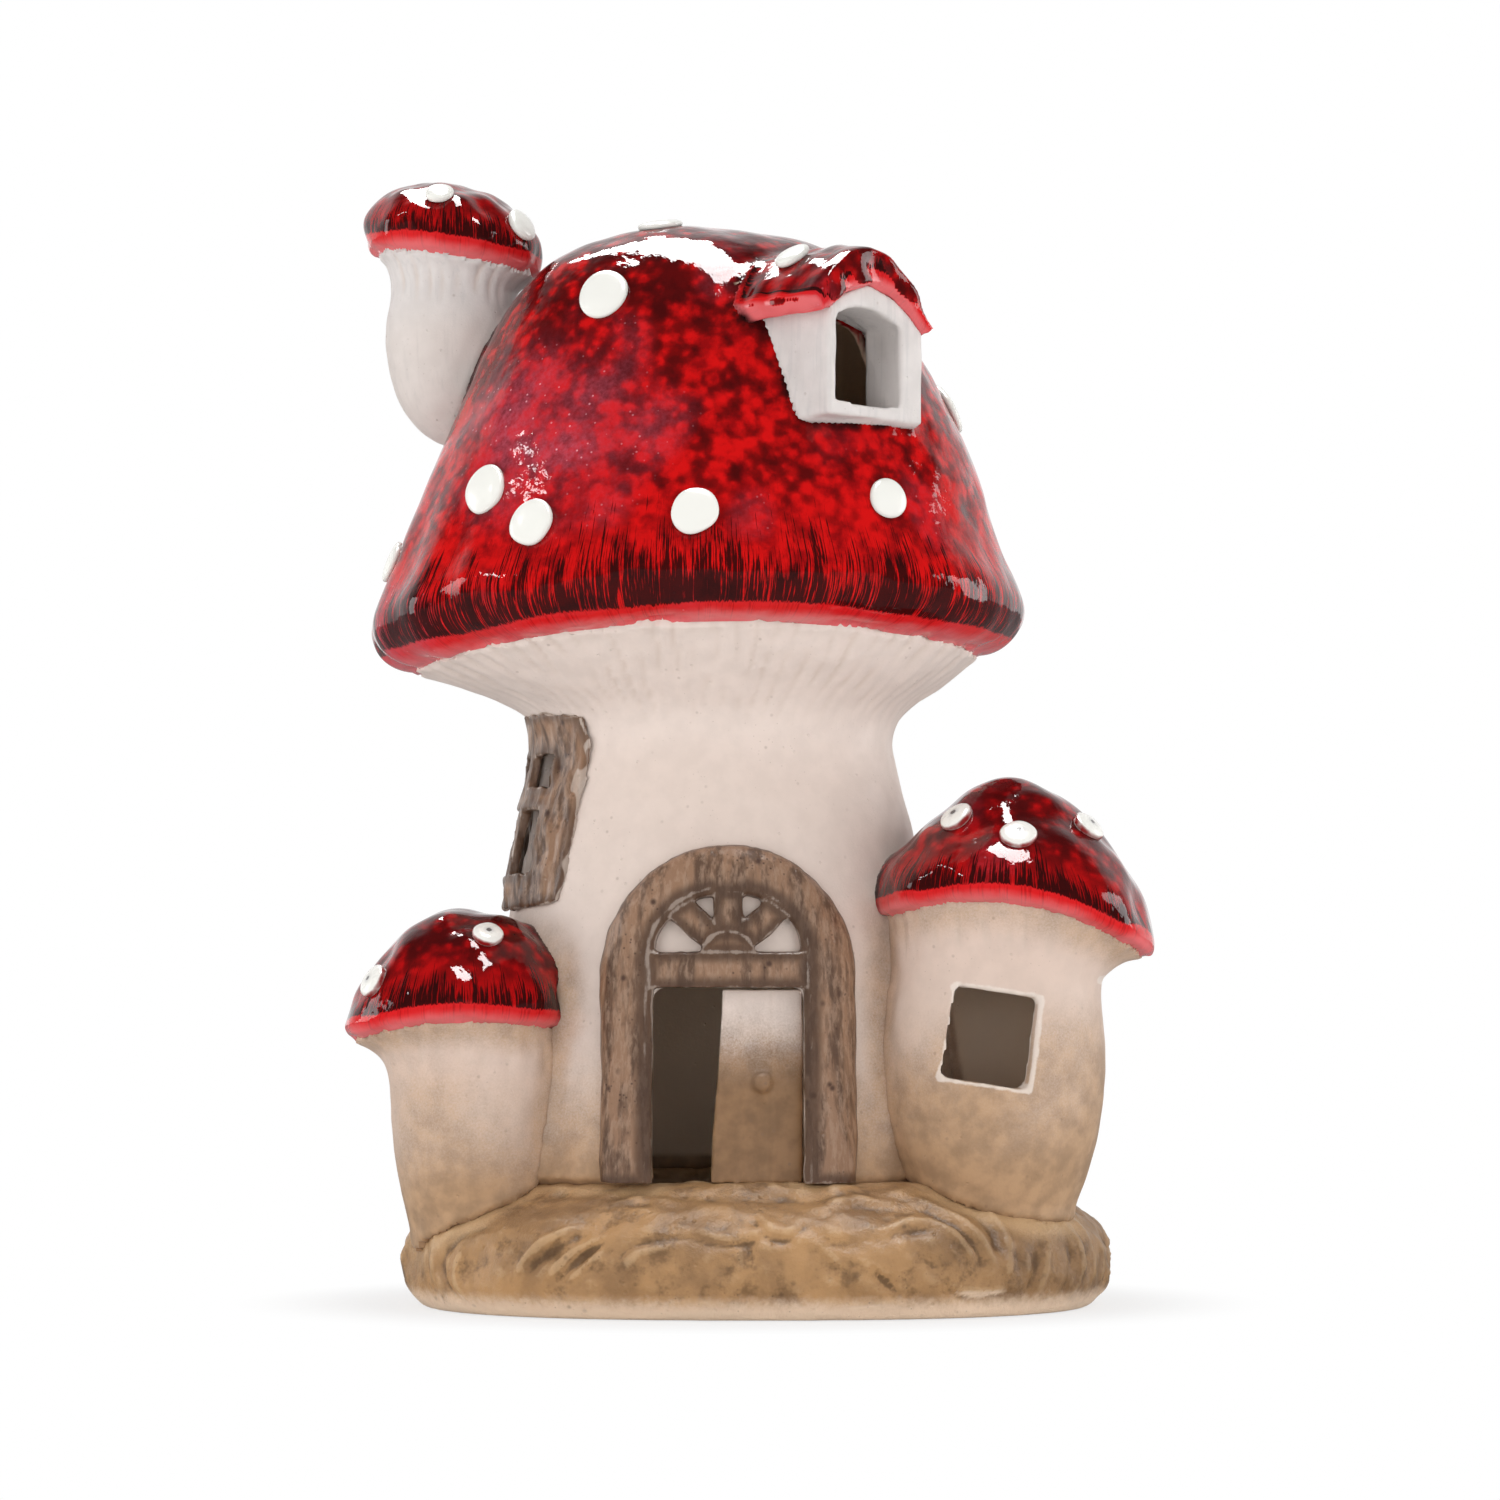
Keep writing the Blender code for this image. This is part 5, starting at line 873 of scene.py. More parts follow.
@dataclass(frozen=True)
class StrawPaint(Finish):
    """Tan paint over carved straw: dark in the hollows, dry-brushed pale on the ridges."""

    def wire(self, bench: Bench, shader: bpy.types.Node) -> None:
        """Wires the straw's paint into its shader."""
        place = bench.place()
        grain = bench.effect(Effects.clay_grain(), Place=place, Pits=0.14)
        spatter = bench.effect(Effects.spatter(), Place=place, Reach=0.2)
        ridge = bench.painted("ridge")
        patch = bench.noise(place, 14.0, 4.0, 0.6)
        rough = bench.noise(place, 1.6, 4.0, 0.65)
        uneven = bench.linear(rough, 0.35, ridge)
        colour = bench.mix(bench.step(patch, 0.35, 0.68), Paint.STRAW.rgba, Paint.STRAW_SHADE.rgba)
        hollow = bench.step(uneven, 0.14, -0.14)
        colour = bench.lay(colour, Paint.STRAW_DARK, hollow, 0.75)
        soot = bench.times(bench.step(bench.noise(place, 9.0, 4.0, 0.7), 0.5, 0.66), 0.6)
        colour = bench.lay(colour, Paint.STRAW_DARK, soot)
        worn = bench.times(bench.step(uneven, 0.26, 0.5), 0.5)
        colour = bench.lay(colour, Paint.STRAW_PALE, worn)
        foot = bench.linear(rough, 3.0, bench.painted("height"))
        # Painted shade: the mound darkens towards its right side.
        colour = bench.lay(colour, Paint.STRAW_DARK, bench.painted("painted_right_shade"))
        colour = bench.lay(colour, Paint.FOOT_PALE, bench.step(foot, 7.5, 3.2))
        spray = bench.effect(Effects.airbrush(), Place=place, Amount=bench.painted("pale"))
        colour = bench.lay(colour, Paint.STRAW_PALE, spray["Mask"], 0.8)
        colour = bench.lay(colour, Paint.STRAW_SPECK, spatter["Mask"], 0.5)
        inside = bench.painted("inside")
        bench.feed(shader.inputs["Base Color"], bench.mix(inside, colour, Paint.RAW_CLAY.rgba))
        bench.feed(shader.inputs["Roughness"], bench.linear(rough, 0.26, 0.3))
        shader.inputs["Specular IOR Level"].default_value = 0.28
        bench.feed(shader.inputs["Normal"], bench.bumps((rough, 0.35), (grain["Height"], 0.2)))


@dataclass(frozen=True)
class BrownPaint(Finish):
    """Half-gloss brown paint with dark specks, worn to bare clay at the arrises.

    Attributes:
        base: the paint's colour.
        bare: how much bare clay shows where the brown meets the wall, from 0 to 1.
        rubbed: how much it shows along the arrises.
        pooled: how dark the paint is beside the arrises.
    """

    base: Paint = Paint.BROWN
    bare: float = 0.7
    rubbed: float = 0.2
    pooled: float = 0.5

    def wire(self, bench: Bench, shader: bpy.types.Node) -> None:
        """Wires the brown paint into its shader."""
        place = bench.place()
        grain = bench.effect(Effects.clay_grain(), Place=place, Pits=0.14)
        spatter = bench.effect(Effects.spatter(), Place=place, Reach=0.26)
        drawn = bench.add("Mapping")
        bench.feed(drawn.inputs["Vector"], place)
        drawn.inputs["Scale"].default_value = (1.0, 1.0, 0.3)
        fibre = bench.noise(drawn.outputs[0], 1.2, 4.0, 0.65)
        run = bench.add("Mapping")
        bench.feed(run.inputs["Vector"], place)
        run.inputs["Scale"].default_value = (1.0, 1.0, 0.16)
        patch = bench.noise(run.outputs[0], 3.4, 5.0, 0.62)
        ridge = bench.linear(fibre, 0.22, bench.painted("ridge"))
        smudge = bench.times(bench.step(patch, 0.42, 0.62), 0.8)
        colour = bench.mix(smudge, self.base.rgba, Paint.BROWN_DARK.rgba)
        pale = bench.times(bench.step(fibre, 0.44, 0.64), 0.55)
        colour = bench.lay(colour, Paint.BROWN_PALE, pale)
        hollow = bench.times(bench.step(ridge, 0.02, -0.14), 0.7)
        colour = bench.lay(colour, Paint.BROWN_DARK, hollow)
        colour = bench.lay(colour, Paint.BROWN_SPECK, spatter["Mask"], 0.85)
        edge = bench.linear(patch, 1.6, bench.less(bench.painted("arris"), 0.8))
        pooled = bench.times(bench.step(edge, 3.2, 0.9), self.pooled)
        colour = bench.lay(colour, Paint.BROWN_DARK, pooled)
        rubbed = bench.step(bench.plus(edge, bench.times(fibre, 0.8)), 0.85, 0.5)
        rubbed = bench.times(rubbed, self.rubbed)
        bare = bench.times(bench.step(bench.painted("bare"), 0.5, 0.8), self.bare)
        colour = bench.lay(colour, Paint.BARE, bench.math("MAXIMUM", rubbed, bare))
        bench.feed(shader.inputs["Base Color"], colour)
        bench.feed(shader.inputs["Roughness"], bench.linear(patch, 0.3, 0.2))
        shader.inputs["Specular IOR Level"].default_value = 0.5
        relief = bench.bumps((patch, 0.2), (fibre, 0.12), (grain["Height"], 0.2))
        bench.feed(shader.inputs["Normal"], relief)


@dataclass(frozen=True)
class Moulded(Finish):
    """A small moulded or drawn part of the lamp unit.

    Attributes:
        colour: its colour, as linear red, green and blue.
        rough: its mean roughness.
        grain: the size of its surface texture, in millimetres.
        depth: how deep the texture is.
        metal: 1 for metal, 0 for plastic or rubber.
    """

    colour: tuple[float, float, float] = (0.02, 0.02, 0.021)
    rough: float = 0.42
    grain: float = 0.35
    depth: float = 0.02
    metal: float = 0.0

    def wire(self, bench: Bench, shader: bpy.types.Node) -> None:
        """Wires the part's finish into its shader."""
        place = bench.place()
        fine = bench.noise(place, self.grain, 3.0, 0.6)
        handled = bench.noise(place, 6.0, 3.0)
        paler = tuple(min(1.0, 1.35 * part + 0.004) for part in self.colour) + (1.0,)
        colour = bench.mix(bench.step(handled, 0.35, 0.75), (*self.colour, 1.0), paler)
        bench.feed(shader.inputs["Base Color"], colour)
        bench.feed(shader.inputs["Roughness"], bench.linear(handled, 0.18, self.rough - 0.08))
        shader.inputs["Metallic"].default_value = self.metal
        bench.feed(shader.inputs["Normal"], bench.bumps((fine, self.depth)))


@dataclass(frozen=True)
class LampLens(Finish):
    """The lamp's milky epoxy lens, unlit, with its warm phosphor showing through."""

    def wire(self, bench: Bench, shader: bpy.types.Node) -> None:
        """Wires the lens into its shader."""
        place = bench.place()
        cloud = bench.noise(place, 1.4, 2.0)
        colour = bench.mix(cloud, Paint.LENS_PALE.rgba, Paint.LENS_WARM.rgba)
        bench.feed(shader.inputs["Base Color"], colour)
        bench.feed(shader.inputs["Roughness"], bench.linear(cloud, 0.08, 0.06))
        shader.inputs["Transmission Weight"].default_value = 0.35
        shader.inputs["IOR"].default_value = 1.54


MAIN_GLAZE = RedGlaze("red_glaze_main", Edge.MAIN, 0.47, 0.12)
SMALL_GLAZE = RedGlaze("red_glaze_small", Edge.SMALL, 0.57, 0.6)
ROOF_GLAZE = RedGlaze("red_glaze_roof", Edge.ROOF, 0.56, 0.6)
CREAM_CLAY = SprayedClay("cream_clay", Paint.CREAM, 0.3)
STEM_CLAY = SprayedClay("stem_clay", Paint.STEM_CREAM, 0.35)
WHITE_CLAY = SprayedClay("white_clay", Paint.WHITE_CLAY, 0.3, 0.24)
LEAF_CLAY = SprayedClay("leaf_clay", Paint.CREAM, 0.5, 0.0, Paint.TAN_DEEP)
STRAW = StrawPaint("straw_paint")
DOOR_BROWN = BrownPaint("door_brown", Paint.BROWN, 0.9, 0.3, 0.8)
WINDOW_BROWN = BrownPaint("window_brown", Paint.BROWN, 0.4, 0.55, 0.6)
CASE = Moulded("black_case")
CELL_WRAP = Moulded("cell_wrap", (0.03, 0.12, 0.07), 0.3, 1.4, 0.01, 0.2)
PLATED = Moulded("plated_steel", (0.62, 0.62, 0.6), 0.24, 0.8, 0.01, 1.0)
SPRING_WIRE = Moulded("spring_steel", (0.6, 0.6, 0.58), 0.2, 0.5, 0.01, 1.0)


@dataclass
class Dabs:
    """The raised white dots on one cap.

    Attributes:
        nodes: the CAD nodes of the dots.
        centre: a point inside the cap, which the dots face away from.
        pinhole: whether each was pricked in its middle.
    """

    nodes: list[str]
    centre: Vector
    pinhole: bool = False

    def build(self) -> None:
        """Makes each dot where its node is."""
        for number, node in enumerate(self.nodes):
            self.dab(node, SEED + number)

    def dab(self, node: str, seed: int) -> None:
        """Makes one dot.

        Args:
            node: its CAD node.
            seed: which uneven outline it gets.
        """
        corners = corners_of(node)
        middle = (corners.max(0) + corners.min(0)) / 2.0
        axes = np.linalg.svd(corners - corners.mean(0), full_matrices=False)[2]
        out = axes[2] * np.sign(axes[2] @ (middle - np.array(self.centre)))
        along = axes[0]
        across = np.cross(out, along)
        spread = corners - middle
        half = tuple(np.abs(spread @ way).max() for way in (along, across, out))
        deselect()
        bpy.ops.mesh.primitive_uv_sphere_add(segments=40, ring_count=20, radius=1.0)
        shape = Sculpture(bpy.context.object)
        shape.piece.name = node + "_dab"
        shape.piece.data.name = node + "_dab"
        ball = shape.points()
        flat = np.linalg.norm(ball[:, :2], axis=1)
        turn = np.arctan2(ball[:, 1], ball[:, 0])
        chance = np.random.default_rng(seed)
        uneven = np.ones(len(ball))
        for order in range(2, 6):
            depth = chance.uniform(0.0, 0.035) / order * 2.0
            uneven += depth * np.cos(order * turn + chance.uniform(0.0, 6.3))
        plump = np.sign(ball[:, 2]) * np.abs(ball[:, 2]) ** 0.8
        fat = np.sign(flat) * np.abs(flat) ** 0.82
        scale = np.divide(fat, flat, out=np.ones_like(flat), where=flat > 1e-6)
        x = ball[:, 0] * scale * uneven * half[0]
        y = ball[:, 1] * scale * uneven * half[1]
        dish = 0.12 * MM * np.cos(np.clip(fat * 1.6, 0.0, 1.0) * math.pi) if self.pinhole else 0.0
        z = plump * half[2] + dish * (ball[:, 2] < 0.0)
        base = middle - out * half[2] * 0.15
        shape.place(base + x[:, None] * along + y[:, None] * across + z[:, None] * out)
        shape.paint("middle", fat)
        finish = WhiteSlip("white_slip_pricked" if self.pinhole else "white_slip", self.pinhole)
        shape.finish("house", "white_slip", finish, node, angle=80.0)


class Boxed:
    """Something that stands for one CAD node.

    Attributes:
        node: the CAD node.
    """

    node: str

    def centre(self) -> Vector:
        """The middle of the node's box, in metres."""
        low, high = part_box(self.node)
        return (low + high) / 2.0


@dataclass
class Cap(Boxed):
    """One glazed cap.

    Attributes:
        node: its CAD node.
        seat: the node whose flare it stands on.
        neighbours: nodes that are joined to its top, round which dark glaze and painted shade are
            laid.
        dots: the nodes of its white dots.
        finish: its glaze.
        voxel: the fine mesh's step, in millimetres.
        swell: how uneven its surface is, in millimetres.
        radius: the radius at which strokes keep their width, in millimetres.
        pinhole: whether its dots were pricked.
    """

    node: str
    seat: str
    neighbours: tuple[str, ...]
    dots: list[str]
    finish: RedGlaze
    voxel: float
    swell: float
    radius: float
    pinhole: bool = False

    def rim_height(self, turn: np.ndarray) -> np.ndarray:
        """The rim's lowest edge at each turn round the cap, in metres."""
        corners = corners_of(self.node)
        angle = turns_round(corners, self.centre())
        stops = np.linspace(-math.pi, math.pi, 25)
        width = stops[1] - stops[0]
        feet = []
        for stop in stops:
            off = np.abs((angle - stop + math.pi) % (2.0 * math.pi) - math.pi)
            feet.append(corners[off < 0.75 * width, 2].min())
        return np.interp(turn, stops, feet)

    def build(self) -> None:
        """Makes the cap and its dots."""
        shape = Sculpture.from_node(self.node, self.node + "_glazed")
        shape.cast(self.voxel)
        self.sculpt(shape)
        if self.neighbours:
            shape.join_to(*self.neighbours, reach=3.0, lift=0.7)
        shape.join_to(self.seat, reach=1.5, lift=0.0, sink=0.3)
        self.mark(shape)
        shape.finish("house", "red_glaze", self.finish, self.node)
        Dabs(self.dots, self.centre(), pinhole=self.pinhole).build()

    def sculpt(self, shape: Sculpture) -> None:
        """Makes the glaze's surface uneven by hand."""
        outer = 1.0 - shape.hollow_side(self.centre())
        places = shape.points()
        broad = undulation(places, 34.0 * MM * self.radius / 76.0, SEED)
        near = undulation(places, 11.0 * MM, SEED + 1)
        shape.push((self.swell * broad + 0.35 * self.swell * near) * outer)

    def mark(self, shape: Sculpture) -> None:
        """Keeps on the vertices what the glaze needs to know."""
        places = shape.points()
        rise, along = self.brushed(places)
        shape.paint("rise", rise)
        shape.paint("brush", np.stack([along, rise, np.zeros(len(rise))], axis=1))
        shape.paint("inside", self.inner(shape, rise))
        shape.paint("haze_and_sheen", self.haze_and_sheen(places))
        shape.paint("join_and_dot_shade", self.join_and_dot_shade(shape))

    def brushed(self, places: np.ndarray) -> tuple[np.ndarray, np.ndarray]:
        """The height over the rim and the distance along it, in millimetres."""
        turn = turns_round(places, self.centre())
        rise = (places[:, 2] - self.rim_height(turn)) / MM
        return rise, (turn + math.pi / 2.0 + math.pi) % (2.0 * math.pi) * self.radius

    def inner(self, shape: Sculpture, rise: np.ndarray) -> np.ndarray:
        """0 to 1 for each vertex, 1 on the unglazed inner side."""
        return shape.hollow_side(self.centre()) * ease(rise, 3.0, 6.0)

    def haze_and_sheen(self, places: np.ndarray) -> np.ndarray:
        """Where the red has a faint milky bloom, from 0 to 1; the main cap adds a painted sheen to
        it.
        """
        cloud = undulation(places, 26.0 * MM, SEED + 3)
        return 0.2 * ease(cloud, 0.5, 1.6)

    def join_and_dot_shade(self, shape: Sculpture) -> np.ndarray:
        """Where the cap is darkened, from 0 to 1: dark glaze and painted shade in the joins round
        what stands on it, and a painted shadow round each dot.
        """
        amount = np.zeros(len(shape.points()))
        if self.neighbours:
            gaps, _ = shape.distance(surface_of(*self.neighbours), 5.0)
            amount = ease(gaps, 3.2, 0.9)
        gaps, _ = shape.distance(surface_of(*self.dots), 2.4)
        return np.maximum(amount, 0.5 * ease(gaps, 1.3, 0.3))


@dataclass
class MainCap(Cap):
    """The big cap.

    Attributes:
        sheen_and_bloom: where its left flank has a painted pink sheen.
        rim_sheen: where its lip has a painted pink sheen.
        lump: where a low lump of glaze stands, behind on its right.
    """

    sheen_and_bloom: Vector = field(default_factory=lambda: Vector((-48.0, -44.0, 196.0)) * MM)
    rim_sheen: Vector = field(default_factory=lambda: Vector((-84.0, -22.0, 152.0)) * MM)
    lump: Vector = field(default_factory=lambda: Vector((46.0, 14.0, 199.0)) * MM)

    def sculpt(self, shape: Sculpture) -> None:
        """Makes the glaze uneven, flutes the skirt and raises the lump."""
        super().sculpt(shape)
        places = shape.points()
        outer = 1.0 - shape.hollow_side(self.centre())
        centre = self.centre()
        turn = turns_round(places, centre)
        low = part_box(self.node)[0].z
        skirt = ease(places[:, 2], low + 34.0 * MM, low + 8.0 * MM)
        flutes = np.sin(turn * 9.0 + 0.8) + 0.6 * np.sin(turn * 17.0 + 2.0)
        lump = ease(np.linalg.norm(places - np.array(self.lump), axis=1), 11.0 * MM, 2.0 * MM)
        left = ease((centre.x - places[:, 0]) / MM, 30.0, 62.0)
        left *= ease(places[:, 2], low + 62.0 * MM, low + 22.0 * MM)
        folds = np.sin(turn * 22.0 + 0.02 * places[:, 2] / MM)
        shape.push((0.28 * flutes * skirt + 0.45 * folds * left + 1.8 * lump) * outer)

    def haze_and_sheen(self, places: np.ndarray) -> np.ndarray:
        """A pink sheen painted on the left flank and the left lip, over a faint milky bloom all
        round.
        """
        gap = (places - np.array(self.sheen_and_bloom)) / (np.array([30.0, 40.0, 24.0]) * MM)
        near = ease(np.linalg.norm(gap, axis=1), 1.25, 0.25)
        rim = (places - np.array(self.rim_sheen)) / (np.array([16.0, 46.0, 13.0]) * MM)
        near = np.maximum(near, ease(np.linalg.norm(rim, axis=1), 1.2, 0.4))
        cloud = ease(undulation(places, 22.0 * MM, SEED + 5), -1.0, 0.9)
        return np.clip(super().haze_and_sheen(places) + 0.95 * near * (0.35 + 0.65 * cloud), 0.0, 0.95)


@dataclass
class DormerRoof(Cap):
    """The dormer's little roof, glazed like the caps."""

    def rim_under(self, places: np.ndarray) -> np.ndarray:
        """The roof's underside straight below or above each place, in metres."""
        tree = surface_of(self.node)
        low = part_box(self.node)[0].z - 20.0 * MM
        heights = np.full(len(places), low + 20.0 * MM)
        for index, place in enumerate(places):
            hit, _, _, _ = tree.ray_cast(Vector((place[0], place[1], low)), Vector((0.0, 0.0, 1.0)))
            if hit is not None:
                heights[index] = hit.z
        return heights

    def brushed(self, places: np.ndarray) -> tuple[np.ndarray, np.ndarray]:
        """The height over the underside and the distance along the eaves, in millimetres."""
        rise = (places[:, 2] - self.rim_under(places)) / MM
        return rise, (places[:, 0] + places[:, 1]) / MM

    def inner(self, shape: Sculpture, rise: np.ndarray) -> np.ndarray:
        """Nothing: the roof has no inner side."""
        return np.zeros(len(rise))


@dataclass
class Wall(Boxed):
    """A wall of painted clay: a stalk, a stem, the dormer's walls or the door's leaf.

    Attributes:
        node: its CAD node.
        neighbours: nodes that it was joined to with slip.
        finish: its paint.
        slot: the record's material slot.
        voxel: the fine mesh's step, in millimetres.
        swell: how uneven its surface is, in millimetres.
        sharp: edges sharper than this, in degrees, stay.
        sprayed: the heights between which the tan spray fades out, in millimetres.
        hollow: whether it has an inner side of raw clay.
    """

    node: str
    neighbours: tuple[str, ...]
    finish: Finish
    slot: str
    voxel: float = 0.8
    swell: float = 0.25
    sharp: float = 38.0
    sprayed: tuple[float, float] = (30.0, 75.0)
    hollow: bool = True

    def build(self) -> None:
        """Makes the wall."""
        shape = Sculpture.from_node(self.node, self.node + "_clay")
        shape.cast(self.voxel, self.sharp)
        places = shape.points()
        outer = np.ones(len(places))
        if self.hollow:
            outer = 1.0 - shape.hollow_side(self.centre())
        broad = undulation(places, 26.0 * MM, SEED + 11)
        near = undulation(places, 7.0 * MM, SEED + 12)
        shape.push((self.swell * broad + 0.3 * self.swell * near) * outer)
        shape.paint("painted_shade", self.carve(shape, outer))
        if self.neighbours:
            shape.join_to(*self.neighbours)
            shape.join_to(self.neighbours[-1], reach=2.6, lift=0.5, seal=2.8)
        self.mark(shape)
        shape.finish("house", self.slot, self.finish, self.node)

    def carve(self, shape: Sculpture, outer: np.ndarray) -> np.ndarray:
        """Adds the wall's own relief; a plain wall has none.

        Args:
            shape: the wall.
            outer: 0 to 1 for each vertex, 1 on the outside.

        Returns:
            0 to 1 for each vertex, 1 where shade is painted in; a plain wall has none.
        """
        return np.zeros(len(outer))

    def mark(self, shape: Sculpture) -> None:
        """Keeps on the vertices what the paint needs to know."""
        places = shape.points()
        low, high = self.sprayed
        drift = undulation(places, 40.0 * MM, SEED + 13) * 5.0
        spray = ease(places[:, 2] / MM + drift, high, low)
        painted_crease_shade, away = np.zeros(len(places)), np.ones(len(places))
        if self.neighbours:
            gaps, _ = shape.distance(surface_of(*self.neighbours), 12.0)
            away = ease(gaps, 3.5, 7.0)
            valley = ease(gaps, 11.0, 1.5) * ease(places[:, 2] / MM, high + 28.0, high - 8.0)
            spray = np.maximum(spray, 0.6 * valley)
            # Painted shade in the crease along the joint with the neighbours.
            painted_crease_shade = ease(gaps, 1.6, 0.4) * ease(places[:, 2] / MM, high + 18.0, low + 6.0) * 0.5
        shape.paint("tan", spray)
        shape.paint("painted_crease_shade", painted_crease_shade)
        inside, worn = np.zeros(len(places)), np.zeros(len(places))
        if self.hollow:
            arris = shape.arris_distance(self.node, 6.0)
            inside = shape.hollow_side(self.centre()) * ease(arris, 2.4, 3.8)
            # Painted highlight along the outer arrises of the openings.
            worn = ease(arris, 1.9, 0.5) * away
        shape.paint("inside", inside)
        shape.paint("worn", worn)


@dataclass
class GilledWall(Wall):
    """A stalk or stem whose flare under the cap is scored with gills.

    Attributes:
        gills: how many there are all round.
        collar: how far down from the top they reach, in millimetres.
        depth: how deep they are, in millimetres.
    """

    gills: int = 60
    collar: float = 26.0
    depth: float = 0.3

    def carve(self, shape: Sculpture, outer: np.ndarray) -> np.ndarray:
        """Scores the gills; returns the shade painted into their grooves and down the shaft below
        the flare.
        """
        places = shape.points()
        turn = turns_round(places, self.centre())
        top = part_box(self.node)[1].z
        flare = ease(places[:, 2], top - self.collar * MM, top - 0.45 * self.collar * MM)
        wander = 1.1 * undulation(places * np.array([1.0, 1.0, 0.3]), 18.0 * MM, SEED + 21)
        score = np.cos(turn * self.gills + wander)
        break_up = ease(undulation(places, 11.0 * MM, SEED + 22), -1.2, 0.9)
        groove = ease(score, 0.35, 1.0) * flare * outer * break_up
        ridge = ease(-score, 0.2, 1.0) * flare * outer
        shape.push(self.depth * (0.4 * ridge - groove))
        # Painted shade: the shaft below the flare is darkened.
        shaft = ease(places[:, 2], top - 0.6 * self.collar * MM, top - 1.4 * self.collar * MM)
        return np.maximum(groove, 0.75 * shaft * outer)


@dataclass
class Stroke:
    """One ridge of straw on the mound, as points of arc and height in millimetres.

    Attributes:
        line: its points.
        width: half its width.
        height: how far it stands out; below 0 it is a groove.
    """

    line: np.ndarray
    width: float
    height: float

    @classmethod
    def through(cls, width: float, height: float, *points: tuple[float, float]) -> "Stroke":
        """A stroke along a smooth curve.

        Args:
            width: half its width.
            height: how far it stands out.
            points: a few points that it passes through.

        Returns:
            The stroke.
        """
        given = np.array(points)
        stops = np.linspace(0.0, 1.0, len(given))
        fine = np.linspace(0.0, 1.0, 4 * len(given) - 1)
        curves = [np.polyfit(stops, given[:, axis], len(given) - 1) for axis in (0, 1)]
        return cls(np.stack([np.polyval(curve, fine) for curve in curves], axis=1), width, height)

    def lift(self, arc: np.ndarray, level: np.ndarray) -> np.ndarray:
        """How far it raises each place, in millimetres.

        Args:
            arc: the places' distance round the mound.
            level: their height.

        Returns:
            The lift at each place.
        """
        total = np.zeros(len(arc))
        low = self.line.min(0) - 3.0 * self.width
        high = self.line.max(0) + 3.0 * self.width
        close = (arc > low[0]) & (arc < high[0]) & (level > low[1]) & (level < high[1])
        where = np.stack([arc[close], level[close]], axis=1)
        best = np.full(len(where), 1e9)
        share = np.zeros(len(where))
        steps = len(self.line) - 1
        for index in range(steps):
            start, end = self.line[index], self.line[index + 1]
            run = end - start
            t = np.clip((where - start) @ run / max(run @ run, 1e-9), 0.0, 1.0)
            gap = np.linalg.norm(where - start - t[:, None] * run, axis=1)
            nearer = gap < best
            best[nearer] = gap[nearer]
            share[nearer] = (index + t[nearer]) / steps
        taper = np.sin(np.clip(share, 0.02, 0.98) * math.pi) ** 0.5
        width = self.width * (0.45 + 0.55 * taper)
        total[close] = self.height * taper * np.exp(-((best / width) ** 2))
        return total


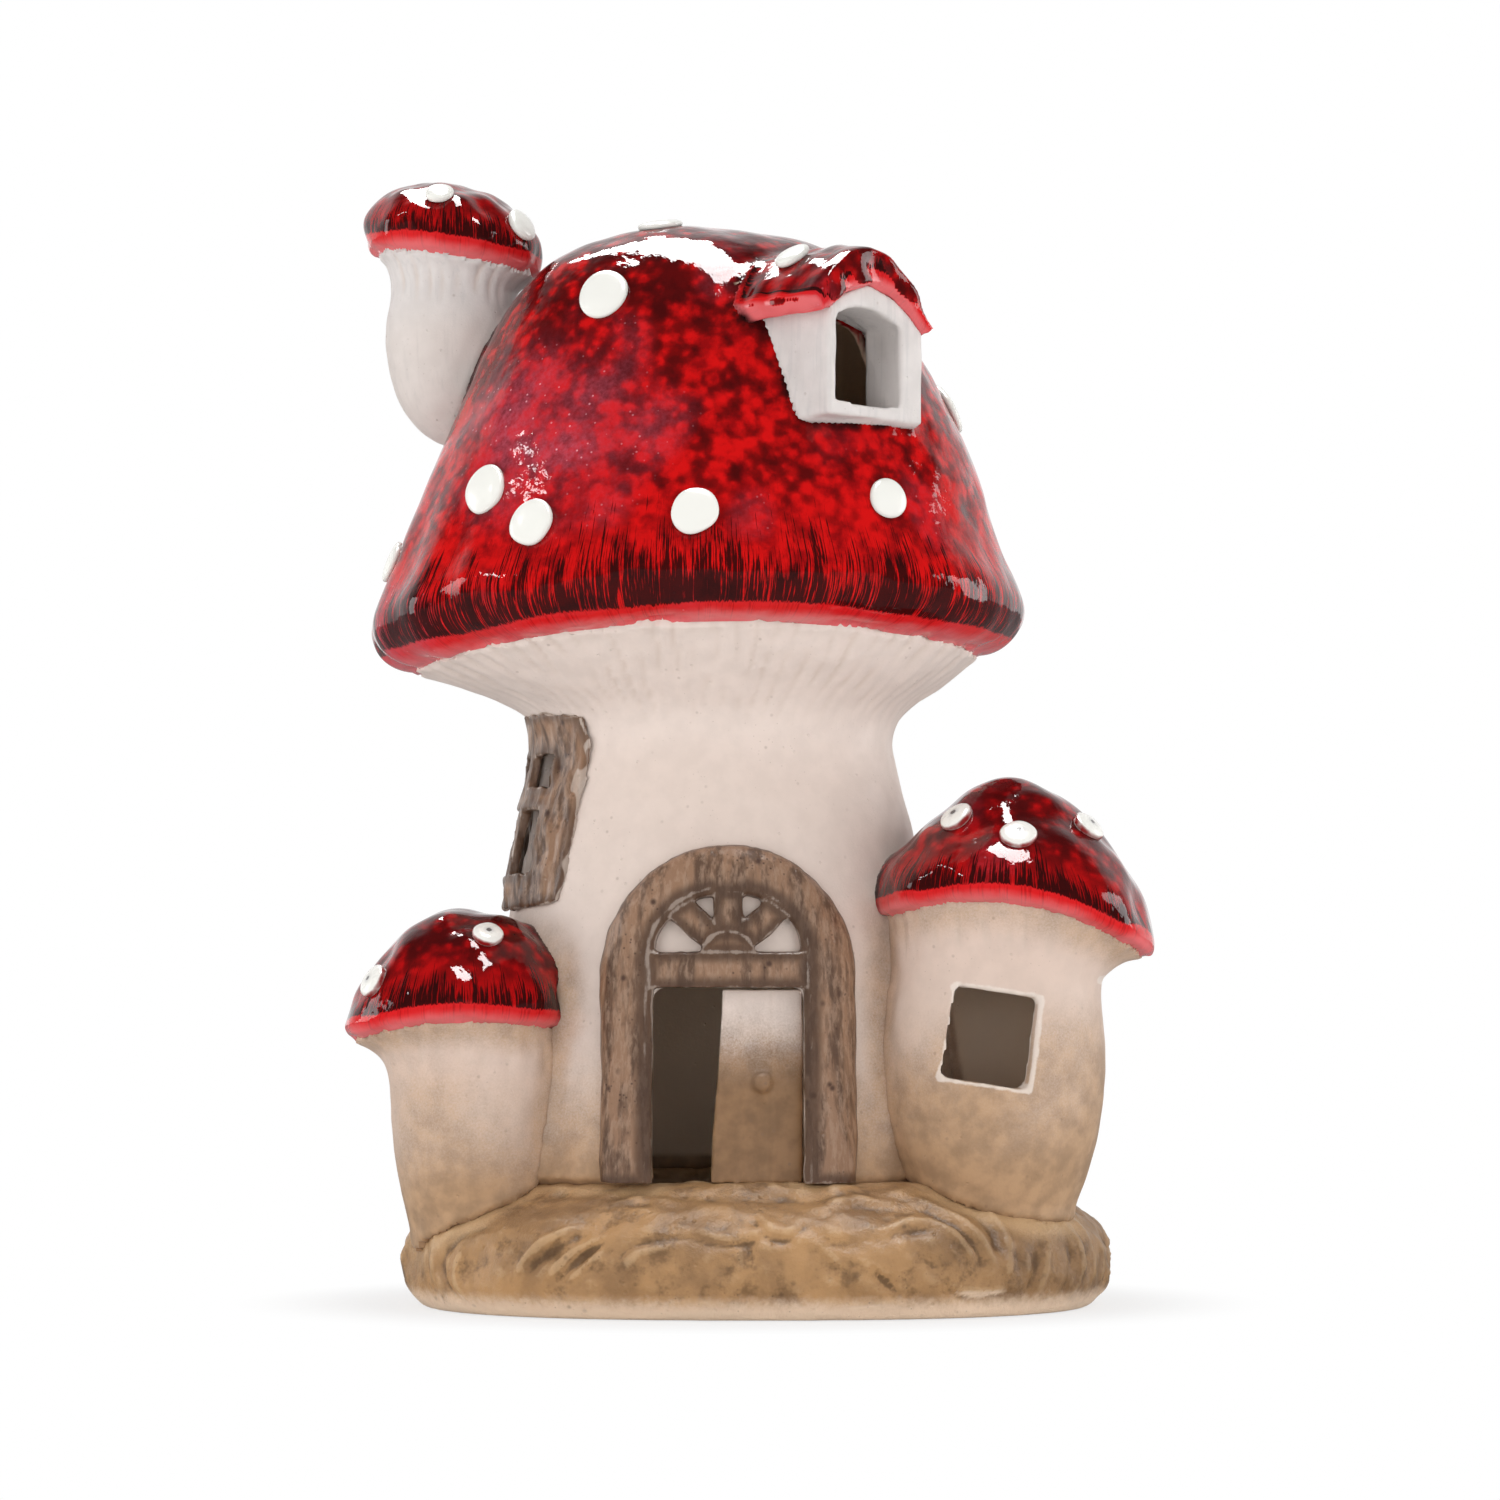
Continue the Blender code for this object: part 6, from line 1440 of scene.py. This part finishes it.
class Carving(Enum):
    """The strokes on the front: half width, height, and points across and up, in millimetres."""

    # The low ledge under the door, and the strands that run out from its ends.
    DOORSTEP = (
        (1.6, 0.8, (-41.0, 27.4), (-8.0, 28.2), (27.0, 27.4)),
        (1.3, -0.8, (-22.0, 26.0), (0.0, 26.4), (24.0, 26.0)),
        (0.8, 0.6, (-40.0, 23.6), (-30.0, 25.3), (-20.0, 24.8)),
        (0.9, 0.5, (-43.0, 21.0), (-36.0, 23.4), (-27.0, 23.4)),
        (0.8, -0.5, (-41.0, 22.0), (-34.0, 24.1), (-26.0, 24.1)),
        (0.8, 0.6, (19.5, 26.6), (24.0, 27.6), (30.0, 27.8)),
        (0.9, 0.8, (18.0, 24.6), (28.5, 25.4), (40.0, 23.6)),
        (0.8, -0.5, (18.0, 23.2), (28.0, 24.0), (37.0, 22.6)),
    )
    # The worn outlines of cobbles in the middle.
    COBBLES = (
        (0.8, -0.55, (-29.0, 11.5), (-26.5, 16.2), (-15.0, 17.8)),
        (1.1, 0.45, (-27.5, 11.0), (-24.5, 14.8), (-15.0, 16.2)),
        (0.8, -0.5, (-15.0, 17.8), (-6.0, 16.4), (2.0, 18.2)),
        (1.0, 0.4, (-14.0, 19.4), (-6.0, 18.0), (1.0, 19.8)),
        (1.0, -0.6, (-1.0, 17.3), (-1.6, 14.5), (-0.6, 11.0)),
        (0.8, -0.55, (-1.0, 22.5), (5.0, 17.2), (13.0, 21.5)),
        (1.2, 0.5, (0.0, 24.0), (5.5, 19.2), (12.0, 23.0)),
        (1.0, 0.5, (11.0, 18.4), (16.0, 14.8), (18.5, 11.5)),
        (1.4, -0.7, (17.0, 16.4), (21.0, 17.0), (24.0, 15.6)),
        (0.9, 0.5, (19.0, 14.2), (24.0, 12.8), (27.5, 9.0)),
        (0.9, -0.8, (24.5, 12.6), (27.0, 9.0), (30.5, 5.6)),
        (1.2, -0.5, (-22.0, 20.6), (-18.0, 21.6), (-14.0, 20.4)),
        (1.6, 0.5, (-24.0, 3.4), (-16.0, 4.8), (-8.0, 3.6)),
        (1.0, 0.6, (19.0, 3.4), (27.0, 4.0), (35.0, 3.6)),
        (1.3, -0.6, (33.0, 12.2), (36.0, 12.8), (38.0, 10.4)),
    )
    # The slanting folds and the deep groove at the left.
    LEFT_FOLDS = (
        (1.0, 0.9, (-49.5, 10.0), (-45.8, 15.8), (-39.5, 20.2)),
        (1.6, -1.2, (-47.0, 9.6), (-43.4, 14.8), (-38.0, 18.6)),
        (0.8, 0.7, (-43.4, 9.0), (-38.8, 14.8), (-33.0, 18.3)),
        (1.2, -0.9, (-41.4, 8.4), (-37.4, 13.2), (-34.4, 15.8)),
        (0.9, 0.6, (-39.2, 8.6), (-35.2, 13.4), (-31.0, 16.8)),
        (1.5, -1.4, (-62.0, 3.0), (-66.4, 9.5), (-64.6, 17.0), (-56.5, 18.8)),
        (0.9, 0.9, (-61.4, 4.0), (-63.0, 9.0), (-61.8, 14.5)),
        (2.4, -0.8, (-59.4, 10.0), (-58.6, 13.2), (-58.8, 16.4)),
        (4.4, 0.8, (-75.0, 4.0), (-78.4, 12.0), (-74.0, 20.0)),
        (4.0, 0.6, (-54.6, 4.0), (-52.6, 8.8), (-53.6, 14.0)),
        (0.8, -0.6, (-72.6, 18.0), (-70.6, 11.0), (-71.4, 4.5)),
        (1.0, 0.5, (-69.6, 17.6), (-68.8, 12.0), (-69.0, 6.0)),
    )
    # The strands that sweep out and curl down at the right.
    RIGHT_SWIRL = (
        (0.9, 0.7, (28.0, 19.2), (34.4, 20.8), (41.0, 20.8)),
        (1.1, -0.9, (29.0, 17.6), (35.0, 19.0), (40.0, 18.6)),
        (1.1, 0.9, (35.5, 26.4), (43.6, 24.2), (48.0, 18.6), (49.4, 10.4)),
        (0.9, -0.9, (35.0, 24.4), (41.6, 22.4), (45.6, 17.4), (47.0, 10.0)),
        (0.9, 0.7, (38.5, 21.6), (43.2, 18.4), (45.0, 12.0)),
        (0.8, 0.5, (39.6, 16.8), (42.0, 14.4), (42.8, 11.4)),
        (1.0, 0.7, (41.0, 7.4), (47.0, 6.2), (52.5, 7.0)),
        (1.1, -0.6, (41.0, 5.4), (47.0, 4.2), (53.0, 5.0)),
    )
    # The upright folds at the right end.
    RIGHT_FOLDS = (
        (1.9, -1.3, (50.6, 22.5), (51.8, 18.8), (50.4, 15.0)),
        (1.1, 1.1, (54.6, 23.4), (53.6, 16.4), (51.8, 9.0)),
        (1.4, -1.0, (59.2, 15.0), (58.2, 10.0), (56.6, 5.4)),
        (1.1, 1.0, (61.8, 16.0), (60.2, 10.0), (58.8, 4.6)),
        (1.2, -1.0, (65.4, 18.4), (66.2, 12.0), (64.6, 5.0)),
        (0.9, 0.9, (67.8, 19.4), (68.6, 11.4), (66.8, 4.0)),
        (0.9, -0.8, (69.8, 19.0), (70.8, 11.4), (69.4, 4.4)),
        (0.9, 0.9, (71.6, 19.6), (72.8, 11.4), (71.6, 4.0)),
        (1.1, 0.7, (75.6, 17.0), (77.0, 11.0), (76.0, 5.0)),
    )


@dataclass
class Mound(Boxed):
    """The ground that the house stands on, carved like swept straw.

    Attributes:
        node: its CAD node.
        voxel: the fine mesh's step, in millimetres.
        straws: how many strands lie round the sides and the back.
    """

    node: str = "ground_mound"
    voxel: float = 1.0
    straws: int = 150

    def front(self) -> list[Stroke]:
        """The carving of the front, its points across and up in front view."""
        return [Stroke.through(*row) for rows in Carving for row in rows.value]

    def straw(self) -> list[Stroke]:
        """Loose strands round the sides and the back, as millimetres round and up."""
        chance = np.random.default_rng(SEED)
        found = []
        for _ in range(self.straws):
            arc = chance.uniform(92.0, 356.0)
            level = chance.uniform(3.0, 25.0)
            slope = chance.normal(1.15, 0.3) * chance.choice([-1.0, 1.0])
            size = chance.uniform(6.0, 17.0)
            bow = chance.uniform(-3.0, 3.0)
            run, climb = size * math.cos(slope), size * math.sin(slope)
            ends = [(arc + run * t, level + climb * t) for t in (-0.5, 0.5)]
            crown = (arc - bow * math.sin(slope), level + bow * math.cos(slope))
            wide, high = chance.uniform(0.9, 1.9), chance.uniform(-0.8, 0.9)
            stroke = Stroke.through(wide, high, ends[0], crown, ends[1])
            stroke.line[:, 1] = np.clip(stroke.line[:, 1], 1.5, 27.5)
            found.append(stroke)
        return found

    def build(self) -> None:
        """Makes the mound."""
        shape = Sculpture.from_node(self.node, "mound_straw")
        shape.cast(self.voxel, rounds=5)
        places = shape.points()
        arc, around = self.unroll(places)
        level = places[:, 2] / MM
        outer = (1.0 - self.hollow(shape)) * ease(level, 0.3, 2.5)
        lift = 0.45 * undulation(places, 20.0 * MM, SEED + 31)
        lift += 0.2 * undulation(places, 6.0 * MM, SEED + 32)
        strokes = self.front()
        for stroke in strokes:
            across = np.clip(stroke.line[:, 0] * MM / self.half().x, -0.99, 0.99)
            stroke.line[:, 0] = self.walk(np.arcsin(across))
        for stroke in strokes + self.straw():
            lift += stroke.lift(arc, level)
            lift += stroke.lift(arc + around, level)
        shape.push(lift * outer)
        self.mark(shape)
        shape.finish("house", "tan_ceramic", STRAW, self.node)

    def unroll(self, places: np.ndarray) -> tuple[np.ndarray, float]:
        """The places' distance round the mound from the middle of its front.

        Args:
            places: in metres.

        Returns:
            The distances in millimetres, to the right, and the whole way round.
        """
        half = self.half()
        way = places - np.array(self.centre())
        turn = np.arctan2(way[:, 0] / half.x, -way[:, 1] / half.y)
        return self.walk(turn), 2.0 * float(self.walk(np.array([math.pi]))[0])

    def half(self) -> Vector:
        """Half the size of the mound's box."""
        low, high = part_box(self.node)
        return (high - low) / 2.0

    def walk(self, turn: np.ndarray) -> np.ndarray:
        """The distance round the mound to each turn from its front's middle, in millimetres."""
        half = self.half()
        stops = np.linspace(-math.pi, math.pi, 181)
        speed = np.hypot(half.x * np.cos(stops), half.y * np.sin(stops)) / MM
        walked = np.concatenate([[0.0], np.cumsum((speed[1:] + speed[:-1]) / 2.0 * np.diff(stops))])
        return np.interp(turn, stops, walked - walked[90])

    def hollow(self, shape: Sculpture) -> np.ndarray:
        """1 on the inner side and on the underside, 0 on the carved outside."""
        low_down = ease(shape.points()[:, 2], 27.0 * MM, 24.0 * MM)
        inner = shape.hollow_side(self.centre()) * low_down
        under = ease(-shape.normals()[:, 2], 0.5, 0.8)
        return np.maximum(inner, under)

    def mark(self, shape: Sculpture) -> None:
        """Keeps on the vertices what the paint needs to know."""
        places = shape.points()
        level = places[:, 2] / MM
        relief = shape.relief()
        shape.paint("ridge", np.clip(relief, -1.0, 1.0))
        shape.paint("height", level)
        shape.paint("inside", self.hollow(shape))
        gaps, _ = shape.distance(surface_of("stalk", "left_stem", "right_stem"), 8.0)
        front = ease(-places[:, 1] / MM, 20.0, 45.0)
        shape.paint("pale", ease(gaps, 7.0, 1.0) * (0.35 + 0.45 * front))
        cloud = undulation(places, 16.0 * MM, SEED + 33)
        # Painted shade, growing towards the right side of the mound.
        shape.paint("painted_right_shade", 0.4 * ease(places[:, 0] / MM + 9.0 * cloud, 22.0, 62.0))


@dataclass
class Joinery(Wall):
    """A brown surround: its bare edges show where the brush stopped.

    Attributes:
        grain: how deep its carved fibre is, in millimetres.
    """

    grain: float = 0.16

    def carve(self, shape: Sculpture, outer: np.ndarray) -> np.ndarray:
        """Roughens the surface like carved timber."""
        places = shape.points() * np.array([1.0, 1.0, 0.25])
        fibre = undulation(places, 2.6 * MM, SEED + 41, 40)
        knots = undulation(shape.points(), 9.0 * MM, SEED + 42)
        shape.push(self.grain * fibre + 1.6 * self.grain * knots)
        return np.zeros(len(places))

    def mark(self, shape: Sculpture) -> None:
        """Keeps on the vertices what the paint needs to know."""
        shape.paint("ridge", np.clip(shape.relief(8), -1.0, 1.0))
        gaps, _ = shape.distance(surface_of("stalk"), 4.0)
        cloud = undulation(shape.points(), 8.0 * MM, SEED + 43)
        shape.paint("bare", ease(gaps + 0.3 * cloud, 1.1, 0.5))
        shape.paint("arris", shape.arris_distance(self.node, 5.0))


@dataclass
class DoorLeaf(Wall):
    """The half-open leaf: faint planks and a knob, sprayed tan at its foot.

    Attributes:
        planks: how many it is scored into.
    """

    planks: int = 3

    def carve(self, shape: Sculpture, outer: np.ndarray) -> np.ndarray:
        """Scores the planks; returns the shade painted into their grooves."""
        places = shape.points()
        low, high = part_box(self.node)
        share = (places[:, 0] - low.x) / (high.x - low.x) * self.planks
        score = np.exp(-((share - np.round(share)) / 0.06) ** 2)
        front = ease(-shape.normals()[:, 1], 0.3, 0.8)
        shape.push(-0.2 * score * front)
        return 0.3 * score * front


@dataclass
class House:
    """The ceramic house: its caps, its walls and the mound."""

    def caps(self) -> list[Cap]:
        """The caps and the dormer's roof."""
        main = [f"cap_spot_{n}" for n in range(1, 14)]
        left = [f"left_cap_spot_{n}" for n in range(1, 4)]
        right = [f"right_cap_spot_{n}" for n in range(1, 5)]
        chimney = [f"chimney_cap_spot_{n}" for n in range(1, 4)]
        raised = ("dormer_walls", "dormer_roof", "chimney_stem")
        return [
            MainCap("main_cap", "stalk", raised, main, MAIN_GLAZE, 1.1, 0.32, 76.0),
            Cap(
                "left_cap", "left_stem", ("stalk",), left,
                SMALL_GLAZE, 0.7, 0.35, 26.0, pinhole=True,
            ),
            Cap(
                "right_cap", "right_stem", ("stalk",), right,
                SMALL_GLAZE, 0.8, 0.4, 32.0, pinhole=True,
            ),
            Cap(
                "chimney_cap", "chimney_stem", ("main_cap",), chimney, SMALL_GLAZE, 0.7, 0.35, 21.5
            ),
            DormerRoof(
                "dormer_roof", "dormer_walls", ("main_cap",), ["dormer_roof_spot"],
                ROOF_GLAZE, 0.6, 0.25, 20.0,
            ),
        ]

    def walls(self) -> list[Wall]:
        """The stalk, the stems, the dormer's walls, the door and the window."""
        around = ("left_stem", "right_stem", "ground_mound", "left_cap", "right_cap", "main_cap")
        left = ("stalk", "ground_mound", "left_cap")
        right = ("stalk", "ground_mound", "right_cap")
        cream = "cream_ceramic"
        return [
            GilledWall(
                "stalk", around,
                CREAM_CLAY, cream, 1.1, sprayed=(22.0, 78.0), gills=72, collar=26.0, depth=0.4,
            ),
            GilledWall(
                "left_stem", left, STEM_CLAY, cream, gills=26, collar=15.0, sprayed=(10.0, 74.0)
            ),
            GilledWall(
                "right_stem", right, STEM_CLAY, cream, gills=30, collar=16.0, sprayed=(26.0, 86.0)
            ),
            GilledWall(
                "chimney_stem",
                ("main_cap", "chimney_cap"),
                WHITE_CLAY,
                "white_ceramic",
                gills=26,
                collar=16.0,
                voxel=0.7,
                sprayed=(10.0, 20.0),
            ),
            Wall(
                "dormer_walls", ("main_cap",),
                WHITE_CLAY, "white_ceramic", 0.6, 0.18, 30.0, (10.0, 20.0), False,
            ),
            DoorLeaf("door_leaf", (), LEAF_CLAY, cream, 0.5, 0.12, 30.0, (40.0, 84.0), False),
            Joinery(
                "door_surround", (),
                DOOR_BROWN, "brown_ceramic", 0.5, 0.15, 50.0, hollow=False, grain=0.06,
            ),
            Joinery(
                "side_window_frame", (),
                WINDOW_BROWN, "brown_ceramic", 0.5, 0.3, 50.0, hollow=False, grain=0.16,
            ),
        ]

    def build(self) -> None:
        """Makes every piece of the house."""
        Mound().build()
        for piece in self.walls() + self.caps():
            piece.build()


@dataclass
class LightUnit:
    """The battery light unit: its parts keep their solids and get their finishes.

    Attributes:
        finishes: each CAD node's finish.
    """

    finishes: dict[str, Finish] = field(
        default_factory=lambda: {
            "unit_body": CASE,
            "unit_lid": CASE,
            "battery_cover": Moulded("black_cover", (0.024, 0.024, 0.025), 0.46, 0.5, 0.035),
            "switch_knob": Moulded("knob_plastic", (0.035, 0.035, 0.037), 0.36, 0.4, 0.03),
            "seal_ring": Moulded("ring_rubber", (0.21, 0.21, 0.20), 0.62, 0.6, 0.03),
            "cell_1": CELL_WRAP,
            "cell_2": CELL_WRAP,
            "circuit_board": Moulded("board_lacquer", (0.02, 0.17, 0.07), 0.3, 0.5, 0.01),
            "switch_body": PLATED,
            "cover_screw": Moulded("screw_steel", (0.55, 0.55, 0.53), 0.26, 0.5, 0.01, 1.0),
            "contact_plate_1": PLATED,
            "contact_plate_2": PLATED,
            "contact_spring_1": SPRING_WIRE,
            "contact_spring_2": SPRING_WIRE,
            "red_lead": Moulded("red_sleeve", (0.5, 0.02, 0.02), 0.32, 0.6, 0.01),
            "black_lead": Moulded("black_sleeve", (0.015, 0.015, 0.016), 0.32, 0.6, 0.01),
            "led_lamp": LampLens("lamp_lens"),
        }
    )

    def build(self) -> None:
        """Gives each part its finish."""
        for node, finish in self.finishes.items():
            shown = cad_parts[node]
            if not shown.material_slots:
                shown.data.materials.append(None)
            for holder in shown.material_slots:
                holder.material = finish.material()
            log.info("%s: %s", node, finish.name)


@dataclass(frozen=True)
class Softbox:
    """A softbox that faces the house.

    Attributes:
        name: its name.
        place: where it hangs, in metres.
        size: its width and height.
        watts: its power.
        mirrored: True if it shows in the glaze alone, False if it lights the clay alone.
    """

    name: str
    place: tuple[float, float, float]
    size: tuple[float, float]
    watts: float
    mirrored: bool = False

    def build(self, aim: Vector) -> None:
        """Hangs it, facing a point."""
        light = bpy.data.lights.new(self.name, "AREA")
        light.shape = "RECTANGLE"
        light.size, light.size_y = self.size
        light.energy = self.watts
        thing = bpy.data.objects.new(self.name, light)
        thing.visible_camera = False
        thing.visible_transmission = self.mirrored
        thing.visible_glossy = self.mirrored
        thing.visible_diffuse = not self.mirrored
        bpy.context.scene.collection.objects.link(thing)
        turned(thing, Vector(self.place), aim)


FILLS = (
    Softbox("left_fill", (-0.75, -1.0, 0.5), (0.7, 0.7), 1.7),
    Softbox("right_fill", (0.75, -1.0, 0.45), (0.7, 0.7), 2.0),
    Softbox("top_fill", (0.0, -0.1, 1.2), (0.8, 0.8), 3.2),
    Softbox("low_card", (0.0, -0.5, 0.004), (1.2, 0.3), 1.8),
    Softbox("low_left", (-0.55, -0.1, 0.004), (0.4, 0.5), 1.7),
    Softbox("low_right", (0.55, -0.1, 0.004), (0.4, 0.5), 1.5),
)
SHEENS = (
    Softbox("top_sheen", (-0.045, 0.09, 1.15), (0.35, 1.26), 52.0, True),
    Softbox("left_sheen", (-0.86, -0.24, 0.725), (0.08, 0.04), 0.3, True),
    Softbox("left_strip", (-1.5, 0.25, 0.25), (0.45, 1.1), 7.0, True),
    Softbox("right_strip", (1.5, 0.25, 0.3), (0.5, 1.1), 9.0, True),
)


@dataclass
class Studio:
    """The camera, the lamps, the pale floor and the white surround.

    Attributes:
        eye: where the camera stands, in metres.
        aim: what it looks at.
        lit: what the lamps face.
        half_view: half the view's width at the aim, over the distance to it.
        floor: the floor's half width.
        paper: how pale the floor is.
        ambient: how bright the surround is on the clay.
        backdrop: how bright it is in the glaze, behind the house and elsewhere.
        dim: how bright the floor is in the glaze.
        glow: how much of the floor's brightness to the eye is its own beside the house.
        near: how far from the middle that share starts to rise, over the width, in metres.
        far: where it is whole.
    """

    eye: Vector = field(default_factory=lambda: Vector((0.0, -1.0, 0.073)))
    aim: Vector = field(default_factory=lambda: Vector((0.0, 0.0, 0.127)))
    lit: Vector = field(default_factory=lambda: Vector((0.0, 0.0, 0.13)))
    half_view: float = 0.1736
    floor: float = 6.0
    paper: float = 0.82
    ambient: float = 0.55
    backdrop: tuple[float, float] = (1.0, 0.05)
    dim: float = 0.3
    glow: float = 0.72
    near: float = 0.082
    far: float = 0.122

    def build(self) -> None:
        """Sets up the studio."""
        self.camera()
        for lamp in FILLS + SHEENS:
            lamp.build(self.lit)
        self.surround()
        self.ground()
        bpy.context.scene.view_settings.view_transform = "Standard"

    def camera(self) -> None:
        """Adds the camera at the photograph's angle."""
        lens = bpy.data.cameras.new("camera")
        lens.angle = 2.0 * math.atan(self.half_view)
        lens.clip_start = 0.01
        thing = bpy.data.objects.new("camera", lens)
        bpy.context.scene.collection.objects.link(thing)
        turned(thing, self.eye, self.aim)
        bpy.context.scene.camera = thing

    def surround(self) -> None:
        """Makes the world white to the camera and behind the house, and soft grey to the clay."""
        world = bpy.data.worlds.new("surround")
        bpy.context.scene.world = world
        world.use_nodes = True
        bench = Bench(world.node_tree)
        seen = bench.add("LightPath")
        way = bench.add("SeparateXYZ")
        bench.feed(way.inputs[0], bench.add("TexCoord").outputs["Generated"])
        behind = bench.step(way.outputs["Y"], 0.2, 0.6)
        bright, dark = self.backdrop
        mirrored = bench.linear(behind, bright - dark, dark)
        soft = bench.less(mirrored, self.ambient)
        strength = bench.linear(seen.outputs["Is Glossy Ray"], soft, self.ambient)
        camera, through = seen.outputs["Is Camera Ray"], seen.outputs["Is Transmission Ray"]
        direct = bench.math("MAXIMUM", camera, through)
        back = world.node_tree.nodes["Background"]
        back.inputs["Color"].default_value = (1.0, 1.0, 1.0, 1.0)
        bench.feed(back.inputs["Strength"], bench.math("MAXIMUM", strength, direct))

    def ground(self) -> None:
        """Adds the floor: pale, clear from below, white far off and dim in the glaze."""
        deselect()
        bpy.ops.mesh.primitive_plane_add(size=2.0 * self.floor, location=(0.0, 0.0, -0.0002))
        floor = bpy.context.object
        floor.name = "floor"
        material = bpy.data.materials.new("floor_paper")
        material.use_nodes = True
        bench = Bench(material.node_tree)
        paper = material.node_tree.nodes["Principled BSDF"]
        paper.inputs["Base Color"].default_value = (self.paper, self.paper, self.paper, 1.0)
        paper.inputs["Roughness"].default_value = 0.9
        paper.inputs["Specular IOR Level"].default_value = 0.0
        glow = bench.add("Emission")
        glow.inputs["Strength"].default_value = 1.0
        seen = bench.add("LightPath")
        place = bench.add("TexCoord").outputs["Object"]
        round_base = bench.add("VectorMath", operation="MULTIPLY")
        bench.feed(round_base.inputs[0], place)
        round_base.inputs[1].default_value = (1.0, 1.25, 1.0)
        reach = bench.add("VectorMath", operation="LENGTH")
        bench.feed(reach.inputs[0], round_base.outputs[0])
        far = bench.step(reach.outputs["Value"], self.near, self.far)
        share = bench.linear(far, 1.0 - self.glow, self.glow)
        mask = bench.times(share, seen.outputs["Is Camera Ray"])
        shown = bench.add("MixShader")
        bench.feed(shown.inputs[0], mask)
        bench.feed(shown.inputs[1], paper.outputs[0])
        bench.feed(shown.inputs[2], glow.outputs[0])
        dim = bench.add("Emission")
        dim.inputs["Strength"].default_value = self.dim
        mirrored = bench.add("MixShader")
        bench.feed(mirrored.inputs[0], seen.outputs["Is Glossy Ray"])
        bench.feed(mirrored.inputs[1], shown.outputs[0])
        bench.feed(mirrored.inputs[2], dim.outputs[0])
        below = bench.add("MixShader")
        bench.feed(below.inputs[0], bench.add("NewGeometry").outputs["Backfacing"])
        bench.feed(below.inputs[1], mirrored.outputs[0])
        bench.feed(below.inputs[2], bench.add("BsdfTransparent").outputs[0])
        bench.feed(material.node_tree.nodes["Material Output"].inputs["Surface"], below.outputs[0])
        floor.data.materials.append(material)


def keep_sizes() -> None:
    """Updates the view layer.
    """
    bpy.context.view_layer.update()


def main() -> None:
    """Builds the house, the light unit and the studio."""
    logging.basicConfig(level=logging.INFO, format="%(name)s %(message)s")
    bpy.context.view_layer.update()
    Studio().build()
    House().build()
    LightUnit().build()
    keep_sizes()


if __name__ == "__main__":
    main()
